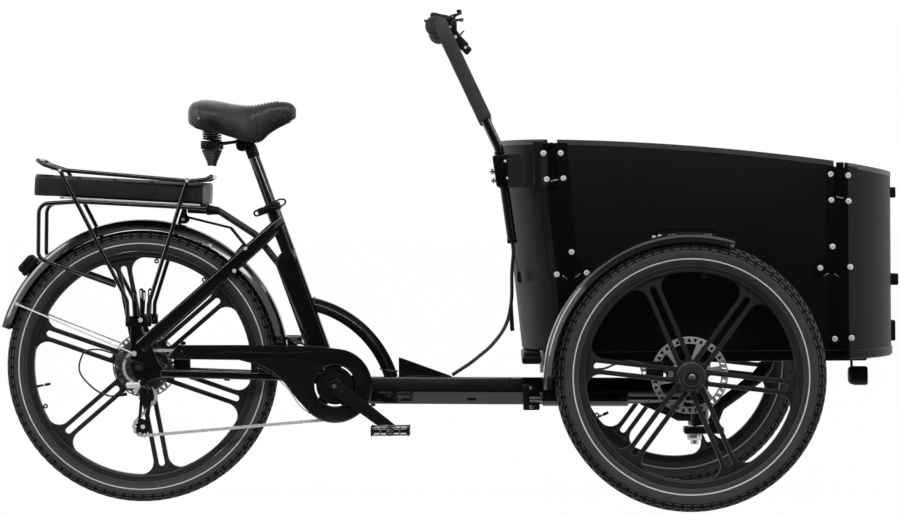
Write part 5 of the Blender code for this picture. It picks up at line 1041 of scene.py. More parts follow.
def makeBox():
    settings = boxSettings
    half, thick, bottom = settings["half"], settings["thick"], settings["bottom"]
    lean = settings["rear"][3]
    side = Shape("panel")
    rearLow = settings["sideRear"] + (settings["top"] - bottom) * lean
    steps = 24
    sideFront, sideRear = settings["sideFront"], settings["sideRear"]
    rim = [sideFront + (sideRear - sideFront) * step / steps for step in range(steps + 1)]
    edge = [(ahead, boxTop(ahead)) for ahead in rim]
    side.plate([[(rearLow, bottom), (sideFront, bottom)] + edge], -half, -half + thick, 0.001)
    # a strip along the top edge in the paler finish: a painted highlight where the edge catches light from
    # above
    side.use("trim")
    tall = settings["trimHeight"]
    trim = ((-0.0008, -tall), (-0.0008, 0.0002), (0.0004, 0.0012), (thick - 0.0004, 0.0012),
            (thick + 0.0008, 0.0002), (thick + 0.0008, -tall), (thick - 0.001, -tall - 0.0004),
            (0.001, -tall - 0.0004))
    side.rings([[at(ahead, -half + out, level + up) for out, up in trim] for ahead, level in edge])
    right = side.put("side_panel_right.sheet", "carriage", "side_panel_right")
    twin(right, "carriage", "side_panel_left")

    for name, panel in (("rear_panel", settings["rear"]), ("front_panel", settings["front"])):
        shape = Shape("panel")
        bentSheet(shape, panel, (-0.298, 0.298), 0.0, thick, bottom, boxTop)
        # the same pale strip along the top edge: a painted highlight
        shape.use("trim")
        bentSheet(shape, panel, (-0.2965, 0.2965), 0.0008, thick + 0.0016,
                lambda ahead: boxTop(ahead) - settings["trimHeight"],
                lambda ahead: boxTop(ahead) + 0.0012)
        if name == "front_panel":
            nose = panel[0] + panel[1]
            shape.use("plastic")
            for size, ahead, level in (((0.016, 0.05, 0.026), nose + 0.005, 0.7405),
                    ((0.02, 0.06, 0.028), 1.825, 0.5305),
                    ((0.014, 0.044, 0.05), nose + 0.004, 0.4065)):
                shape.block(size, at(ahead, 0, level), 0, 0.003)
        shape.put(name + ".sheet", "carriage", name)

    # corner plates: two thin sheets one over the other, a latch channel and button-head bolts
    face = -half - 0.0003
    rear = Shape("sheet")
    rear.plate([mm((999.5, 863), (1031, 863), (1047, 632), (1050, 597), (1064, 576), (1088, 571),
            (1089, 545), (1061, 543), (1048, 556), (1036, 557), (1026, 544), (1010, 542), (1006, 600))],
            face - 0.0022, face - 0.0002, 0.0004)
    rear.plate([[(1.0, 0.56), (1.078, 0.56), (1.085, bottom), (1.018, bottom)]], face - 0.0012,
            face - 0.0002, 0.0004)
    standingSheet(rear, [(0.97, face + 0.005), (0.986, face + 0.0006), (1.004, face + 0.0002),
            (1.024, face + 0.0002)], bottom, 0.56, lean, -0.0016)
    panel = settings["rear"]
    bentSheet(rear, panel, (-0.298, -0.264), 0.0024, 0.002, 0.543, lambda ahead: boxTop(ahead) - 0.004,
            0.0004, 10)
    bentSheet(rear, panel, (-0.298, -0.27), 0.0014, 0.0012, bottom, 0.56, 0.0003, 10)
    standingSheet(rear, [(0.972, face + 0.0045), (0.986, face), (0.999, face - 0.0002)], 0.543, 0.86, lean,
            -0.002)
    for offset in (-0.0082, 0.0062):  # the latch channel's lips and back
        rear.block((0.0022, 0.007, 0.088), at(0.996 + offset, face - 0.004, 0.82),
                math.degrees(math.atan(-lean)), 0.0006)
    rear.block((0.015, 0.0016, 0.09), at(0.9952, face - 0.001, 0.819), math.degrees(math.atan(-lean)),
            0.0005)
    rear.use("steel").block((0.018, 0.006, 0.003), at(1.001, face - 0.0042, 0.7745), -12, 0.0008)
    rear.block((0.014, 0.002, 0.003), at(1.024, face - 0.003, 0.5475), 32, 0.0006)
    rear.block((0.014, 0.002, 0.003), at(1.054, face - 0.003, 0.552), -40, 0.0006)
    # sheet bracket with pressed folds, back to the housing on the handlebar's leg
    rear.use("sheet")
    start, end = Vector((0.986, face - 0.0032)), Vector((0.894, -0.223))
    away = Vector((-(end - start).y, (end - start).x)).normalized()
    folds = [(1.0 - 0.1 * step, (0.0026, -0.0018)[step % 2]) for step in range(1, 6)]
    folds = [(1.0, 0.0)] + folds + [(0.4, 0.0), (0.0, 0.0)]
    line = [(1.005, face - 0.0026)]
    line += [tuple(end.lerp(start, share) - away * depth) for share, depth in folds]
    standingSheet(rear, line, 0.763, 0.838, 0.0, 0.003)
    standingSheet(rear, line, 0.76, 0.7635, 0.0, 0.006)
    axisAhead = legAhead(0.8005)
    rear.block((0.037, 0.037, 0.075), at(axisAhead, -0.205, 0.8005), -7.7, 0.0045)
    rear.block((0.002, 0.0375, 0.065), at(axisAhead - 0.006, -0.205, 0.8005), -7.7, 0.0008)
    rear.use("steel")
    for level in (0.777, 0.799):
        centre = at(axisAhead - 0.0185 - (level - 0.8005) * 0.135, -0.205, level)
        rear.rod(centre, centre - Vector((0.011, 0, 0)), 0.0042, 0.0038, steps=20)
        rear.rod(centre - Vector((0.004, 0, 0)), centre - Vector((0.0075, 0, 0)), 0.0066, steps=6)
    piece = rear.put("rear_corner_right.plates", "carriage", "rear_corner_right")
    twin(piece, "carriage", "rear_corner_left")
    places = [(at(ahead, -half - (0.0064 if ahead < 0.99 else 0.0024), level), (0, -1, 0))
            for ahead, level in settings["rearBolts"]]
    places += [(at(axisAhead + 0.0105 - (level - 0.8) * 0.135, -0.2236, level), (0, -1, 0))
            for level in (0.782, 0.822)]
    bolts = [boltsAt("rear_corner_right.bolts", places[:7]),
            boltsAt("rear_corner_right.screws", places[7:], radius=0.0036, height=0.0022)]

    front = Shape("sheet")
    front.plate([mm((1640, 801), (1678, 798), (1678, 560), (1664, 544), (1652, 554), (1640, 555),
            (1629, 544), (1608, 546), (1608, 576), (1633, 582), (1640, 600))], face - 0.0022, face - 0.0002,
            0.0004)
    front.plate([[(1.643, bottom), (1.678, bottom), (1.678, 0.558), (1.643, 0.558)]], face - 0.0012,
            face - 0.0002, 0.0004)
    standingSheet(front, [(1.674, face - 0.0004), (1.683, face + 0.0004), (1.688, -0.299), (1.692, -0.295)],
            bottom, 0.8, 0.0, 0.0016)
    panel = settings["front"]
    bentSheet(front, panel, (-0.298, -0.2735), 0.0024, 0.002, 0.543, lambda ahead: boxTop(ahead) - 0.006,
            0.0004, 10)
    bentSheet(front, panel, (-0.298, -0.2765), 0.0014, 0.0012, bottom, 0.56, 0.0003, 10)
    for offset in (-0.0075, 0.0075):
        front.block((0.0022, 0.007, 0.08), at(1.668 + offset, face - 0.004, 0.772), 0, 0.0006)
    front.block((0.015, 0.0016, 0.082), at(1.668, face - 0.001, 0.771), 0, 0.0005)
    front.use("steel").block((0.017, 0.006, 0.003), at(1.668, face - 0.0042, 0.729), 10, 0.0008)
    front.block((0.013, 0.002, 0.003), at(1.658, face - 0.003, 0.548), 38, 0.0006)
    front.block((0.013, 0.002, 0.003), at(1.634, face - 0.003, 0.549), -36, 0.0006)
    piece = front.put("front_corner_right.plates", "carriage", "front_corner_right")
    twin(piece, "carriage", "front_corner_left")
    places = [(at(ahead, -half - 0.0024, level), (0, -1, 0)) for ahead, level in settings["frontBolts"]]
    bolts.append(boltsAt("front_corner_right.bolts", places))
    for piece in bolts:
        twin(piece, "carriage")
    nuts = Shape("steel").turned(mm((0, -0.5), (7, -0.5), (7.4, 0.4), (6.2, 1), (5.6, 1.2), (5.2, 4.6),
            (3, 6.4), (0, 6.8)), (0, 0, 0), (0, 0, 1), 12)
    places = [(at(ahead, -half + thick, level), (0, 1, 0))
            for ahead, level in settings["rearBolts"] + settings["frontBolts"] if 1.011 < ahead < 1.655]
    twin(spreadGrowth.grow("side_panel_right.nuts", "carriage", spots(places), Pattern=nuts, Spin=0.5,
            Seed=2, Finish="steel"), "carriage")


makeBox()

# glossy sill under the front panel
sill = Shape("sheet")
bentSheet(sill, boxSettings["front"], (-0.296, 0.296), 0.003, 0.016, 0.35, boxSettings["bottom"] + 0.001,
        0.0035)
sill.put("frontSill", "carriage")
print("box made")


# Handlebar, sleeves and controls


def makeBar():
    settings = barSettings
    right = [at(0.902, -settings["side"], 0.628), at(legAhead(0.855), -settings["side"], 0.855),
            at(settings["topAhead"], -settings["topHalf"], settings["topHeight"])]
    corners = right + [Vector((p.x, -p.y, p.z)) for p in reversed(right)]
    shape = Shape("paint")
    shape.tube(bent(corners, 0.045, 12), settings["radius"], 28, crown=0.001)
    top, ahead = settings["topHeight"], settings["topAhead"]

    # a place near the top bar: ahead of its axis, sideways and above it
    def near(forward, side, up):
        return at(ahead + forward, side, top + up)

    shape.use("satin")
    for hand in (-1, 1):
        grip = hand * settings["grip"]
        shape.pin(ahead, top, grip - 0.009, grip + 0.009, 0.0152, edge=0.0015)
        route = placed([(ahead + 0.006, grip, top + 0.008), (ahead + 0.018, grip, top + 0.015),
                (ahead + 0.0345, grip, top + 0.025)])
        shape.sweep(eased(route, 4), boxSection(0.0135, 0.015, 0.004), upright=True,
                scales=[1.0] * 5 + [0.92, 0.85, 0.76, 0.66], crown=0.002)
        shape.use("steel").pin(ahead + 0.0289, top + 0.0217, grip - 0.0088, grip + 0.0088, 0.0026, steps=16)
        shape.rod(near(-0.015, grip, -0.005), near(-0.0182, grip, -0.0062), 0.0028, steps=16)
        shape.use("satin").rod(near(0.01, grip + hand * -0.006, 0.0125),
                near(0.006, grip + hand * -0.026, 0.018), 0.0042, 0.0034, steps=20)
    # thumb shifter under the right grip, bell on the left, display in the middle
    shape.use("plastic")
    shape.pin(ahead, top, -0.066, -0.08, 0.0148, edge=0.0012)
    shape.block((0.034, 0.026, 0.014), near(-0.008, -0.07, 0.0165), 14, 0.005)
    shape.sweep(eased(placed([(ahead - 0.022, -0.074, top + 0.012), (ahead - 0.032, -0.086, top + 0.01),
            (ahead - 0.036, -0.106, top + 0.013)]), 5),
            boxSection(0.01, 0.005, 0.002), upright=True, crown=0.001)
    shape.pin(ahead, top, 0.066, 0.076, 0.014, edge=0.0012)
    shape.use("steel").turned(mm((0, 0.5), (16.5, 0), (17.8, 2), (16.8, 8), (12, 12.5), (6, 14.6), (0, 15)),
            near(-0.001, 0.071, 0.014), (0, 0, 1), 32)
    shape.use("plastic").block((0.02, 0.024, 0.018), near(0, 0, 0.012), 0, 0.003)
    shape.block((0.047, 0.066, 0.014), near(-0.004, 0, 0.026), 12, 0.005)
    shape.use("clear").block((0.034, 0.046, 0.002), near(-0.004, 0, 0.026) + Vector((0.0014, 0, 0.0068)), 12,
            0.0008)
    for side in (-0.028, 0.028):
        shape.use("plastic").rod(near(-0.012, side, 0.033), near(-0.0116, side, 0.0355), 0.0028, steps=16)
    # a shim ring where each leg goes into its housing, and an end cap
    for hand in (-1, 1):
        for level in (0.8405, 0.7605):
            shape.use("plastic").rod(at(legAhead(level), hand * settings["side"], level),
                    at(legAhead(level + 0.004), hand * settings["side"], level + 0.004),
                    0.0132, steps=28)
        shape.rod(at(0.902, hand * settings["side"], 0.6278),
                at(legAhead(0.638), hand * settings["side"], 0.638), 0.0122, edge=0.0015, steps=28)
    shape.put("handlebar.hoop", "handlebar", "handlebar")

    below, corner = right[1:]
    inner = Vector((corner.x, -settings["grip"] - 0.016, corner.z))
    sleeve = Shape("foam")
    route = bent([below.lerp(corner, 0.23), corner, inner], 0.045, 14)
    fine = []
    for a, b in zip(route, route[1:]):
        pieces = max(1, round((b - a).length / 0.008))
        fine += [a.lerp(b, step / pieces) for step in range(pieces)]
    fine.append(route[-1])
    waves = [1 + 0.012 * math.sin(index * 0.9) * math.sin(index * 0.23) for index in range(len(fine))]
    sleeve.sweep(fine, roundSection(settings["sleeve"], 28), scales=waves, crown=0.0025)
    piece = sleeve.put("bar_sleeve_right.foam", "handlebar", "bar_sleeve_right", 60)
    twin(piece, "handlebar", "bar_sleeve_left")
    ends = Shape("plastic")
    for point, toward in ((fine[0], fine[1]), (fine[-1], fine[-2])):
        ends.rod(point - (toward - point).normalized() * 0.002,
                point + (toward - point).normalized() * 0.0025, 0.015, steps=28)
    twin(ends.put("bar_sleeve_right.rings", "handlebar"), "handlebar")

    lever = Shape("satin")
    hinge = near(0.0289, -settings["grip"], 0.0217)
    root = hinge + Vector((0.0055, -0.0083, 0.003))
    route = eased([root, root + Vector((0.0, -0.008, 0.0)), hinge + Vector((0.0181, -0.036, 0.0063)),
            hinge + Vector((0.015, -0.062, 0.0075)),
            hinge + Vector((0.0141, -0.085, 0.0073)), hinge + Vector((0.0161, -0.1125, 0.0073))], 6)
    scales = [1.15 - 0.35 * min(1, index / 16) + 0.45 * max(0, (index - 26) / 4)
            for index in range(len(route))]
    lever.sweep(route, boxSection(0.0095, 0.0058, 0.0025), scales=scales, upright=True, crown=0.001)
    piece = lever.put("brake_lever_right.blade", "brake_lever_right", "brake_lever_right")
    twin(piece, "brake_lever_left", "brake_lever_left")


makeBar()
print("handlebar made")

# palm rests at the ends of the top bar, and the gear lever's housing in front of the bar
palmSettings = {"ahead": 0.7232, "side": -0.164, "height": 1.1435, "lean": (0.756, 1.148),
        "housing": (0.769, 1.124), "tip": (0.793, 1.0985), "housingSide": -0.05}


def makePalmRests(settings):
    rest = Shape("foam")
    rest.turned(mm((0, -69), (11.2, -69), (11.8, -68), (13.8, -68), (14.4, -68.8), (16.4, -68.4),
            (17, -67.2), (19, -67.2), (21.4, -65.5), (23.6, -59), (24, -30), (22.8, 0), (20.4, 35), (17, 56),
            (11, 64), (0, 65)),
            at(settings["ahead"], settings["side"], settings["height"]), (0, 1, 0), 48)
    twin(rest.put("palmRest_right", "handlebar"), "handlebar")
    side = settings["housingSide"]
    housing = Shape("plastic")
    lean, middle, tip = (at(settings[key][0], side, settings[key][1]) for key in ("lean", "housing", "tip"))
    housing.sweep(eased([lean, middle, tip], 5), boxSection(0.023, 0.024, 0.0045), upright=True, crown=0.002)
    housing.pin(0.735, 1.149, side - 0.008, side + 0.008, 0.015, edge=0.0012)
    housing.block((0.027, 0.026, 0.033), at(0.759, side, 1.15), 0, 0.006)
    housing.block((0.016, 0.018, 0.02), tip + Vector((0.004, 0, -0.006)), 40, 0.004)
    housing.use("satin").rod(middle + Vector((0.011, 0, 0.006)), middle + Vector((0.021, -0.004, 0.015)),
            0.0022, 0.0016, steps=16)
    for point, radius in ((middle, 0.0042), (tip, 0.0034), (lean, 0.003)):
        housing.use("zinc").rod(point + Vector((0, -0.0105, 0)), point + Vector((0, -0.0138, 0)), radius,
                steps=20, edge=0.0006)
    housing.put("gearLeverHousing", "handlebar")


makePalmRests(palmSettings)
print("palm rests made")


# Frame: six-sided main tube, curved brace, bottom bracket and steering head

frameSettings = {
    "stations": ((0.483, 0.2385, 1.0), (0.62, 0.2368, 1.0), (0.93, 0.233, 1.0), (1.2, 0.233, 0.95),
        (1.331, 0.2374, 0.84)),
    "width": 0.05, "height": 0.066, "flat": 0.6, "soft": 0.0032,
    "braceCentre": (0.3562, 0.2283), "braceRadius": 0.259, "braceSize": 0.033,
}


# a flat outline with every corner softened, each by the same number of points
def softened(corners, reach, steps=4):
    outline, count = [], len(corners)
    for index in range(count):
        before, corner, after = (Vector(corners[(index + shift) % count]) for shift in (-1, 0, 1))
        start = corner + (before - corner).normalized() * reach
        end = corner + (after - corner).normalized() * reach
        shares = [step / steps for step in range(steps + 1)]
        outline += [start * (1 - t) ** 2 + corner * 2 * t * (1 - t) + end * t ** 2 for t in shares]
    return outline


def sixSided(half, low, high, flat, soft):
    crease = (low + high) / 2
    corners = ((-flat * half, low), (flat * half, low), (half, crease), (flat * half, high),
            (-flat * half, high), (-half, crease))
    return softened(corners, soft)


# a weld: a rippled bead round a joint
def bead(shape, route, radius=0.0022):
    ripples = [1.0 + 0.18 * math.sin(index * 2.3) for index in range(len(route))]
    shape.tube(route, radius, 8, scales=ripples, closed=True)


def roundJoint(centre, first, second, steps=44):
    return [centre + first * math.cos(angle) + second * math.sin(angle) for angle in fullTurn(steps)]


def makeFrame(settings):
    shape = Shape("paint")
    rings = []
    for ahead, bottom, share in settings["stations"]:
        section = sixSided(settings["width"] / 2 * share, bottom, bottom + settings["height"] * share,
                settings["flat"], settings["soft"])
        rings.append([at(ahead, side, height) for side, height in section])
    shape.rings(rings)
    centre, radius, size = settings["braceCentre"], settings["braceRadius"], settings["braceSize"]
    section = sixSided(size / 2, -size / 2, size / 2, 0.28, 0.0034)
    shape.sweep([at(ahead, 0, height) for ahead, height in arc(*centre, radius, 79.5, 16, 40)], section,
            upright=False)
    for angle, stretch in ((76.2, 1.06), (20.5, 1.12)):
        out = heading(angle)
        tilt = Vector((-out.z, 0, out.x)) * (0.1 if angle > 50 else -0.55)
        bead(shape, roundJoint(at(*centre[:1], 0, centre[1]) + out * radius,
                (out + tilt) * size / 2 * stretch, Vector((0, size / 2 * 1.04, 0))))
    shape.plate([mm((623.5, 295), (623.5, 350), (634, 347), (752, 303.5), (752, 295))], -0.011, 0.011,
            0.0012)
    shape.plate([mm((1200, 250), (1335, 250), (1335, 190), (1300, 190), (1275, 203), (1210, 230))], -0.01,
            0.01, 0.0012)
    for hand in (-1, 1):
        bead(shape, [at(0.64 + 0.108 * step / 20, hand * 0.0112, 0.3035) for step in range(21)] + [
            at(0.748 - 0.108 * step / 20, hand * 0.0122, 0.303) for step in range(21)], 0.0013)
    shell = mm((9.2, -34), (21.5, -34), (23, -32.5), (23, -24), (22.2, -23.2), (22.2, 23.2), (23, 24),
            (23, 32.5), (21.5, 34), (9.2, 34))
    shape.turned(shell, crankHub, loop=True, steps=64)
    head = mm((10.8, 0), (24.8, 0), (26, 1.2), (26, 10), (24.5, 11.5), (24.5, 126.5), (26, 128), (26, 136.8),
            (24.8, 138), (10.8, 138))
    shape.turned(head, at(1.351, 0, 0.18), (0, 0, 1), loop=True, steps=64)
    # cable clips along the lower facet, and the cap under the bracket shell
    for ahead in (0.566, 0.64, 0.8):
        shape.block((0.022, 0.005, 0.006), at(ahead, -0.0195, 0.2465), edge=0.0012)
    shape.rod(at(0.56, 0, 0.2385), at(0.56, 0, 0.231), 0.006, edge=0.001)
    return shape.put("mainFrame", "rear_frame", "main_frame")


# Seat tube, whose lower half widens into the controller's housing

seatSettings = {"lean": math.radians(19.4), "foot": crankAxle, "clamp": 0.457, "radius": 0.0175,
        "length": 0.468,
        "housing": (0.06, 0.343), "front": -0.0165, "rear": 0.0385, "half": 0.024}


# a point beside the seat tube: its distance up the tube, how far behind its axis, and sideways
def seatLine(distance, setback=0.0, side=0.0):
    lean, (ahead, height) = seatSettings["lean"], seatSettings["foot"]
    return at(ahead - distance * math.sin(lean) - setback * math.cos(lean), side,
            height + distance * math.cos(lean) - setback * math.sin(lean))


seatUp = (seatLine(1.0) - seatLine(0.0)).normalized()
seatBack = (seatLine(0.0, 1.0) - seatLine(0.0)).normalized()


def makeSeatTube(settings):
    radius, length = settings["radius"], settings["length"]
    shape = Shape("paint")
    outline = [(0, 0.02), (radius, 0.02), (radius, length - 0.001), (radius - 0.0007, length),
            (0.0141, length), (0.0141, 0.235), (0, 0.235)]
    shape.turned(outline, seatLine(0), seatUp, 64)
    low, high = settings["housing"]
    rings = []
    for step in range(21):
        share = step / 20
        distance = low + (high - low) * share
        lip = 0.0025 if step in (0, 20) else 0.0
        rear = settings["rear"] - 0.012 * max(0.0, (share - 0.93) / 0.07) ** 2 - lip
        chamfer = 0.017 - 0.012 * share
        front, half = settings["front"] + lip, settings["half"] - lip
        corners = ((front, -half + 0.006), (front, half - 0.006), (front + 0.006, half),
                (rear - chamfer, half), (rear, half - chamfer * 0.75),
                (rear, -half + chamfer * 0.75), (rear - chamfer, -half), (front + 0.006, -half))
        rings.append([seatLine(distance, setback, side) for setback, side in softened(corners, 0.0018, 3)])
    shape.rings(rings)
    bead(shape, roundJoint(seatLine(high + 0.001, 0.002), seatBack * 0.0195, Vector((0, 0.0185, 0))), 0.0016)
    # the cover's screws
    for hand in (-1, 1):
        for distance in (0.085, 0.29):
            shape.rod(seatLine(distance, 0.006, hand * 0.0235), seatLine(distance, 0.006, hand * 0.0253),
                    0.0042, edge=0.0008, steps=20)
    return shape.put("seatTube", "rear_frame", "seat_tube")


# Rear triangle: stays, bridge, chainstays with their dropouts, axle

staySettings = {
    "route": mm((343, 8, 683), (318, 19, 662), (290, 28.5, 636.8), (240, 40, 592.8), (130, 57.5, 496.2),
        (13.3, 73.5, 393.6), (6, 73.5, 387)),
    "section": mm((-3, -16.5), (3, -16.5), (7.7, -3), (7.7, 10.5), (4, 15), (-4, 15), (-7.7, 10.5),
        (-7.7, -3)),
    "lower": mm((460, 24, 298.5), (400, 33.5, 303.5), (345, 44.5, 306.5), (100, 68.5, 316.5),
        (50, 73.5, 318.5)),
    "dropout": mm((60, 310), (26, 304), (16, 291), (2, 291), (-16, 315), (-21, 345), (-21, 455), (6, 455),
        (6, 424), (18, 400), (30, 384), (46, 345), (60, 327)),
}


def makeStays(settings):
    shape = Shape("paint")
    for hand in (-1, 1):
        route = eased(placed(settings["route"], hand), 10)
        shape.sweep(route, softened(settings["section"], 0.0016, 3), upright=True, crown=0.002)
        shape.pin(0.0133, 0.3936, hand * 0.066, hand * 0.0695, 0.007, edge=0.001)
    shape.pin(0.256, 0.618, -0.0335, 0.0335, 0.006)
    shape.use("zinc").pin(0.256, 0.618, -0.033, -0.0462, 0.0042, steps=20, edge=0.0008)
    shape.pin(0.229, 0.564, -0.043, -0.052, 0.0046, steps=20, edge=0.0008)
    return shape.put("seatStays", "rear_frame", "seat_stays")


def makeChainstay(settings, hand):
    name = "right" if hand < 0 else "left"
    shape = Shape("paint")
    route = eased(placed(settings["lower"], hand), 12)
    shape.sweep(route, boxSection(0.014, 0.019, 0.0045, 4), upright=True, crown=0.0018)
    hole = roundHole(*rearAxle, 0.0073, 32)
    slots = [hole, roundHole(-0.0105, 0.44, 0.0032, 16), roundHole(-0.01, 0.367, 0.0032, 16)]
    low, high = sorted((hand * 0.0705, hand * 0.0765))
    shape.plate([softened(settings["dropout"], 0.0022, 3)] + slots, low, high, 0.0009)
    for ahead in (0.13, 0.21, 0.29):
        side = hand * (0.0665 - (ahead - 0.13) * 0.098 + 0.008)
        shape.rod(at(ahead - 0.007, side - hand * 0.006, 0.3058 - (ahead - 0.13) * 0.04),
                at(ahead + 0.007, side - hand * 0.006, 0.3052 - (ahead - 0.13) * 0.04), 0.0036, steps=16)
    shape.use("zinc").pin(-0.0105, 0.367, hand * 0.0758, hand * 0.0795, 0.004, steps=6, edge=0.0006)
    if hand > 0:
        shape.use("satin")
        for low, high in ((0.045, 0.0497), (0.0543, 0.067)):
            shape.block((0.04, high - low, 0.046), at(0.0905, (low + high) / 2, 0.34), edge=0.0025)
        shape.block((0.026, 0.01, 0.044), at(0.0975, 0.052, 0.34), edge=0.0015)
        shape.block((0.012, 0.006, 0.05), at(0.086, 0.069, 0.366), turn=18, edge=0.002)
        shape.use("zinc").pin(0.0905, 0.34, 0.066, 0.0705, 0.0065, steps=24, edge=0.0008)
        shape.pin(0.085, 0.38, 0.0715, 0.0745, 0.003, steps=6, edge=0.0004)
    return shape.put("chainstay." + name, "rear_frame", "chainstay_" + name)


def hexNut(shape, centre, axis, radius, height, bore=0.0, turn=0.0):
    rows = [(max(bore, 0.0), 0), (radius * 0.93, 0), (radius, height * 0.12), (radius, height * 0.8),
            (radius * 0.88, height), (max(bore, 0.0), height)]
    return shape.turned(rows, centre, axis, 6, loop=bore > 0, turn=turn)


def makeAxle():
    shape = Shape("gearSteel")
    shape.pin(0, 0.3335, -0.0905, 0.0905, 0.0068, edge=0.001)
    for hand in (-1, 1):
        shape.use("satin")
        centre = at(0, hand * 0.0768, 0.3335)
        shape.turned(mm((7, 0), (14, 0), (14, 1.2), (7, 1.2)), centre, (0, hand, 0), 48, loop=True)
        hexNut(shape, centre + Vector((0, hand * 0.0012, 0)), (0, hand, 0), 0.0125, 0.008, 0.0069, 0.3)
        for turn in range(7):
            shape.turned(mm((6.6, 0), (7.1, 0.4), (6.6, 0.8)),
                    centre + Vector((0, hand * (0.0096 + turn * 0.0005), 0)), (0, hand, 0), 32, loop=True)
    return shape.put("rearAxle", "rear_frame", "rear_axle")


# Seat clamp, its lever, and the seatpost


def makeSeatClamp():
    shape, clamp = Shape("satin"), seatSettings["clamp"]
    shape.turned(mm((17.8, 448), (20.5, 448), (21.2, 449.5), (21.2, 464.5), (20.5, 466), (17.8, 466)),
            seatLine(0), seatUp, 64, loop=True)
    for hand in (-1, 1):
        shape.block((0.014, 0.0068, 0.017), seatLine(clamp, 0.0255, hand * 0.0046),
                turn=-math.degrees(seatSettings["lean"]), edge=0.0016)
    shape.use("zinc").rod(seatLine(clamp, 0.0275, -0.017), seatLine(clamp, 0.0275, 0.011), 0.0032)
    hexNut(shape, seatLine(clamp, 0.0275, 0.0082), (0, 1, 0), 0.0062, 0.0052)
    eye = seatLine(clamp, 0.04, -0.0046)
    shape.use("satin").tube(roundJoint(eye, seatBack * 0.0062, seatUp * 0.0062, 32), 0.0024, 10, closed=True)
    shape.put("seatCollar", "rear_frame", "seat_collar")

    lever = Shape("satin")
    lever.turned(mm((0, -9), (7.2, -9), (8.2, -7.8), (8.2, 7.8), (7.2, 9), (0, 9)),
            seatLine(clamp, 0.0275, -0.0255), seatUp, 40)
    stem = eased([seatLine(clamp, 0.0275, -0.029), seatLine(0.458, 0.018, -0.0325),
            seatLine(0.46, 0.006, -0.033)], 8)
    lever.sweep(stem, boxSection(0.0034, 0.0085, 0.0014, 3), upright=True, crown=0.0008)
    loop = [seatLine(0.461 + 0.0078 * math.sin(t) * (1 - 0.35 * math.cos(t)),
            -0.016 + 0.0215 * math.cos(t), -0.0325) for t in fullTurn(40)]
    lever.tube(loop, 0.0022, 10, closed=True)
    lever.put("clampLever", "clamp_lever", "clamp_lever")

    post = Shape("paint")
    post.turned(mm((0, 318), (13, 318), (13.6, 318.8), (13.6, 611), (13, 612), (0, 612)), seatLine(0),
            seatUp, 64)
    for mark in range(5):
        post.turned(mm((13.3, 0), (13.75, 0.2), (13.3, 0.4)), seatLine(0.48 + mark * 0.01), seatUp, 48,
                loop=True)
    post.put("seatPost", "seatpost", "seatpost")


makeFrame(frameSettings)
makeSeatTube(seatSettings)
makeStays(staySettings)
makeChainstay(staySettings, -1)
makeChainstay(staySettings, 1)
makeAxle()
makeSeatClamp()
print("frame made")


# Rack, its legs, battery and dock

batteryTilt = 3.5
rackSettings = {
    "deck": mm((-244, 60, 836), (-228, 65, 825), (-189, 65, 812), (125, 65, 782), (164, 65, 786),
        (176, 60, 793)),
    "crossAhead": (-0.15, -0.06, 0.03, 0.11), "tube": 0.005, "cross": 0.0035, "legSide": 0.073,
        "loopSide": 0.0717,
    "slope": math.tan(math.radians(batteryTilt)),
}


def batteryBottom(ahead):
    return 0.751 - (ahead + 0.253) * rackSettings["slope"]


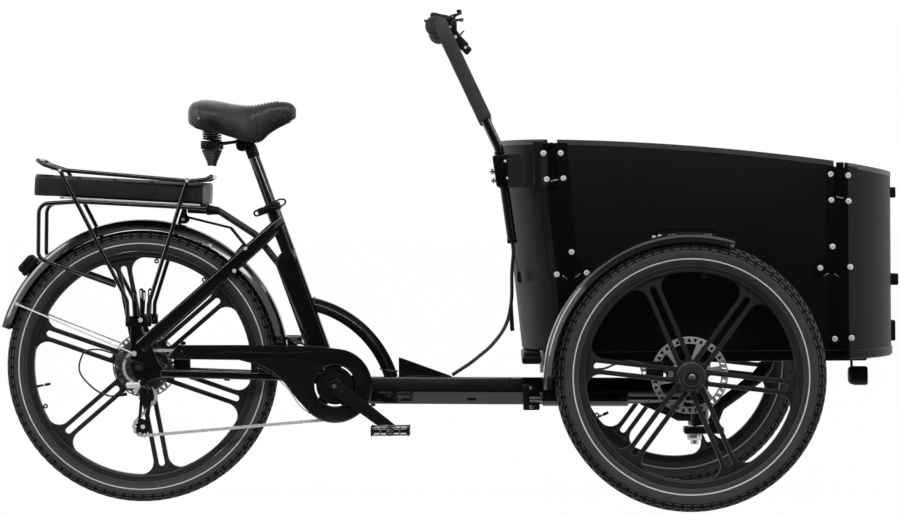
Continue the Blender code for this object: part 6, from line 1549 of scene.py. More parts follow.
def makeRack(settings):
    shape = Shape("paint")
    half = settings["deck"]
    loop = [at(a, -s, h) for a, s, h in half] + [at(a, s, h) for a, s, h in reversed(half)]
    route = bent([loop[-1].lerp(loop[0], 0.5)] + loop + [loop[-1].lerp(loop[0], 0.5)], 0.0075, 6)
    shape.tube(route[:-1], settings["tube"], 16, closed=True)
    for ahead in settings["crossAhead"]:
        height = 0.8135 - (ahead + 0.189) * 0.0955
        shape.tube(placed([(ahead, -0.0665, height), (ahead, -0.02, height + 0.0006),
                (ahead, 0.02, height + 0.0006), (ahead, 0.0665, height)]), settings["cross"], 12)
    shape.tube(bent(placed(mm((-150, -30, 809.8), (-215, -30, 815.5), (-215, 30, 815.5), (-150, 30, 809.8))),
            0.008, 5), 0.0028, 10)
    shape.block((0.03, 0.104, 0.0022), at(-0.229, 0, 0.8252), 34, 0.0008)
    shape.block((0.026, 0.104, 0.0022), at(0.166, 0, 0.788), -26, 0.0008)
    shape.use("zinc")
    for side in (-0.036, 0.036):
        shape.rod(at(-0.229, side, 0.8262), at(-0.2284, side, 0.8288), 0.0052, steps=24)
    shape.use("paint")
    under = 0.0096
    for hand in (-1, 1):
        leg = hand * settings["legSide"]
        for top, foot in (((-0.188, 0.811), (-0.029, 0.495)), ((0.119, 0.783), (0.023, 0.485))):
            start, end = at(top[0], leg, top[1]), at(foot[0], leg, foot[1])
            shape.tube(bent([start, end, at(foot[0] * 0.92, leg + hand * 0.0035, 0.444)], 0.03, 6),
                    settings["tube"], 16, crown=0.002)
            shape.rod(start - Vector((0, hand * 0.0075, 0)), start + Vector((0, hand * 0.0052, 0)), 0.0062,
                    edge=0.001, steps=24)
        low, high = sorted((hand * 0.0768, hand * 0.0798))
        shape.plate([softened(mm((-33, 432), (30, 432), (30, 458), (-33, 458)), 0.004, 5)], low, high,
                0.0007)
        # two flat prongs with slotted ends
        for foot, tip in ((-0.0085, -0.01), (0.008, 0.0115)):
            prong = [(foot - 0.0052, 0.45), (foot + 0.0052, 0.45), (tip + 0.0054, 0.516),
                    (tip + 0.0034, 0.5205), (tip - 0.0034, 0.5205), (tip - 0.0054, 0.516)]
            slot = softened([(tip - 0.0024, 0.496), (tip + 0.0024, 0.496), (tip + 0.0027, 0.515),
                    (tip - 0.0027, 0.515)], 0.0023, 4)
            shape.plate([softened(prong, 0.0016, 3), slot], low, high, 0.0006)
        side = hand * settings["loopSide"]
        points = [at(0.165, side, batteryBottom(0.165) - under),
                at(-0.15, side, batteryBottom(-0.15) - under), at(-0.24, side, 0.73),
                at(-0.243, side, 0.599), at(-0.056, side, 0.53)]
        shape.tube(bent(points, 0.024, 10), settings["tube"], 16, crown=0.002)
    shape.use("zinc")
    for hand in (-1, 1):
        hexNut(shape, at(0.004, hand * 0.0798, 0.448), (0, hand, 0), 0.0062, 0.0045)
        for ahead, height in ((-0.188, 0.811), (0.119, 0.783)):
            shape.pin(ahead, height, hand * 0.078, hand * 0.0805, 0.004, steps=20)
    return shape.put("rearRack", "rear_frame", "rear_rack")


batterySettings = {"size": (0.425, 0.108, 0.052), "tilt": batteryTilt, "cap": 0.03, "tail": 0.035,
        "chamfer": 0.009}


def makeBattery(settings):
    length, width, height = settings["size"]
    chamfer = settings["chamfer"]
    lift = height / 2 / math.cos(math.radians(settings["tilt"]))
    middle = -0.253 + length / 2 * math.cos(math.radians(settings["tilt"]))
    tilted = Matrix.Rotation(math.radians(settings["tilt"]), 4, "Y")
    matrix = Matrix.Translation(at(middle, 0, batteryBottom(middle) + lift)) @ tilted

    def section(inward, downward):
        w, h = width / 2 - inward, height / 2 - downward
        corners = ((-w, -h + chamfer * 0.5), (-w + chamfer * 0.5, -h), (w - chamfer * 0.5, -h),
                (w, -h + chamfer * 0.5),
                (w, h - chamfer * 0.8), (w - chamfer * 1.6, h), (-w + chamfer * 1.6, h),
                (-w, h - chamfer * 0.8))
        return softened(corners, 0.0016, 3)

    def stretch(shape, stations):
        shape.rings([[matrix @ Vector((place, side, up)) for side, up in section(inward, downward)]
                for place, inward, downward in stations])

    shape = Shape("shell")
    front, rear = length / 2, -length / 2
    seams = (rear + settings["tail"], 0.0895, front - settings["cap"])
    stretch(shape, ((rear, 0.006, 0.003), (rear + 0.0012, 0.004, 0.001), (rear + 0.003, 0.0026, 0.0),
            (rear + 0.012, 0.0, 0.0), (seams[0] - 0.0012, 0.0, 0.0), (seams[0], 0.0008, 0.0008)))
    for start, end in zip(seams, seams[1:]):
        stretch(shape, ((start - 0.0005, 0.0016, 0.0016), (start + 0.0008, 0.0008, 0.0008),
                (start + 0.0018, 0.0005, 0.0005), (end - 0.0014, 0.0005, 0.0005),
                (end - 0.0004, 0.0014, 0.0014)))
    stretch(shape, ((seams[2] - 0.0008, 0.0014, 0.0014), (seams[2], 0.0, 0.0), (front - 0.017, 0.0, 0.0),
            (front - 0.0164, 0.001, 0.0004)))
    # carrying handle let into the rear end, and the lock
    shape.use("plastic").block((0.004, 0.06, 0.012), matrix @ Vector((rear + 0.0018, 0, 0.006)),
            settings["tilt"], 0.0018)
    # the chamfered front end in the pale cap finish: painted light where the front faces the lamps
    shape.use("cap")
    stretch(shape, ((front - 0.0166, 0.0012, 0.0006), (front - 0.0158, 0.0006, 0.0),
            (front - 0.0035, 0.013, 0.0), (front - 0.001, 0.0165, 0.0014), (front, 0.0185, 0.004)))
    shape.use("zinc").rod(matrix @ Vector((front - 0.026, width / 2 - 0.002, 0.004)),
            matrix @ Vector((front - 0.026, width / 2 + 0.001, 0.004)), 0.0062, steps=32)
    return shape.put("battery", "battery", "battery")


def makeDock():
    tilt = batteryTilt
    shape = Shape("satin")
    shape.block((0.35, 0.1354, 0.0034), at(-0.015, 0, batteryBottom(-0.015) - 0.0023), tilt, 0.001)
    for ahead in (-0.15, -0.03, 0.1):
        shape.block((0.02, 0.133, 0.004), at(ahead, 0, batteryBottom(ahead) - 0.0058), tilt, 0.0012)
    shape.use("plastic").block((0.045, 0.06, 0.02), at(0.1375, 0, batteryBottom(0.1375) - 0.0135), tilt,
            0.003)
    for hand in (-1, 1):
        shape.use("satin").tube(bent([at(0.105, hand * 0.018, batteryBottom(0.105) - 0.003),
                at(0.108, hand * 0.018, 0.696), at(0.218, hand * 0.018, 0.668),
                at(0.25, hand * 0.018, 0.628), at(0.256, hand * 0.018, 0.621)], 0.008, 6), 0.0025, 12)
        # silver runners under the battery
        shape.use("zinc").block((0.33, 0.0016, 0.0042), at(-0.015, hand * 0.0681,
                batteryBottom(-0.015) - 0.0023), tilt, 0.0005)
        shape.use("satin").pin(0.104, 0.69, hand * 0.0205, hand * 0.0245, 0.011, steps=32, edge=0.001)
    shape.use("zinc").pin(0.104, 0.69, -0.0256, 0.0256, 0.004, steps=16)
    return shape.put("batteryDock", "rear_frame", "battery_dock")


makeRack(rackSettings)
makeBattery(batterySettings)
makeDock()
print("rack made")


# Rear fender with its stays, and the rear light

fenderSettings = {"radius": 0.354, "thickness": 0.003, "half": 0.0295, "start": 8.0, "end": 164.0,
        "drop": 0.021}


# a crowned shell round a wheel; its ends are rounded and its edges rolled in
def fenderShell(shape, ahead, side, height, radius, thickness, half, drop, start, end):
    steps, crest = 72, 0.0016
    rings = []
    for step in range(steps + 1):
        share = step / steps
        angle = math.radians(start + (end - start) * share)
        tip = min(1.0, min(share, 1 - share) * steps / 3.0)
        width = half * (0.8 + 0.2 * math.sin(tip * math.pi / 2))
        out = Vector((math.cos(angle), 0, math.sin(angle)))
        outside, inside = [], []
        for index in range(13):
            across = -1 + 2 * index / 12
            fall = drop * max(0.0, abs(across) - 0.45) ** 1.6 / 0.55 ** 1.6 + 0.0015 * across ** 2
            ridge = crest * max(0.0, 1 - (across / 0.22) ** 2)
            outside.append((across * width, radius + thickness - fall + ridge))
            inside.append((across * width * 0.985, radius - fall * 0.98))
        section = outside + inside[::-1]
        rings.append([at(ahead, side + place, height) + out * reach for place, reach in section])
    return shape.rings(rings)


def makeRearFender(settings):
    shape = Shape("gloss")
    fenderShell(shape, 0, 0, 0.3335, settings["radius"], settings["thickness"] * 0.7, settings["half"],
            settings["drop"], settings["start"], settings["end"])
    out = heading(48)
    shape.use("satin").block((0.03, 0.022, 0.03), rearHub + out * (settings["radius"] + 0.0165), 42, 0.004)
    start = rearHub + heading(11) * (settings["radius"] + 0.001)
    shape.sweep([start, start.lerp(at(0.4, 0, 0.38), 0.5), at(0.4, 0, 0.38)],
            boxSection(0.024, 0.004, 0.001, 2), upright=True)
    shape.use("zinc")
    for hand in (-1, 1):
        shape.turned(mm((2.8, 0), (6.2, 0), (6.5, 0.8), (6.5, 3), (6.2, 3.6), (2.8, 3.6)),
                at(-0.013, hand * 0.0766, 0.367),
                (0, hand, 0), 32, loop=True)
        for angle in (153, 60):
            out = heading(angle)
            end = at(0, hand * 0.0275, 0.3335) + out * (settings["radius"] - 0.016)
            eye = at(-0.013, hand * 0.0776, 0.367)
            if angle == 153:
                shape.tube([eye, eye.lerp(end, 0.06), eye.lerp(end, 0.94), end], 0.002, 12)
            shape.rod(end - Vector((0, hand * 0.001, 0)), end + Vector((0, hand * 0.0035, 0)), 0.0042,
                    steps=20)
    return shape.put("rearFender", "rear_frame", "rear_fender")


def makeRearLight():
    angle = math.radians(138)
    out = Vector((math.cos(angle), 0, math.sin(angle)))
    along = Vector((-out.z, 0, out.x))
    matrix = Matrix((out, Vector((0, 1, 0)), out.cross(Vector((0, 1, 0))))).transposed().to_4x4()
    centre = rearHub + out * 0.3723
    shape = Shape("plastic")
    shape.block((0.012, 0.04, 0.052), centre - out * 0.008, matrix=matrix, edge=0.003)
    shape.block((0.006, 0.03, 0.03), centre - out * 0.0135, matrix=matrix, edge=0.001)
    shape.block((0.016, 0.038, 0.05), centre + out * 0.0035, matrix=matrix, edge=0.005)
    shape.use("red").block((0.008, 0.032, 0.043), centre + out * 0.0105, matrix=matrix, edge=0.003)
    shape.use("zinc")
    for shift in (-0.021, 0.021):
        shape.rod(centre + along * shift - out * 0.0014, centre + along * shift + out * 0.0006, 0.0024,
                steps=16)
    return shape.put("rearLight", "rear_frame", "rear_light")


makeRearFender(fenderSettings)
makeRearLight()
print("rear fender made")


# Drive: chain guard, chainring, cranks, pedals, cassette, pulleys, derailleur and chain

guardSettings = {
    "outline": mm((372, 262), (350, 292), (318, 320), (286, 338), (240, 349.5), (66, 353), (90.5, 386),
        (250, 385), (431, 380.5)),
    "radius": 0.0895, "opening": 0.051, "outer": -0.0675, "inner": -0.0442, "wall": 0.0018,
    "gates": ((0.4195, 0.207, 0.0425, 0.016), (0.085, 0.3705, 0.016, 0.014)),
}


def makeGuard(settings):
    shape = Shape("gloss")
    rounded = arc(*crankAxle, settings["radius"], 77.0, -139.0, 48)
    outline = [Vector(point) for point in rounded + settings["outline"]]
    smooth = []
    for index, point in enumerate(outline):
        if 49 <= index < 53:  # the long sweep below is a smooth curve
            after = outline[index + 1]
            smooth += [point, (point + after) / 2 + Vector((0.0008, -0.0008))]
        else:
            smooth.append(point)
    fine = []
    for point, after in zip(smooth, smooth[1:] + smooth[:1]):
        parts = max(1, round((after - point).length / 0.005))
        fine += [point.lerp(after, part / parts) for part in range(parts)]
    hole = roundHole(*crankAxle, settings["opening"], 64)
    outer, inner = settings["outer"], settings["inner"]
    shape.plate([smooth, hole], outer, outer + settings["wall"], 0.0007)

    # the wall along the rim, and a rolled bead on its outer edge
    def inward(distance):
        moved = []
        for index, point in enumerate(fine):
            along = (fine[(index + 1) % len(fine)] - fine[index - 1]).normalized()
            moved.append(point + Vector((along.y, -along.x)) * distance)
        return moved

    run = []
    for p, q in list(zip(inward(0.0), inward(settings["wall"]))) + [(None, None)]:
        # the wall is left open where the chain runs in and out
        if p and not any(abs(p.x - a) < wide and abs(p.y - h) < tall
                for a, h, wide, tall in settings["gates"]):
            run.append(placed([(p.x, outer + 0.0004, p.y), (p.x, inner, p.y), (q.x, inner, q.y),
                    (q.x, outer + 0.0004, q.y)]))
        else:
            if len(run) > 1:
                shape.rings(run)
            run = []
    shape.tube([at(p.x, outer + 0.0006, p.y) for p in inward(0.001)], 0.0015, 10, closed=True)
    shape.tube([at(a, outer + 0.0004, h) for a, h in hole], 0.0016, 10, closed=True)
    # a shallow step across the face, a groove, the screw at the tail, feet
    shape.block((0.094, 0.0016, 0.029), at(0.135, outer - 0.0003, 0.369), turn=0.4, edge=0.0007)
    shape.sweep(eased(placed([(0.186, outer, 0.368), (0.27, outer, 0.3672), (0.35, outer, 0.364),
            (0.42, outer, 0.369)]), 8),
            boxSection(0.0016, 0.0022, 0.0005, 2), upright=True)
    shape.tube(eased(placed([(0.28, outer, 0.333), (0.32, outer, 0.313), (0.356, outer, 0.28),
            (0.384, outer, 0.24), (0.41, outer, 0.218)]), 8), 0.001, 8)
    shape.block((0.028, 0.015, 0.018), at(0.299, -0.056, 0.3242), edge=0.002)
    shape.use("steel").pin(0.102, 0.372, outer + 0.0005, outer - 0.0012, 0.003, steps=20)
    return shape.put("chainGuard", "rear_frame", "chain_guard")


guidePulley, tensionPulley = (0.014, 0.262), (0.005, 0.189)
driveSettings = {
    "pitch": 0.0127, "line": -0.052, "crankAngle": -37.5, "crankLength": 0.171,
    "pulleys": {"guide_pulley": guidePulley, "tension_pulley": tensionPulley},
    "belt": ((crankAxle, 0.08085, -1), (tensionPulley, 0.02223, -1), (guidePulley, 0.02223, 1),
        (rearAxle, 0.04043, -1)),
    "sprockets": ((0.0565, 28, 0.013), (0.0505, 25, 0.009), (0.0455, 22, 0.0052), (0.0415, 20, 0.0),
        (0.0325, 16, -0.0057), (0.03, 15, -0.0102), (0.0275, 14, -0.0145)),
}


# the chain's path round its toothed wheels: ahead and height of points
def beltPath(circles):
    steps = 30
    slopes = []
    for index, (centre, radius, turn) in enumerate(circles):
        following, otherRadius, otherTurn = circles[(index + 1) % len(circles)]
        ahead, rise = following[0] - centre[0], following[1] - centre[1]
        lean = math.asin((turn * radius - otherTurn * otherRadius) / math.hypot(ahead, rise))
        slopes.append(math.atan2(rise, ahead) + lean)
    path = []
    for index, (centre, radius, turn) in enumerate(circles):
        start = slopes[index - 1]
        swing = (slopes[index] - start) % (2 * math.pi) - (2 * math.pi if turn < 0 else 0)
        for step in range(steps + 1):
            angle = start + swing * step / steps - turn * math.pi / 2
            path.append((centre[0] + radius * math.cos(angle), centre[1] + radius * math.sin(angle)))
    return path


def toothed(centre, teeth, root, tip, phase, sharp):
    points = []
    for index in range(teeth):
        for share, radius in ((-0.38, root), (-0.22, (root + tip) / 2), (-sharp * 0.5, tip),
                (sharp * 0.5, tip), (0.22, (root + tip) / 2), (0.38, root)):
            angle = phase + 2 * math.pi * (index + share) / teeth
            points.append((centre[0] + radius * math.cos(angle), centre[1] + radius * math.sin(angle)))
    return points


def linkPlate(shape, half, radius, waist, low, high):
    rows = []
    for centre, start in ((half, -115), (-half, 65)):
        rows += [(centre + radius * math.cos(math.radians(start + 230 * step / 6)),
                radius * math.sin(math.radians(start + 230 * step / 6))) for step in range(7)]
        rows.append((0, waist if centre > 0 else -waist))
    shape.rings([[(x, y, z) for x, z in rows] for y in (low, high)])


def makeChain(settings):
    path = beltPath(settings["belt"])
    route = [at(ahead, settings["line"], height) for ahead, height in path]
    length = sum((route[(index + 1) % len(route)] - point).length for index, point in enumerate(route))
    count = 2 * round(length / settings["pitch"] / 2)
    half = length / count / 2
    outer, inner = Shape("chainSteel"), Shape("chainSteel")
    for hand in (-1, 1):
        low, high = sorted((hand * 0.0023, hand * 0.0031))
        linkPlate(outer, half, 0.004, 0.0031, low, high)
        outer.turned(mm((0, -3.3), (1.9, -3.3), (1.9, 3.3), (0, 3.3)), (hand * half, 0, 0), (0, 1, 0), 8)
        low, high = sorted((hand * 0.0013, hand * 0.0021))
        linkPlate(inner, half, 0.0041, 0.0033, low, high)
        inner.turned(mm((0, -1.2), (3.8, -1.2), (3.8, 1.2), (0, 1.2)), (hand * half, 0, 0), (0, 1, 0), 10)
    piece = routeGrowth.grow("chainLinks", "rear_frame", routeCurve(route, closed=True), **{
        "Count": count, "Even pattern": outer, "Odd pattern": inner, "Finish": "chainSteel"})
    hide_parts("chain")
    print("chain of", count, "links")


def makeCranks(settings):
    ahead, height = crankAxle
    line, angle = settings["line"], math.radians(settings["crankAngle"])
    axis = at(ahead, 0, height)
    right = Shape("satin")
    start = beltPath(settings["belt"])[0]
    phase = math.atan2(start[1] - height, start[0] - ahead) + math.pi / 40
    hole = roundHole(ahead, height, 0.06, 80)
    right.plate([toothed((ahead, height), 40, 0.0768, 0.0838, phase, 0.14), hole], line - 0.0011,
            line + 0.0011, 0.0003)
    for index in range(5):
        out = math.radians(72 * index + 15)
        arm = Vector((math.cos(out), 0, math.sin(out)))
        side = Vector((-arm.z, 0, arm.x))
        rows = [(0.03, 0.016), (0.044, 0.014), (0.054, 0.0105), (0.067, 0.0085)]
        shape = [axis + arm * r + side * w for r, w in rows]
        shape += [axis + arm * r - side * w for r, w in reversed(rows)]
        right.plate([[(point.x + originAhead, point.z) for point in shape]], line - 0.0048, line - 0.0013,
                0.0008)
        right.use("steel").rod(axis + arm * 0.0655 + Vector((0, line - 0.0046, 0)),
                axis + arm * 0.0655 + Vector((0, line - 0.0062, 0)), 0.0042, steps=20)
        right.use("satin")
    disc = [(0.02, line - 0.0012), (0.045, line - 0.0012), (0.0458, line - 0.003), (0.0456, line - 0.0105),
            (0.0442, line - 0.0118), (0.04, line - 0.0118),
            (0.037, line - 0.0095), (0.032, line - 0.009), (0.03, line - 0.011), (0.02, line - 0.0125)]
    right.turned(disc, axis, (0, 1, 0), 80, loop=True)
    left, reach = Shape("satin"), settings["crankLength"]
    for shape, hand, swing in ((right, -1, angle), (left, 1, angle + math.pi)):
        out = Vector((math.cos(swing), 0, math.sin(swing)))
        side = Vector((-out.z, 0, out.x))

        def armOutline(inset, start, end):
            points = []
            for centre, radius, first in ((start, 0.0175 - inset, 90), (end, 0.013 - inset, -90)):
                for step in range(13):
                    turn = math.radians(first + 180 * step / 12)
                    along = out * (centre + radius * math.cos(turn))
                    points.append(axis + along + side * radius * math.sin(turn))
            return [(point.x + originAhead, point.z) for point in points]

        low, high = sorted((hand * 0.0732, hand * 0.0862))
        shape.plate([armOutline(0.0, 0.0, reach)], low, high, 0.0026)
        low, high = sorted((hand * 0.0858, hand * 0.087))
        shape.plate([armOutline(0.005, 0.03, reach - 0.02), armOutline(0.0078, 0.034, reach - 0.024)], low,
                high, 0.0005)
        foot = 0.0365 if hand < 0 else 0.047
        shape.turned([(0.0086, hand * foot), (0.0165, hand * (foot + 0.002)), (0.0165, hand * 0.074),
                (0.0086, hand * 0.074)],
                axis, (0, 1, 0), 48, loop=True)
        eye = axis + out * reach
        shape.use("steel").rod(eye + Vector((0, hand * 0.074, 0)), eye + Vector((0, hand * 0.089, 0)),
                0.0062, steps=32)
        shape.rod(axis + Vector((0, hand * 0.085, 0)), axis + Vector((0, hand * 0.0876, 0)), 0.0048,
                steps=32)
        shape.use("satin").turned(mm((6, 0), (9.8, 0), (9.2, 1.2), (6.6, 1.2)),
                axis + Vector((0, hand * 0.0862, 0)), (0, hand, 0), 40, loop=True)
        shape.use("steel").rod(axis + out * 0.022 + Vector((0, hand * 0.086, 0)),
                axis + out * 0.022 + Vector((0, hand * 0.087, 0)), 0.0026, steps=16)
        shape.rod(eye + Vector((0, hand * 0.087, 0)), eye + Vector((0, hand * 0.175, 0)), 0.0044, steps=20)
    right.rod(axis + Vector((0, -0.0725, 0)), axis + Vector((0, 0.085, 0)), 0.0084, steps=40)
    right.put("crank.right", "cranks", "crank_right")
    left.put("crank.left", "cranks", "crank_left")


def makePedal(name, ahead, height, hand):
    shape = Shape("satin")

    def place(along, out, up=0.0):
        return at(ahead + along, hand * out, height + up)

    shape.turned(mm((4.9, 90.5), (10.5, 90.5), (11, 93), (8.5, 99), (8.5, 173), (10.8, 178), (10, 181.5),
            (0, 182), (0, 176.4), (4.9, 176.4)), at(ahead, 0, height), (0, hand, 0), 40, loop=True)
    for along in (-0.0425, 0.0425):
        shape.block((0.007, 0.09, 0.02), place(along, 0.1362), edge=0.0022)
        for out in (0.1, 0.118, 0.136, 0.154, 0.172):
            shape.block((0.003, 0.004, 0.0232), place(along * 1.055, out), edge=0.0008)
    shape.use("steel")
    for out in (0.0935, 0.1785):
        for up in (-1, 1):
            shape.block((0.086, 0.005, 0.005), place(0, out, up * 0.0078), edge=0.0014)
        for along in (-0.0225, 0.0225):
            shape.block((0.005, 0.0046, 0.015), place(along, out), edge=0.0012)
    shape.use("satin")
    for along in (-0.025, 0.025):
        shape.block((0.03, 0.008, 0.012), place(along, 0.1362), edge=0.002)
    shape.use("steel").rod(place(0, 0.1815), place(0, 0.1835), 0.0066, steps=32)
    shape.use("clear")
    for along in (-0.0466, 0.0466):
        shape.block((0.0018, 0.042, 0.012), place(along, 0.1362), edge=0.0006)
    return shape.put("pedal." + name, "pedal_" + name, "pedal_" + name)


def makeCassette(settings):
    shape = Shape("gearSteel")
    for tip, teeth, shift in settings["sprockets"]:
        side = settings["line"] + shift
        bore = roundHole(*rearAxle, 0.017, 32)
        shape.plate([toothed(rearAxle, teeth, tip - 0.0038, tip, 0.1 * teeth, 0.12), bore], side - 0.0008,
                side + 0.0008, 0.0002)
    shape.use("satin").turned(mm((7.6, -38.5), (17.4, -38.5), (17.4, -67.2), (13, -68), (13, -69),
            (7.6, -69)), rearHub,
            (0, 1, 0), 48, loop=True)
    shape.put("cassette", "cassette", "cassette")
    for name, (ahead, height) in settings["pulleys"].items():
        wheel = Shape("plastic")
        holes = [roundHole(ahead + 0.0112 * math.cos(a), height + 0.0112 * math.sin(a), 0.0026, 14)
                for a in fullTurn(5)]
        bore = roundHole(ahead, height, 0.006, 24)
        wheel.plate([toothed((ahead, height), 11, 0.0166, 0.0205, 0.0, 0.1)] + holes + [bore], -0.053,
                -0.051, 0.0003)
        wheel.use("steel").turned(mm((3.4, -56), (6.4, -56), (6.4, -48), (3.4, -48)), at(ahead, 0, height),
                (0, 1, 0), 32, loop=True)
        wheel.put(name.replace("_", "."), name, name)


def makeDerailleur():
    shape = Shape("satin")
    shape.turned(mm((0, 76.8), (8.5, 76.8), (9.5, 77.8), (9.5, 91.5), (8, 93), (0, 93)),
            at(0.009, 0, 0.2985), (0, -1, 0), 40)
    shape.turned(mm((0, 92.6), (5.8, 92.6), (5.8, 94), (0, 94)), at(0.009, 0, 0.2985), (0, -1, 0), 6)
    for shift, thick in ((0.0, 0.004), (0.0085, 0.0032)):
        route = eased(placed([(0.006 + shift, -0.0885, 0.2985), (0.017 + shift, -0.085, 0.286),
                (0.022 + shift, -0.083, 0.274), (0.014 + shift, -0.079, 0.261)]), 8)
        shape.sweep(route, boxSection(0.013, thick, 0.0012, 3), crown=0.0008)
    shape.block((0.014, 0.01, 0.012), at(-0.006, -0.086, 0.293), turn=20, edge=0.002)
    outline = softened(mm((26, 258), (24, 270), (14, 275.5), (5, 270), (-2, 255), (-7, 200), (-6, 180),
            (3, 175), (13, 177), (16, 190)), 0.003, 4)
    windows = [softened(mm((15.5, 247), (4, 247), (-1, 206), (11, 206)), 0.0028, 3)]
    shape.plate([outline] + windows, -0.061, -0.0592, 0.0005)
    shape.plate([outline] + windows, -0.0455, -0.0439, 0.0005)
    shape.block((0.008, 0.002, 0.009), at(-0.0075, -0.0602, 0.179), turn=10, edge=0.0006)
    shape.turned(mm((0, 59), (10.5, 59), (10.5, 64), (9.2, 65.5), (9.2, 82), (10.5, 83.5), (10.5, 86.8),
            (0, 86.8)), at(0.014, 0, 0.262), (0, -1, 0), 40)
    for index in range(5):
        shape.turned(mm((9.4, 0), (10.4, 0.5), (9.4, 1)), at(0.014, -0.0675 - index * 0.0026, 0.262),
                (0, -1, 0), 32, loop=True)
    # silver body of the parallelogram, turned to the side
    shape.use("zinc").block((0.036, 0.014, 0.015), at(-0.014, -0.09, 0.2917), edge=0.0062)
    shape.block((0.012, 0.01, 0.02), at(-0.006, -0.086, 0.283), 30, 0.003)
    for ahead, height in driveSettings["pulleys"].values():
        shape.pin(ahead, height, -0.06, -0.044, 0.003, steps=20)
    ahead, height = tensionPulley
    shape.pin(ahead, height, -0.0608, -0.0632, 0.0052, steps=32, edge=0.0008)
    for ahead, height in ((0.001, 0.301), (-0.003, 0.286)):
        shape.pin(ahead, height, -0.0905, -0.0935, 0.0026, steps=16)
    return shape.put("derailleur", "rear_frame", "derailleur")


makeGuard(guardSettings)
makeChain(driveSettings)
makeCranks(driveSettings)
makePedal("right", 0.6067, 0.1809, -1)
makePedal("left", 0.3353, 0.3891, 1)
makeCassette(driveSettings)
makeDerailleur()
print("drive made")


# Saddle: a moulded cushion on two springs, with its rails, cups and clamp

saddleSettings = {
    # place ahead of the saddle's rear end, half width, lowest edge, top
    "sections": ((0.0, 0.046, 0.928, 0.958), (0.006, 0.068, 0.92, 0.968), (0.016, 0.084, 0.914, 0.9745),
        (0.038, 0.099, 0.906, 0.978),
        (0.075, 0.1025, 0.899, 0.974), (0.11, 0.083, 0.888, 0.967), (0.148, 0.054, 0.8765, 0.9635),
        (0.17, 0.0435, 0.879, 0.966),
        (0.19, 0.037, 0.896, 0.97), (0.21, 0.0325, 0.909, 0.973), (0.236, 0.0285, 0.9215, 0.9725),
        (0.252, 0.023, 0.929, 0.9665), (0.26, 0.014, 0.935, 0.956)),
    "rear": 0.119, "stations": 72,
}


def saddleSection(place):
    sections = saddleSettings["sections"]
    index = max(i for i in range(len(sections) - 1) if sections[i][0] <= place + 1e-9)
    first, second = sections[index], sections[index + 1]
    before, after = sections[max(index - 1, 0)], sections[min(index + 2, len(sections) - 1)]
    span = second[0] - first[0]
    share = (place - first[0]) / span
    values = []
    for key in (1, 2, 3):
        rise = (second[key] - before[key]) / (second[0] - before[0]) * span
        leave = (after[key] - first[key]) / (after[0] - first[0]) * span
        near, far = 2 * share ** 3 - 3 * share ** 2 + 1, 3 * share ** 2 - 2 * share ** 3
        value = near * first[key] + (share ** 3 - 2 * share ** 2 + share) * rise
        values.append(value + far * second[key] + (share ** 3 - share ** 2) * leave)
    return values


def stepUp(value, low, high):
    share = min(1.0, max(0.0, (value - low) / (high - low)))
    return share * share * (3 - 2 * share)


def saddleRing(place):
    half, low, top = saddleSection(place)
    ahead = saddleSettings["rear"] + place
    # the hollow underneath: wide over the springs, narrow over the rails, closed at both ends
    hollow = min(half - 0.0065, 0.0865 - 0.055 * stepUp(place, 0.088, 0.118))
    depth = stepUp(place, 0.016, 0.022) * (1 - stepUp(place, 0.222, 0.232))
    roof = min(top - 0.016, 0.9085 + 0.025 * stepUp(place, 0.09, 0.12))
    ceiling = low + (roof - low) * depth if top - low > 0.02 else low
    groove = 0.0022 * stepUp(place, 0.03, 0.07) * (1 - stepUp(place, 0.19, 0.235))
    tall = top - low
    side = [(0.0, top - groove), (0.1 * half, top - groove * 0.6), (0.26 * half, top - 0.0004),
            (0.46 * half, top - 0.02 * tall), (0.64 * half, top - 0.07 * tall),
            (0.8 * half, top - 0.15 * tall), (0.91 * half, top - 0.26 * tall),
            (0.975 * half, top - 0.4 * tall), (half, top - 0.56 * tall), (0.995 * half, top - 0.72 * tall),
            (0.97 * half, top - 0.86 * tall), (0.945 * half, low + 0.05 * tall),
            (0.925 * half, low + 0.0008), (0.905 * half, low)]
    side += [(max(hollow, 0.8 * half) if depth < 0.5 else (hollow + 0.905 * half) / 2, low)]
    side += [(hollow, low + 0.0006), (hollow * 0.985, low + (ceiling - low) * 0.5),
            (hollow * 0.95, ceiling - 0.0004), (hollow * 0.5, ceiling), (0.0, ceiling)]
    loop = side + [(-y, z) for y, z in reversed(side[1:-1])]
    return [at(ahead, y, z) for y, z in loop]


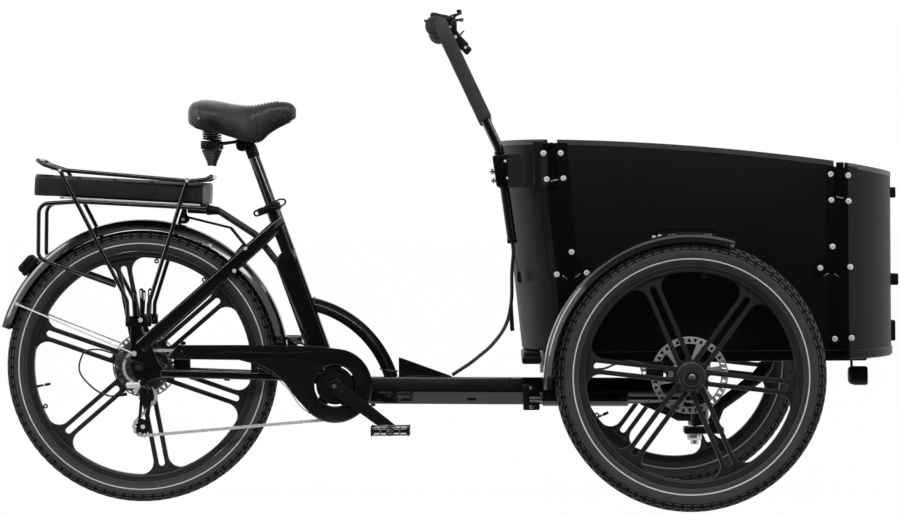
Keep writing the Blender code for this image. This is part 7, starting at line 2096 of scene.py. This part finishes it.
def makeSaddle(settings):
    stations, length = settings["stations"], settings["sections"][-1][0]
    shape = Shape("vinyl")
    rings = []
    for index in range(stations + 1):
        share = index / stations
        place = length * (share - 0.1 * math.sin(2 * math.pi * share) / (2 * math.pi) * 2)
        rings.append(saddleRing(min(max(place, 0.0), length)))
    shape.rings(rings)
    mesh = bpy.data.meshes.new("saddleCage")
    mesh.from_pydata(shape.points, [], shape.faces)
    mesh.materials.append(finishes["vinyl"])
    holder = bpy.data.objects.new("saddleCage", mesh)
    studio.objects.link(holder)
    smooth = holder.modifiers.new("smooth", "SUBSURF")
    smooth.levels = smooth.render_levels = 1
    # soft swelling between the seams
    swell = bpy.data.textures.new("saddleSwell", "CLOUDS")
    swell.noise_scale, swell.noise_depth = 0.035, 1
    push = holder.modifiers.new("swell", "DISPLACE")
    push.texture, push.texture_coords, push.strength, push.mid_level = swell, "LOCAL", 0.0016, 0.5
    cushion = settle(flattened(holder), "saddleCushion", "saddle", slots["vinyl"], "saddle", 48.0)

    # the ribbed crest along the top, the rolled rim of the skirt and the rivets at the rear
    crest = [at(settings["rear"] + place, 0, saddleSection(place)[2] - 0.0002)
            for place in [0.03 + 0.185 * index / 60 for index in range(61)]]
    wide, narrow = Shape("vinyl"), Shape("vinyl")
    for rib, reach in ((wide, 0.015), (narrow, 0.0115)):
        rib.sweep([(0.0, -reach, 0.0), (0.0, 0.0, 0.0008), (0.0, reach, 0.0)],
                boxSection(0.003, 0.0036, 0.0012, 3))
    routeGrowth.grow("saddleRibs", "saddle", routeCurve(crest),
            **{"Count": 25, "Even pattern": wide, "Odd pattern": narrow, "Finish": "vinyl"})
    piping = Shape("plastic")
    for hand in (-1, 1):
        rim = []
        for index in range(56):
            place = 0.02 + 0.226 * index / 55
            half, low = saddleSection(place)[:2]
            rim.append(at(settings["rear"] + place, hand * 0.915 * half, low + 0.0002))
        piping.tube(eased(rim, 2), 0.002, 8, crown=0.001)
    piping.use("steel")
    for hand in (-1, 1):
        half, low = saddleSection(0.03)[:2]
        piping.turned(mm((0, 0), (5.2, 0), (5.2, 3), (4, 4.6), (0, 5)),
                at(0.153, hand * (half * 0.985 - 0.002), low + 0.024), (0, hand, 0.1), 32)
    piping.put("saddlePiping", "saddle")


saddleFrameSettings = {"springAhead": 0.174, "springSide": 0.048, "bolt": (0.2465, 0.8665),
        "railRadius": 0.0035,
        "spring": {"turns": 4, "low": 0.8818, "high": 0.9057, "radius": 0.0175, "wire": 0.0022,
        "anchor": 0.8795}}


def makeSaddleFrame():
    shape, settings = Shape("satin"), saddleFrameSettings
    springAhead, (boltAhead, boltUp) = settings["springAhead"], settings["bolt"]
    for hand in (-1, 1):
        side = hand * settings["springSide"]
        shape.turned(mm((0, 20.5), (21.5, 20.5), (23, 19), (23.5, 15), (23.5, 3), (22.2, 0.8), (18, 0),
                (0, 0)),
                at(springAhead, side, 0.8588), (0, 0, 1), 64)
        lean = -0.004 if hand < 0 else 0.004
        top, foot = at(0.1735 + lean, side, 0.859), at(0.1735 + lean * 0.2, side, 0.818)
        bellows = mm((0, 0), (16.5, 0), (16.8, 4), (15, 5.2), (14.6, 10), (12.8, 11.2), (12.2, 17),
                (10.4, 18.2), (9.8, 24), (7.8, 25.2), (7.2, 31), (6, 33), (6, 38.5), (4.6, 40.2), (0, 40.5))
        shape.use("rubber").turned(bellows, top, foot - top, 48)
        points = placed([(springAhead, side, 0.87), (0.212, hand * 0.022, 0.8745),
                (0.285, hand * 0.022, 0.8835), (0.326, hand * 0.0085, 0.913), (0.34, hand * 0.006, 0.93)])
        shape.use("satin").tube(bent(points, 0.018, 8), settings["railRadius"], 16)
    shape.pin(0.34, 0.93, -0.0118, 0.0118, 0.0045, steps=24)
    shape.pin(boltAhead, boltUp, -0.0268, 0.0268, 0.0112, edge=0.0018, steps=40)
    for hand in (-1, 1):
        shape.turned(mm((0, 0), (12.5, 0), (12.5, 3.5), (11.2, 4.5), (0, 4.5)),
                at(boltAhead, hand * 0.018, boltUp), (0, hand, 0), 48)
        hexNut(shape, at(boltAhead, hand * 0.0266, boltUp), (0, hand, 0), 0.006, 0.0036)
    for up, thick in ((-0.0052, 0.0058), (0.0046, 0.0064)):
        shape.block((0.034, 0.05, thick), at(0.25, 0, 0.8765 + up), -7, 0.0018)
    shape.rod(seatLine(0.604), at(0.2515, 0, 0.874), 0.0125, 0.0105, edge=0.001, steps=40)
    shape.block((0.024, 0.032, 0.0135), at(0.26, 0, 0.8715), -14, 0.002)
    shape.block((0.016, 0.03, 0.016), at(0.2695, 0, 0.87), -19, 0.002)
    low, high = 0.588, 0.616
    shape.turned([(0.0138, low), (0.0144, low), (0.0149, low + 0.0012), (0.0149, high - 0.003),
            (0.0142, high), (0.0, high), (0.0, 0.6125), (0.0138, 0.6125)], seatLine(0), seatUp, 48)
    return shape.put("saddleFrame", "seatpost", "saddle_frame")


def makeSpring(name, side):
    turns, low, high, radius, wire, anchor = saddleFrameSettings["spring"].values()
    ahead = saddleFrameSettings["springAhead"]
    route = []
    for step in range(turns * 24 + 1):
        share = step / (turns * 24)
        angle = 2 * math.pi * turns * share
        route.append(at(ahead + radius * math.cos(angle), side + radius * math.sin(angle),
                low + (high - low) * share))
    shape = Shape("gearSteel").tube(route, wire, 10, crown=0.0008)
    piece = shape.put("saddleSpring." + name, "seatpost", "saddle_spring_" + name)
    tuple(at(ahead, side, anchor))
    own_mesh(piece)


makeSaddle(saddleSettings)
makeSaddleFrame()
makeSpring("right", -saddleFrameSettings["springSide"])
makeSpring("left", saddleFrameSettings["springSide"])
print("saddle made")


# Cables: each is a real length of something flexible

def lengthOf(route):
    return sum((second - first).length for first, second in zip(route, route[1:]))


# a free cord as one open curve
def makeCord(name, body, points, radius, finish, replaces, steps):
    route = eased(points, steps)
    curve = bpy.data.curves.new(name, "CURVE")
    curve.dimensions, curve.bevel_depth, curve.bevel_resolution, curve.use_fill_caps = "3D", radius, 4, True
    spline = curve.splines.new("POLY")
    spline.points.add(len(route) - 1)
    for index, point in enumerate(route):
        spline.points[index].co = (*point, 1)
    spline.use_smooth = True
    curve.materials.append(finishes[finish])
    piece = bpy.data.objects.new(name, curve)
    studio.objects.link(piece)
    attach(piece, body)
    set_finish(piece, slots[finish])
    if replaces:
        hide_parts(replaces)
    lengthOf(route)
    print(name, "%.3f m long" % lengthOf(route))
    return piece


batteryCable = bent(placed(mm((160.3, 0, 712.2), (187.5, 0, 710.5), (279, 0, 650), (342, 0, 568))), 0.04, 8)
makeCord("batteryCable", "rear_frame", batteryCable, 0.0085, "sheath",
        "battery_cable", 1)

shiftCable = placed(mm((-56, -86, 266), (-75.5, -88, 266.8), (-106, -90, 281.3), (-135, -91, 310.2),
        (-144.5, -91, 333.3), (-139, -91, 359), (-127.6, -90.5, 375), (-98.7, -90, 378.4),
        (-69.7, -89.5, 370.9), (-40.8, -89, 360), (-15, -88, 349)))
makeCord("shiftCable", "rear_frame", shiftCable, 0.0021, "sheath", (), 6)

stops = Shape("plastic")
stops.rod(at(-0.016, -0.088, 0.3494), at(0.01, -0.083, 0.34), 0.0036, 0.0044, edge=0.0006, steps=20)
stops.rod(at(-0.058, -0.086, 0.266), at(-0.03, -0.085, 0.27), 0.0036, 0.0044, edge=0.0006, steps=20)
stops.put("shiftCableStops", "rear_frame")

relief = Shape("plastic")
relief.turned(mm((8.7, 0), (12.5, 0), (12.5, 6), (10.8, 14), (10, 24), (9, 30), (8.7, 30)),
        at(0.1603, 0, 0.7122), (0.99, 0, -0.09), 40, loop=True)
relief.put("cableGland", "rear_frame")

loomPoints = placed(mm((902, -205, 627.7), (904, -204, 608), (900, -196, 558), (898, -170, 487),
        (884, -133, 430), (852, -84, 383), (816, -42, 350), (792, -17, 331), (770, -4, 316.5),
        (754, 0, 306)))


# the loom from the handlebar to the frame
def makeLoom():
    route = eased(loomPoints, 34)
    ribs = [1.0 - 0.07 * (index % 2) for index in range(len(route))]
    shape = Shape("sheath").tube(route, 0.0045, 14, scales=ribs)
    mesh = bpy.data.meshes.new("cableLoom")
    mesh.from_pydata(shape.points, [], shape.faces)
    mesh.materials.append(finishes["sheath"])
    piece = settle(mesh, "cableLoom", None, slots["sheath"], "cable_loom", 60.0)
    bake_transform(piece)
    lengthOf(route)
    [tuple(point) for point in route[::8]] + [tuple(route[-1])]
    print("cableLoom %.3f m long" % lengthOf(route))


makeLoom()

# two thin wires from the handlebar's leg to a small connector on the rear panel
for name, shift in (("upper", 0.0), ("lower", 0.006)):
    wire = placed([(0.903, -0.202 + shift, 0.629), (0.904, -0.196 + shift, 0.612),
            (0.908, -0.18 + shift, 0.592), (0.912, -0.164 + shift, 0.579), (0.916, -0.155, 0.561 - shift)])
    makeCord("lampWire." + name, "carriage", wire, 0.0012, "sheath", (), 6)

# that connector, the plug of the loom on the rear panel, and the sill below the panel
fittings = Shape("plastic")
fittings.block((0.01, 0.012, 0.026), at(0.917, -0.1535, 0.546), -6, 0.0018)
fittings.block((0.01, 0.014, 0.056), at(0.8985, -0.188, 0.447), -3, 0.0018)
fittings.block((0.006, 0.01, 0.014), at(0.899, -0.188, 0.48), -3, 0.001)
fittings.block((0.046, 0.44, 0.018), at(0.945, 0, 0.35), edge=0.005)
fittings.block((0.04, 0.42, 0.012), at(0.947, 0, 0.363), edge=0.002)
fittings.put("rearSill", "carriage")
print("cables made")


# Carriage under the box: rails, cross members, axle beam, steering yoke and its pivot


# a plate across Y whose two faces draw in towards a centre; reach is how far its rim stands from there
def chamferedPlate(shape, outline, centre, low, high, edge, reach):
    centre, rim = Vector(centre), softened(outline, 0.005, 5)
    rings = []
    for inset, side in ((edge, low), (0.0, low + edge), (0.0, high - edge), (edge, high)):
        points = [centre + (point - centre) * (1 - inset / reach) for point in rim]
        rings.append([at(point.x, side, point.y) for point in points])
    return shape.rings(rings)


carriageSettings = {
    "crossAhead": (0.991, 1.52, 1.72), "tube": 0.026, "height": 0.358, "railSide": 0.235,
        "railMiddle": 1.3555, "railLength": 0.755,
    "pivotAhead": 1.341,
}


def makeCarriage(settings):
    shape = Shape("satin")
    tube, level, pivot = settings["tube"], settings["height"], settings["pivotAhead"]
    for hand in (-1, 1):
        shape.block((settings["railLength"], tube, tube), at(settings["railMiddle"],
                hand * settings["railSide"], level), edge=0.0026)
        for end in (0.9779, 1.7331):
            shape.use("plastic").block((0.003, 0.0225, 0.0225), at(end, hand * settings["railSide"], level),
                    edge=0.001)
            shape.use("satin")
    for ahead in settings["crossAhead"]:
        shape.block((tube, 0.446, tube), at(ahead, 0, level), edge=0.0026)
    shape.block((0.04, 0.598, tube), at(1.312, 0, level), edge=0.0026)
    shape.block((0.11, 0.09, 0.013), at(pivot, 0, 0.3405), edge=0.0014)
    shape.turned(mm((10.5, 318.3), (25, 318.3), (26, 319.3), (26, 343), (10.5, 343)), at(pivot, 0, 0),
            (0, 0, 1), 64, loop=True)
    shape.block((0.07, 0.04, 0.013), at(1.331, -0.12, 0.3405), edge=0.0014)
    shape.block((0.03, 0.03, 0.0815), at(1.351, -0.12, 0.30225), edge=0.0022)
    for hand in (-1, 1):
        outline = mm((1287, 371), (1287, 330), (1296, 302), (1328, 302), (1337, 330), (1337, 371))
        low, high = sorted((hand * 0.291, hand * 0.299))
        chamferedPlate(shape, outline, (1.312, 0.3365), low, high, 0.001, 0.03)
        shape.use("steel").turned(mm((0, 291), (7, 291), (7, 422.5), (6, 423.5), (0, 423.5)),
                at(frontAxle[0], 0, frontAxle[1]), (0, hand, 0), 48)
        hexNut(shape, at(frontAxle[0], hand * 0.2905, frontAxle[1]), (0, -hand, 0), 0.012, 0.007)
        shape.use("satin")
    # weld beads where the tubes meet
    for ahead in settings["crossAhead"]:
        for hand in (-1, 1):
            edgeAt = hand * 0.2222
            for shift in (-0.0134, 0.0134):
                bead(shape, [at(ahead + shift, edgeAt, 0.3455), at(ahead + shift, edgeAt, 0.3705)], 0.0022)
    shape.put("carriageFrame", "carriage", "carriage_frame")

    yoke = Shape("satin")
    yoke.block((0.095, 0.08, 0.015), at(1.363, 0, 0.1675), edge=0.0022)
    for hand in (-1, 1):
        corners = placed(mm((1381, 28, 170), (1401, 34, 225), (1495, 60, 295), (1520, 62, 325),
                (1520, 62, 344.7)), hand)
        yoke.tube(bent(corners, 0.03, 10), 0.011, 28, crown=0.0005)
        yoke.turned(mm((10.5, -3.5), (14.5, -3.5), (15.5, -2), (11.2, 0.5)), corners[-1], (0, 0, 1), 32,
                loop=True)
        bead(yoke, [at(1.381 + 0.0118 * math.cos(a), hand * 0.028 + 0.0118 * math.sin(a), 0.1757)
                for a in fullTurn(24) + [2 * math.pi]], 0.0022)
    yoke.put("lowerYoke", "carriage", "lower_yoke")

    pin = Shape("steel")
    pin.turned(mm((0, 133), (8.8, 133), (10, 134.5), (10, 347.3), (0, 347.3)), at(pivot, 0, 0), (0, 0, 1),
            48)
    hexNut(pin, at(pivot, 0, 0.1437), (0, 0, 1), 0.018, 0.016)
    hexNut(pin, at(pivot, 0, 0.3473), (0, 0, 1), 0.017, 0.012)
    pin.turned(mm((10, 159.7), (21, 159.7), (21, 157.5), (10, 157.5)), at(pivot, 0, 0), (0, 0, 1), 48,
            loop=True)
    pin.put("kingpin", "carriage", "kingpin")


# Steering damper: clamp on the frame, body, piston rod and ball joint

damperSettings = {"foot": (0.945, -0.060), "tip": (1.351, -0.120), "height": 0.249, "bolts": (0.230, 0.276)}


def makeDamper(settings):
    (ahead, side), height = settings["foot"], settings["height"]
    start, end = at(ahead, side, height), at(*settings["tip"], height)
    along = (end - start).normalized()
    shape = Shape("satin")
    shape.block((0.04, 0.036, 0.062), at(ahead, -0.043, 0.253), edge=0.003)
    for level in settings["bolts"]:
        shape.use("steel").pin(ahead, level, side, -0.0645, 0.0042, edge=0.0006, steps=24)
        shape.use("plastic").pin(ahead, level, -0.064, -0.0647, 0.0022, steps=6)
    shape.use("gearSteel").turned(mm((0, -3.8), (7.5, -3.8), (8.5, -2.8), (8.5, 33.5), (0, 33.5)), start,
            along, 40)
    shape.use("paint").turned(mm((0, 28), (16, 28), (17, 29.2), (17, 42), (16.4, 42.8), (17, 43.6),
            (17, 220), (16.4, 220.8), (17, 221.6), (17, 233), (15.5, 235), (6.8, 235), (6.8, 200), (0, 200)),
            start, along, 72)
    shape.put("steeringDamper", "rear_frame", "steering_damper")
    full = (end - start).length
    rod = Shape("gearSteel")
    rod.turned([(0, full - 0.3), (0.006, full - 0.3), (0.006, full - 0.034), (0.0085, full - 0.034),
            (0.0085, full - 0.016), (0.007, full - 0.012), (0.0055, full - 0.006), (0, full - 0.006)],
            start, along, 48)
    rod.use("satin").turned(mm((0, -11.3), (10, -11.5), (11, -10.5), (11, 10.5), (10, 11.5), (0, 11.3)), end,
            (0, 0, 1), 48)
    rod.put("damperRod", "damper_rod", "damper_rod")


# Headlight and its bracket


# an upright ring between an oval and a rectangle
def lampRing(ahead, half, tall, height):
    ring = []
    for angle in fullTurn(48):
        across, up = (math.copysign(abs(value) ** 0.62, value)
                for value in (math.cos(angle), math.sin(angle)))
        ring.append(at(ahead, half * across, height + tall * up))
    return ring


lampSettings = {"height": 0.2965, "glass": (0.0244, 0.0194), "bracketAhead": 1.723,
        "ribs": (1.729, 1.735, 1.741)}


def makeHeadlight(settings):
    shape = Shape("satin")
    shape.block((0.004, 0.03, 0.045), at(settings["bracketAhead"], 0, 0.3222), edge=0.0006)
    shape.block((0.022, 0.03, 0.004), at(settings["bracketAhead"], 0, 0.3427), edge=0.0006)
    shape.use("plastic")
    rings = []
    for ahead, half, tall, shift in ((1.715, 0.016, 0.013, 0.002), (1.7158, 0.02, 0.017, 0.002),
            (1.72, 0.0255, 0.021, 0.001), (1.73, 0.028, 0.0228, 0.0), (1.754, 0.028, 0.023, 0.0),
            (1.7588, 0.0276, 0.0226, 0.0), (1.76, 0.0266, 0.0216, 0.0), (1.7594, 0.025, 0.02, 0.0),
            (1.756, 0.0245, 0.0195, 0.0)):
        rings.append(lampRing(ahead, half, tall, settings["height"] + shift))
    shape.rings(rings)
    shape.use("clear")
    glassHalf, glassTall = settings["glass"]
    rings = []
    for ahead, share in ((1.756, 1.0), (1.7578, 0.97), (1.7588, 0.75), (1.7593, 0.35), (1.7594, 0.02)):
        rings.append(lampRing(ahead, glassHalf * share, glassTall * share, settings["height"]))
    shape.rings(rings)
    shape.use("steel")
    for side in (-0.009, 0.009):
        shape.rod(at(1.7205, side, 0.339), at(1.7185, side, 0.339), 0.0036, steps=6)
    for ahead in settings["ribs"]:
        shape.use("plastic").block((0.0022, 0.046, 0.0016), at(ahead, 0, 0.3186), edge=0.0005)
    shape.put("headlight", "carriage", "headlight")


# Front wheels' fenders and brake callipers; the left set is the right one seen in a mirror

# shell: thickness, half width, drop, first and last angle
frontFenderSettings = {"ahead": frontAxle[0], "height": 0.308, "radius": 0.338,
        "shell": (0.003, 0.032, 0.016, 72, 183),
        "bolts": ((1.233, 0.64), (1.2465, 0.642)), "rivets": (84.0, 91.5)}


def makeFrontFender(name, hand):
    side = hand * halfTrack
    shape = Shape("gloss")
    ahead, height, radius = (frontFenderSettings[key] for key in ("ahead", "height", "radius"))
    fenderShell(shape, ahead, side, height, radius, *frontFenderSettings["shell"])
    shape.use("satin").use("paint")
    corners = placed(mm((1262, 301.3, 649.5), (1262, 395, 645), (1362, 395, 645), (1362, 301.3, 649.5)),
            hand)
    shape.tube(bent(corners, 0.012, 8), 0.0045, 20, crown=0.0005)
    shape.block((0.14, 0.003, 0.026), at(1.312, hand * 0.3018, 0.6515), edge=0.0008)
    shape.use("zinc")
    for boltAhead, level in frontFenderSettings["bolts"]:
        shape.turned(mm((0, -0.6), (4.8, -0.6), (4.8, 2.4), (4, 3.6), (2.4, 3.8), (0, 3.8)),
                at(boltAhead, hand * 0.3034, level), (0, hand, 0), 28)
    for degrees in frontFenderSettings["rivets"]:
        angle = math.radians(degrees)
        place = at(ahead, side, height) + heading(degrees) * (radius + 0.0002)
        shape.turned(mm((0, 0), (4.6, 0), (4.4, 1.2), (3, 2.4), (0, 2.8)), place,
                (math.cos(angle), 0, math.sin(angle)), 28)
    shape.put("frontFender." + name, "carriage", "front_fender_" + name)


def makeCaliper(name, hand):
    disc = hand * 0.333
    shape = Shape("satin")
    for middle in (disc - 0.0075, disc + 0.0075):
        outline = mm((1211, 311), (1224, 308), (1251, 315), (1251, 344), (1240, 352), (1218, 350),
                (1211, 340))
        chamferedPlate(shape, outline, (1.231, 0.33), middle - 0.00425, middle + 0.00425, 0.0014, 0.02)
    shape.block((0.036, 0.012, 0.006), at(1.231, disc, 0.3484), edge=0.001)
    shape.turned(mm((0, 0), (10.5, 0), (10.5, 1.8), (9, 2.6), (7, 2.6), (6.6, 1.2), (0, 1.2)),
            at(1.228, disc + hand * 0.0116, 0.33), (0, hand, 0), 40)
    shape.block((0.075, 0.004, 0.024), at(1.261, hand * 0.3013, 0.338), edge=0.001)
    shape.block((0.022, 0.024, 0.024), at(1.236, hand * 0.3113, 0.338), edge=0.002)
    shape.use("zinc")
    for ahead in (1.233, 1.248):
        shape.pin(ahead, 0.3465, hand * 0.303, hand * 0.3068, 0.0034, steps=6)
    for ahead in (1.282, 1.293):
        shape.turned(mm((0, 0), (4.6, 0), (4.6, 2), (3.6, 3), (0, 3)), at(ahead, hand * 0.3031, 0.338),
                (0, hand, 0), 28)
    shape.put("frontCaliper." + name, "carriage", "front_caliper_" + name)


makeCarriage(carriageSettings)
makeDamper(damperSettings)
makeHeadlight(lampSettings)
for name, hand in (("right", -1), ("left", 1)):
    makeFrontFender(name, hand)
    makeCaliper(name, hand)
print("carriage, damper, headlight, fenders and callipers made")


# Brake hoses of the front wheels: each comes from under the box and loops to its calliper
for name, hand in (("right", -1), ("left", 1)):
    hose = placed(mm((1212, 333, 344), (1196, 333, 348), (1170, 326, 352), (1140, 308, 344),
            (1115, 286, 333), (1080, 265, 330), (1045, 252, 331), (1015, 245, 337), (1000, 235, 347)), hand)
    makeCord("brakeHose." + name, "carriage", hose, 0.0025, "sheath", (), 5)


# Pieces whose shape is the frame's own, with softened edges
plainFinish = {
    "gloss_black_paint": "paint", "satin_black_metal": "satin", "black_panel": "panel",
    "dark_wheel_alloy": "alloy", "tyre_rubber": "rubber", "bright_steel": "steel",
    "black_plastic": "plastic", "saddle_vinyl": "vinyl", "bar_foam": "foam", "red_lens": "red",
}
slotOf = {part["node"]: part["material_slot"] for part in frame["record"]["subparts"]}
for node in sorted(frame["nodes"]):
    if not frame["nodes"][node].hide_render:
        refined(node, plainFinish[slotOf[node]])
print("frame's own shapes finished")


# Studio: pale floor, white surroundings, soft lamps and the photograph's camera

studioSettings = {
    "floorGlow": 0.988, "worldOnObject": 0.22,
    # lamps: name, place, width, height, power
    # dark cards: name, half width, the near edge's side and height, the far edge's
    "lamps": (("keyStrip", (0.0, -2.6, 3.2), 5.0, 0.5, 110.0),
        ("rearStrip", (-3.6, -0.6, 2.2), 0.7, 2.6, 40.0), ("frontStrip", (3.9, -0.8, 2.0), 0.7, 2.6, 40.0)),
    "cards": (("cameraCard", 9, -10.5, -0.5, -10.5, 7), ("overheadCard", 4, -8.5, 4.2, -0.6, 4.4),
        ("groundCard", 9, -10.5, 0.002, -0.47, 0.002)),
    # camera: place, turns in degrees, focal length and picture width in pixels
    "camera": (0.8809, -8.2747, 0.7363), "turns": (0.904, 1.003, 0.485), "focal": 3404.3, "pixels": 900,
}


def whiteForCamera(finish):
    rays = ("Is Camera Ray", "Is Glossy Ray", "Is Transmission Ray")
    seen = [finish.node("ShaderNodeLightPath", output=name) for name in rays]
    return finish.node("ShaderNodeMath", {"operation": "MAXIMUM"}, {0: finish.node(
        "ShaderNodeMath", {"operation": "MAXIMUM"}, {0: seen[0], 1: seen[1]}), 1: seen[2]})


def makeStudio(glow, worldLevel):
    bpy.context.scene.view_settings.view_transform = "Standard"
    world = bpy.data.worlds.new("studio")
    bpy.context.scene.world = world
    world.use_nodes = True
    sky = Finish("skyMaths")  # borrowed for its node method, on the world's own tree
    sky.tree = world.node_tree
    background = world.node_tree.nodes["Background"]
    background.inputs["Color"].default_value = (1, 1, 1, 1)
    shown = whiteForCamera(sky)
    sky.feed(background.inputs["Strength"], shown * (1 - worldLevel) + worldLevel)
    bpy.data.materials.remove(sky.material)

    floor = Finish("paleFloor", Roughness=0.9)
    floor.colour(floor.mix(floor.noise(1.5), (0.78, 0.78, 0.78), (0.82, 0.82, 0.82)))
    shine = floor.node("ShaderNodeEmission", None, {"Color": (1, 1, 1, 1), "Strength": 1.0})
    surface = Wire(floor, floor.shader.outputs[0])
    both = floor.node("ShaderNodeMixShader", None, {0: whiteForCamera(floor) * glow, 1: surface, 2: shine})
    floor.tree.links.new(both.socket, floor.tree.nodes["Material Output"].inputs["Surface"])
    mesh = bpy.data.meshes.new("floor")
    mesh.from_pydata([(-60, -60, 0), (60, -60, 0), (60, 60, 0), (-60, 60, 0)], [], [(0, 1, 2, 3)])
    mesh.materials.append(floor.material)
    ground = bpy.data.objects.new("floor", mesh)
    ground.location.z = -0.0005
    studio.objects.link(ground)


def softbox(name, place, target, width, height, power):
    lamp = bpy.data.lights.new(name, "AREA")
    lamp.shape, lamp.size, lamp.size_y, lamp.energy = "RECTANGLE", width, height, power
    holder = bpy.data.objects.new(name, lamp)
    holder.location = place
    holder.rotation_euler = (Vector(target) - Vector(place)).to_track_quat("-Z", "Y").to_euler()
    studio.objects.link(holder)


# a dark card behind the camera and one overhead keep the black paint's flat faces black
def darkCard(name, corners):
    card = Finish(name, Roughness=1.0)
    card.colour(card.mix(card.noise(2.0), (0.004, 0.004, 0.004), (0.006, 0.006, 0.006)))
    mesh = bpy.data.meshes.new(name)
    mesh.from_pydata(corners, [], [(0, 1, 2, 3)])
    mesh.materials.append(card.material)
    holder = bpy.data.objects.new(name, mesh)
    holder.visible_camera = holder.visible_diffuse = holder.visible_shadow = False
    studio.objects.link(holder)


def makeCamera():
    lens = bpy.data.cameras.new("view")
    settings = studioSettings
    lens.sensor_width, lens.lens = 36.0, 36.0 * settings["focal"] / settings["pixels"]
    camera = bpy.data.objects.new("view", lens)
    yaw, pitch, roll = (math.radians(value) for value in settings["turns"])
    forward = Vector((-math.sin(yaw) * math.cos(pitch), math.cos(yaw) * math.cos(pitch), -math.sin(pitch)))
    right = Vector((math.cos(yaw), math.sin(yaw), 0))
    up = right.cross(forward)
    right, up = right * math.cos(roll) - up * math.sin(roll), up * math.cos(roll) + right * math.sin(roll)
    turn = Matrix((right, up, -forward)).transposed()
    camera.matrix_world = Matrix.Translation(at(*settings["camera"])) @ turn.to_4x4()
    lens.clip_end = 200
    studio.objects.link(camera)
    bpy.context.scene.camera = camera


makeStudio(studioSettings["floorGlow"], studioSettings["worldOnObject"])
for name, place, width, height, power in studioSettings["lamps"]:
    softbox(name, place, (0, 0, 0.5), width, height, power)
for name, half, near, low, far, high in studioSettings["cards"]:
    darkCard(name, [(-half, near, low), (half, near, low), (half, far, high), (-half, far, high)])
makeCamera()
print("studio set")
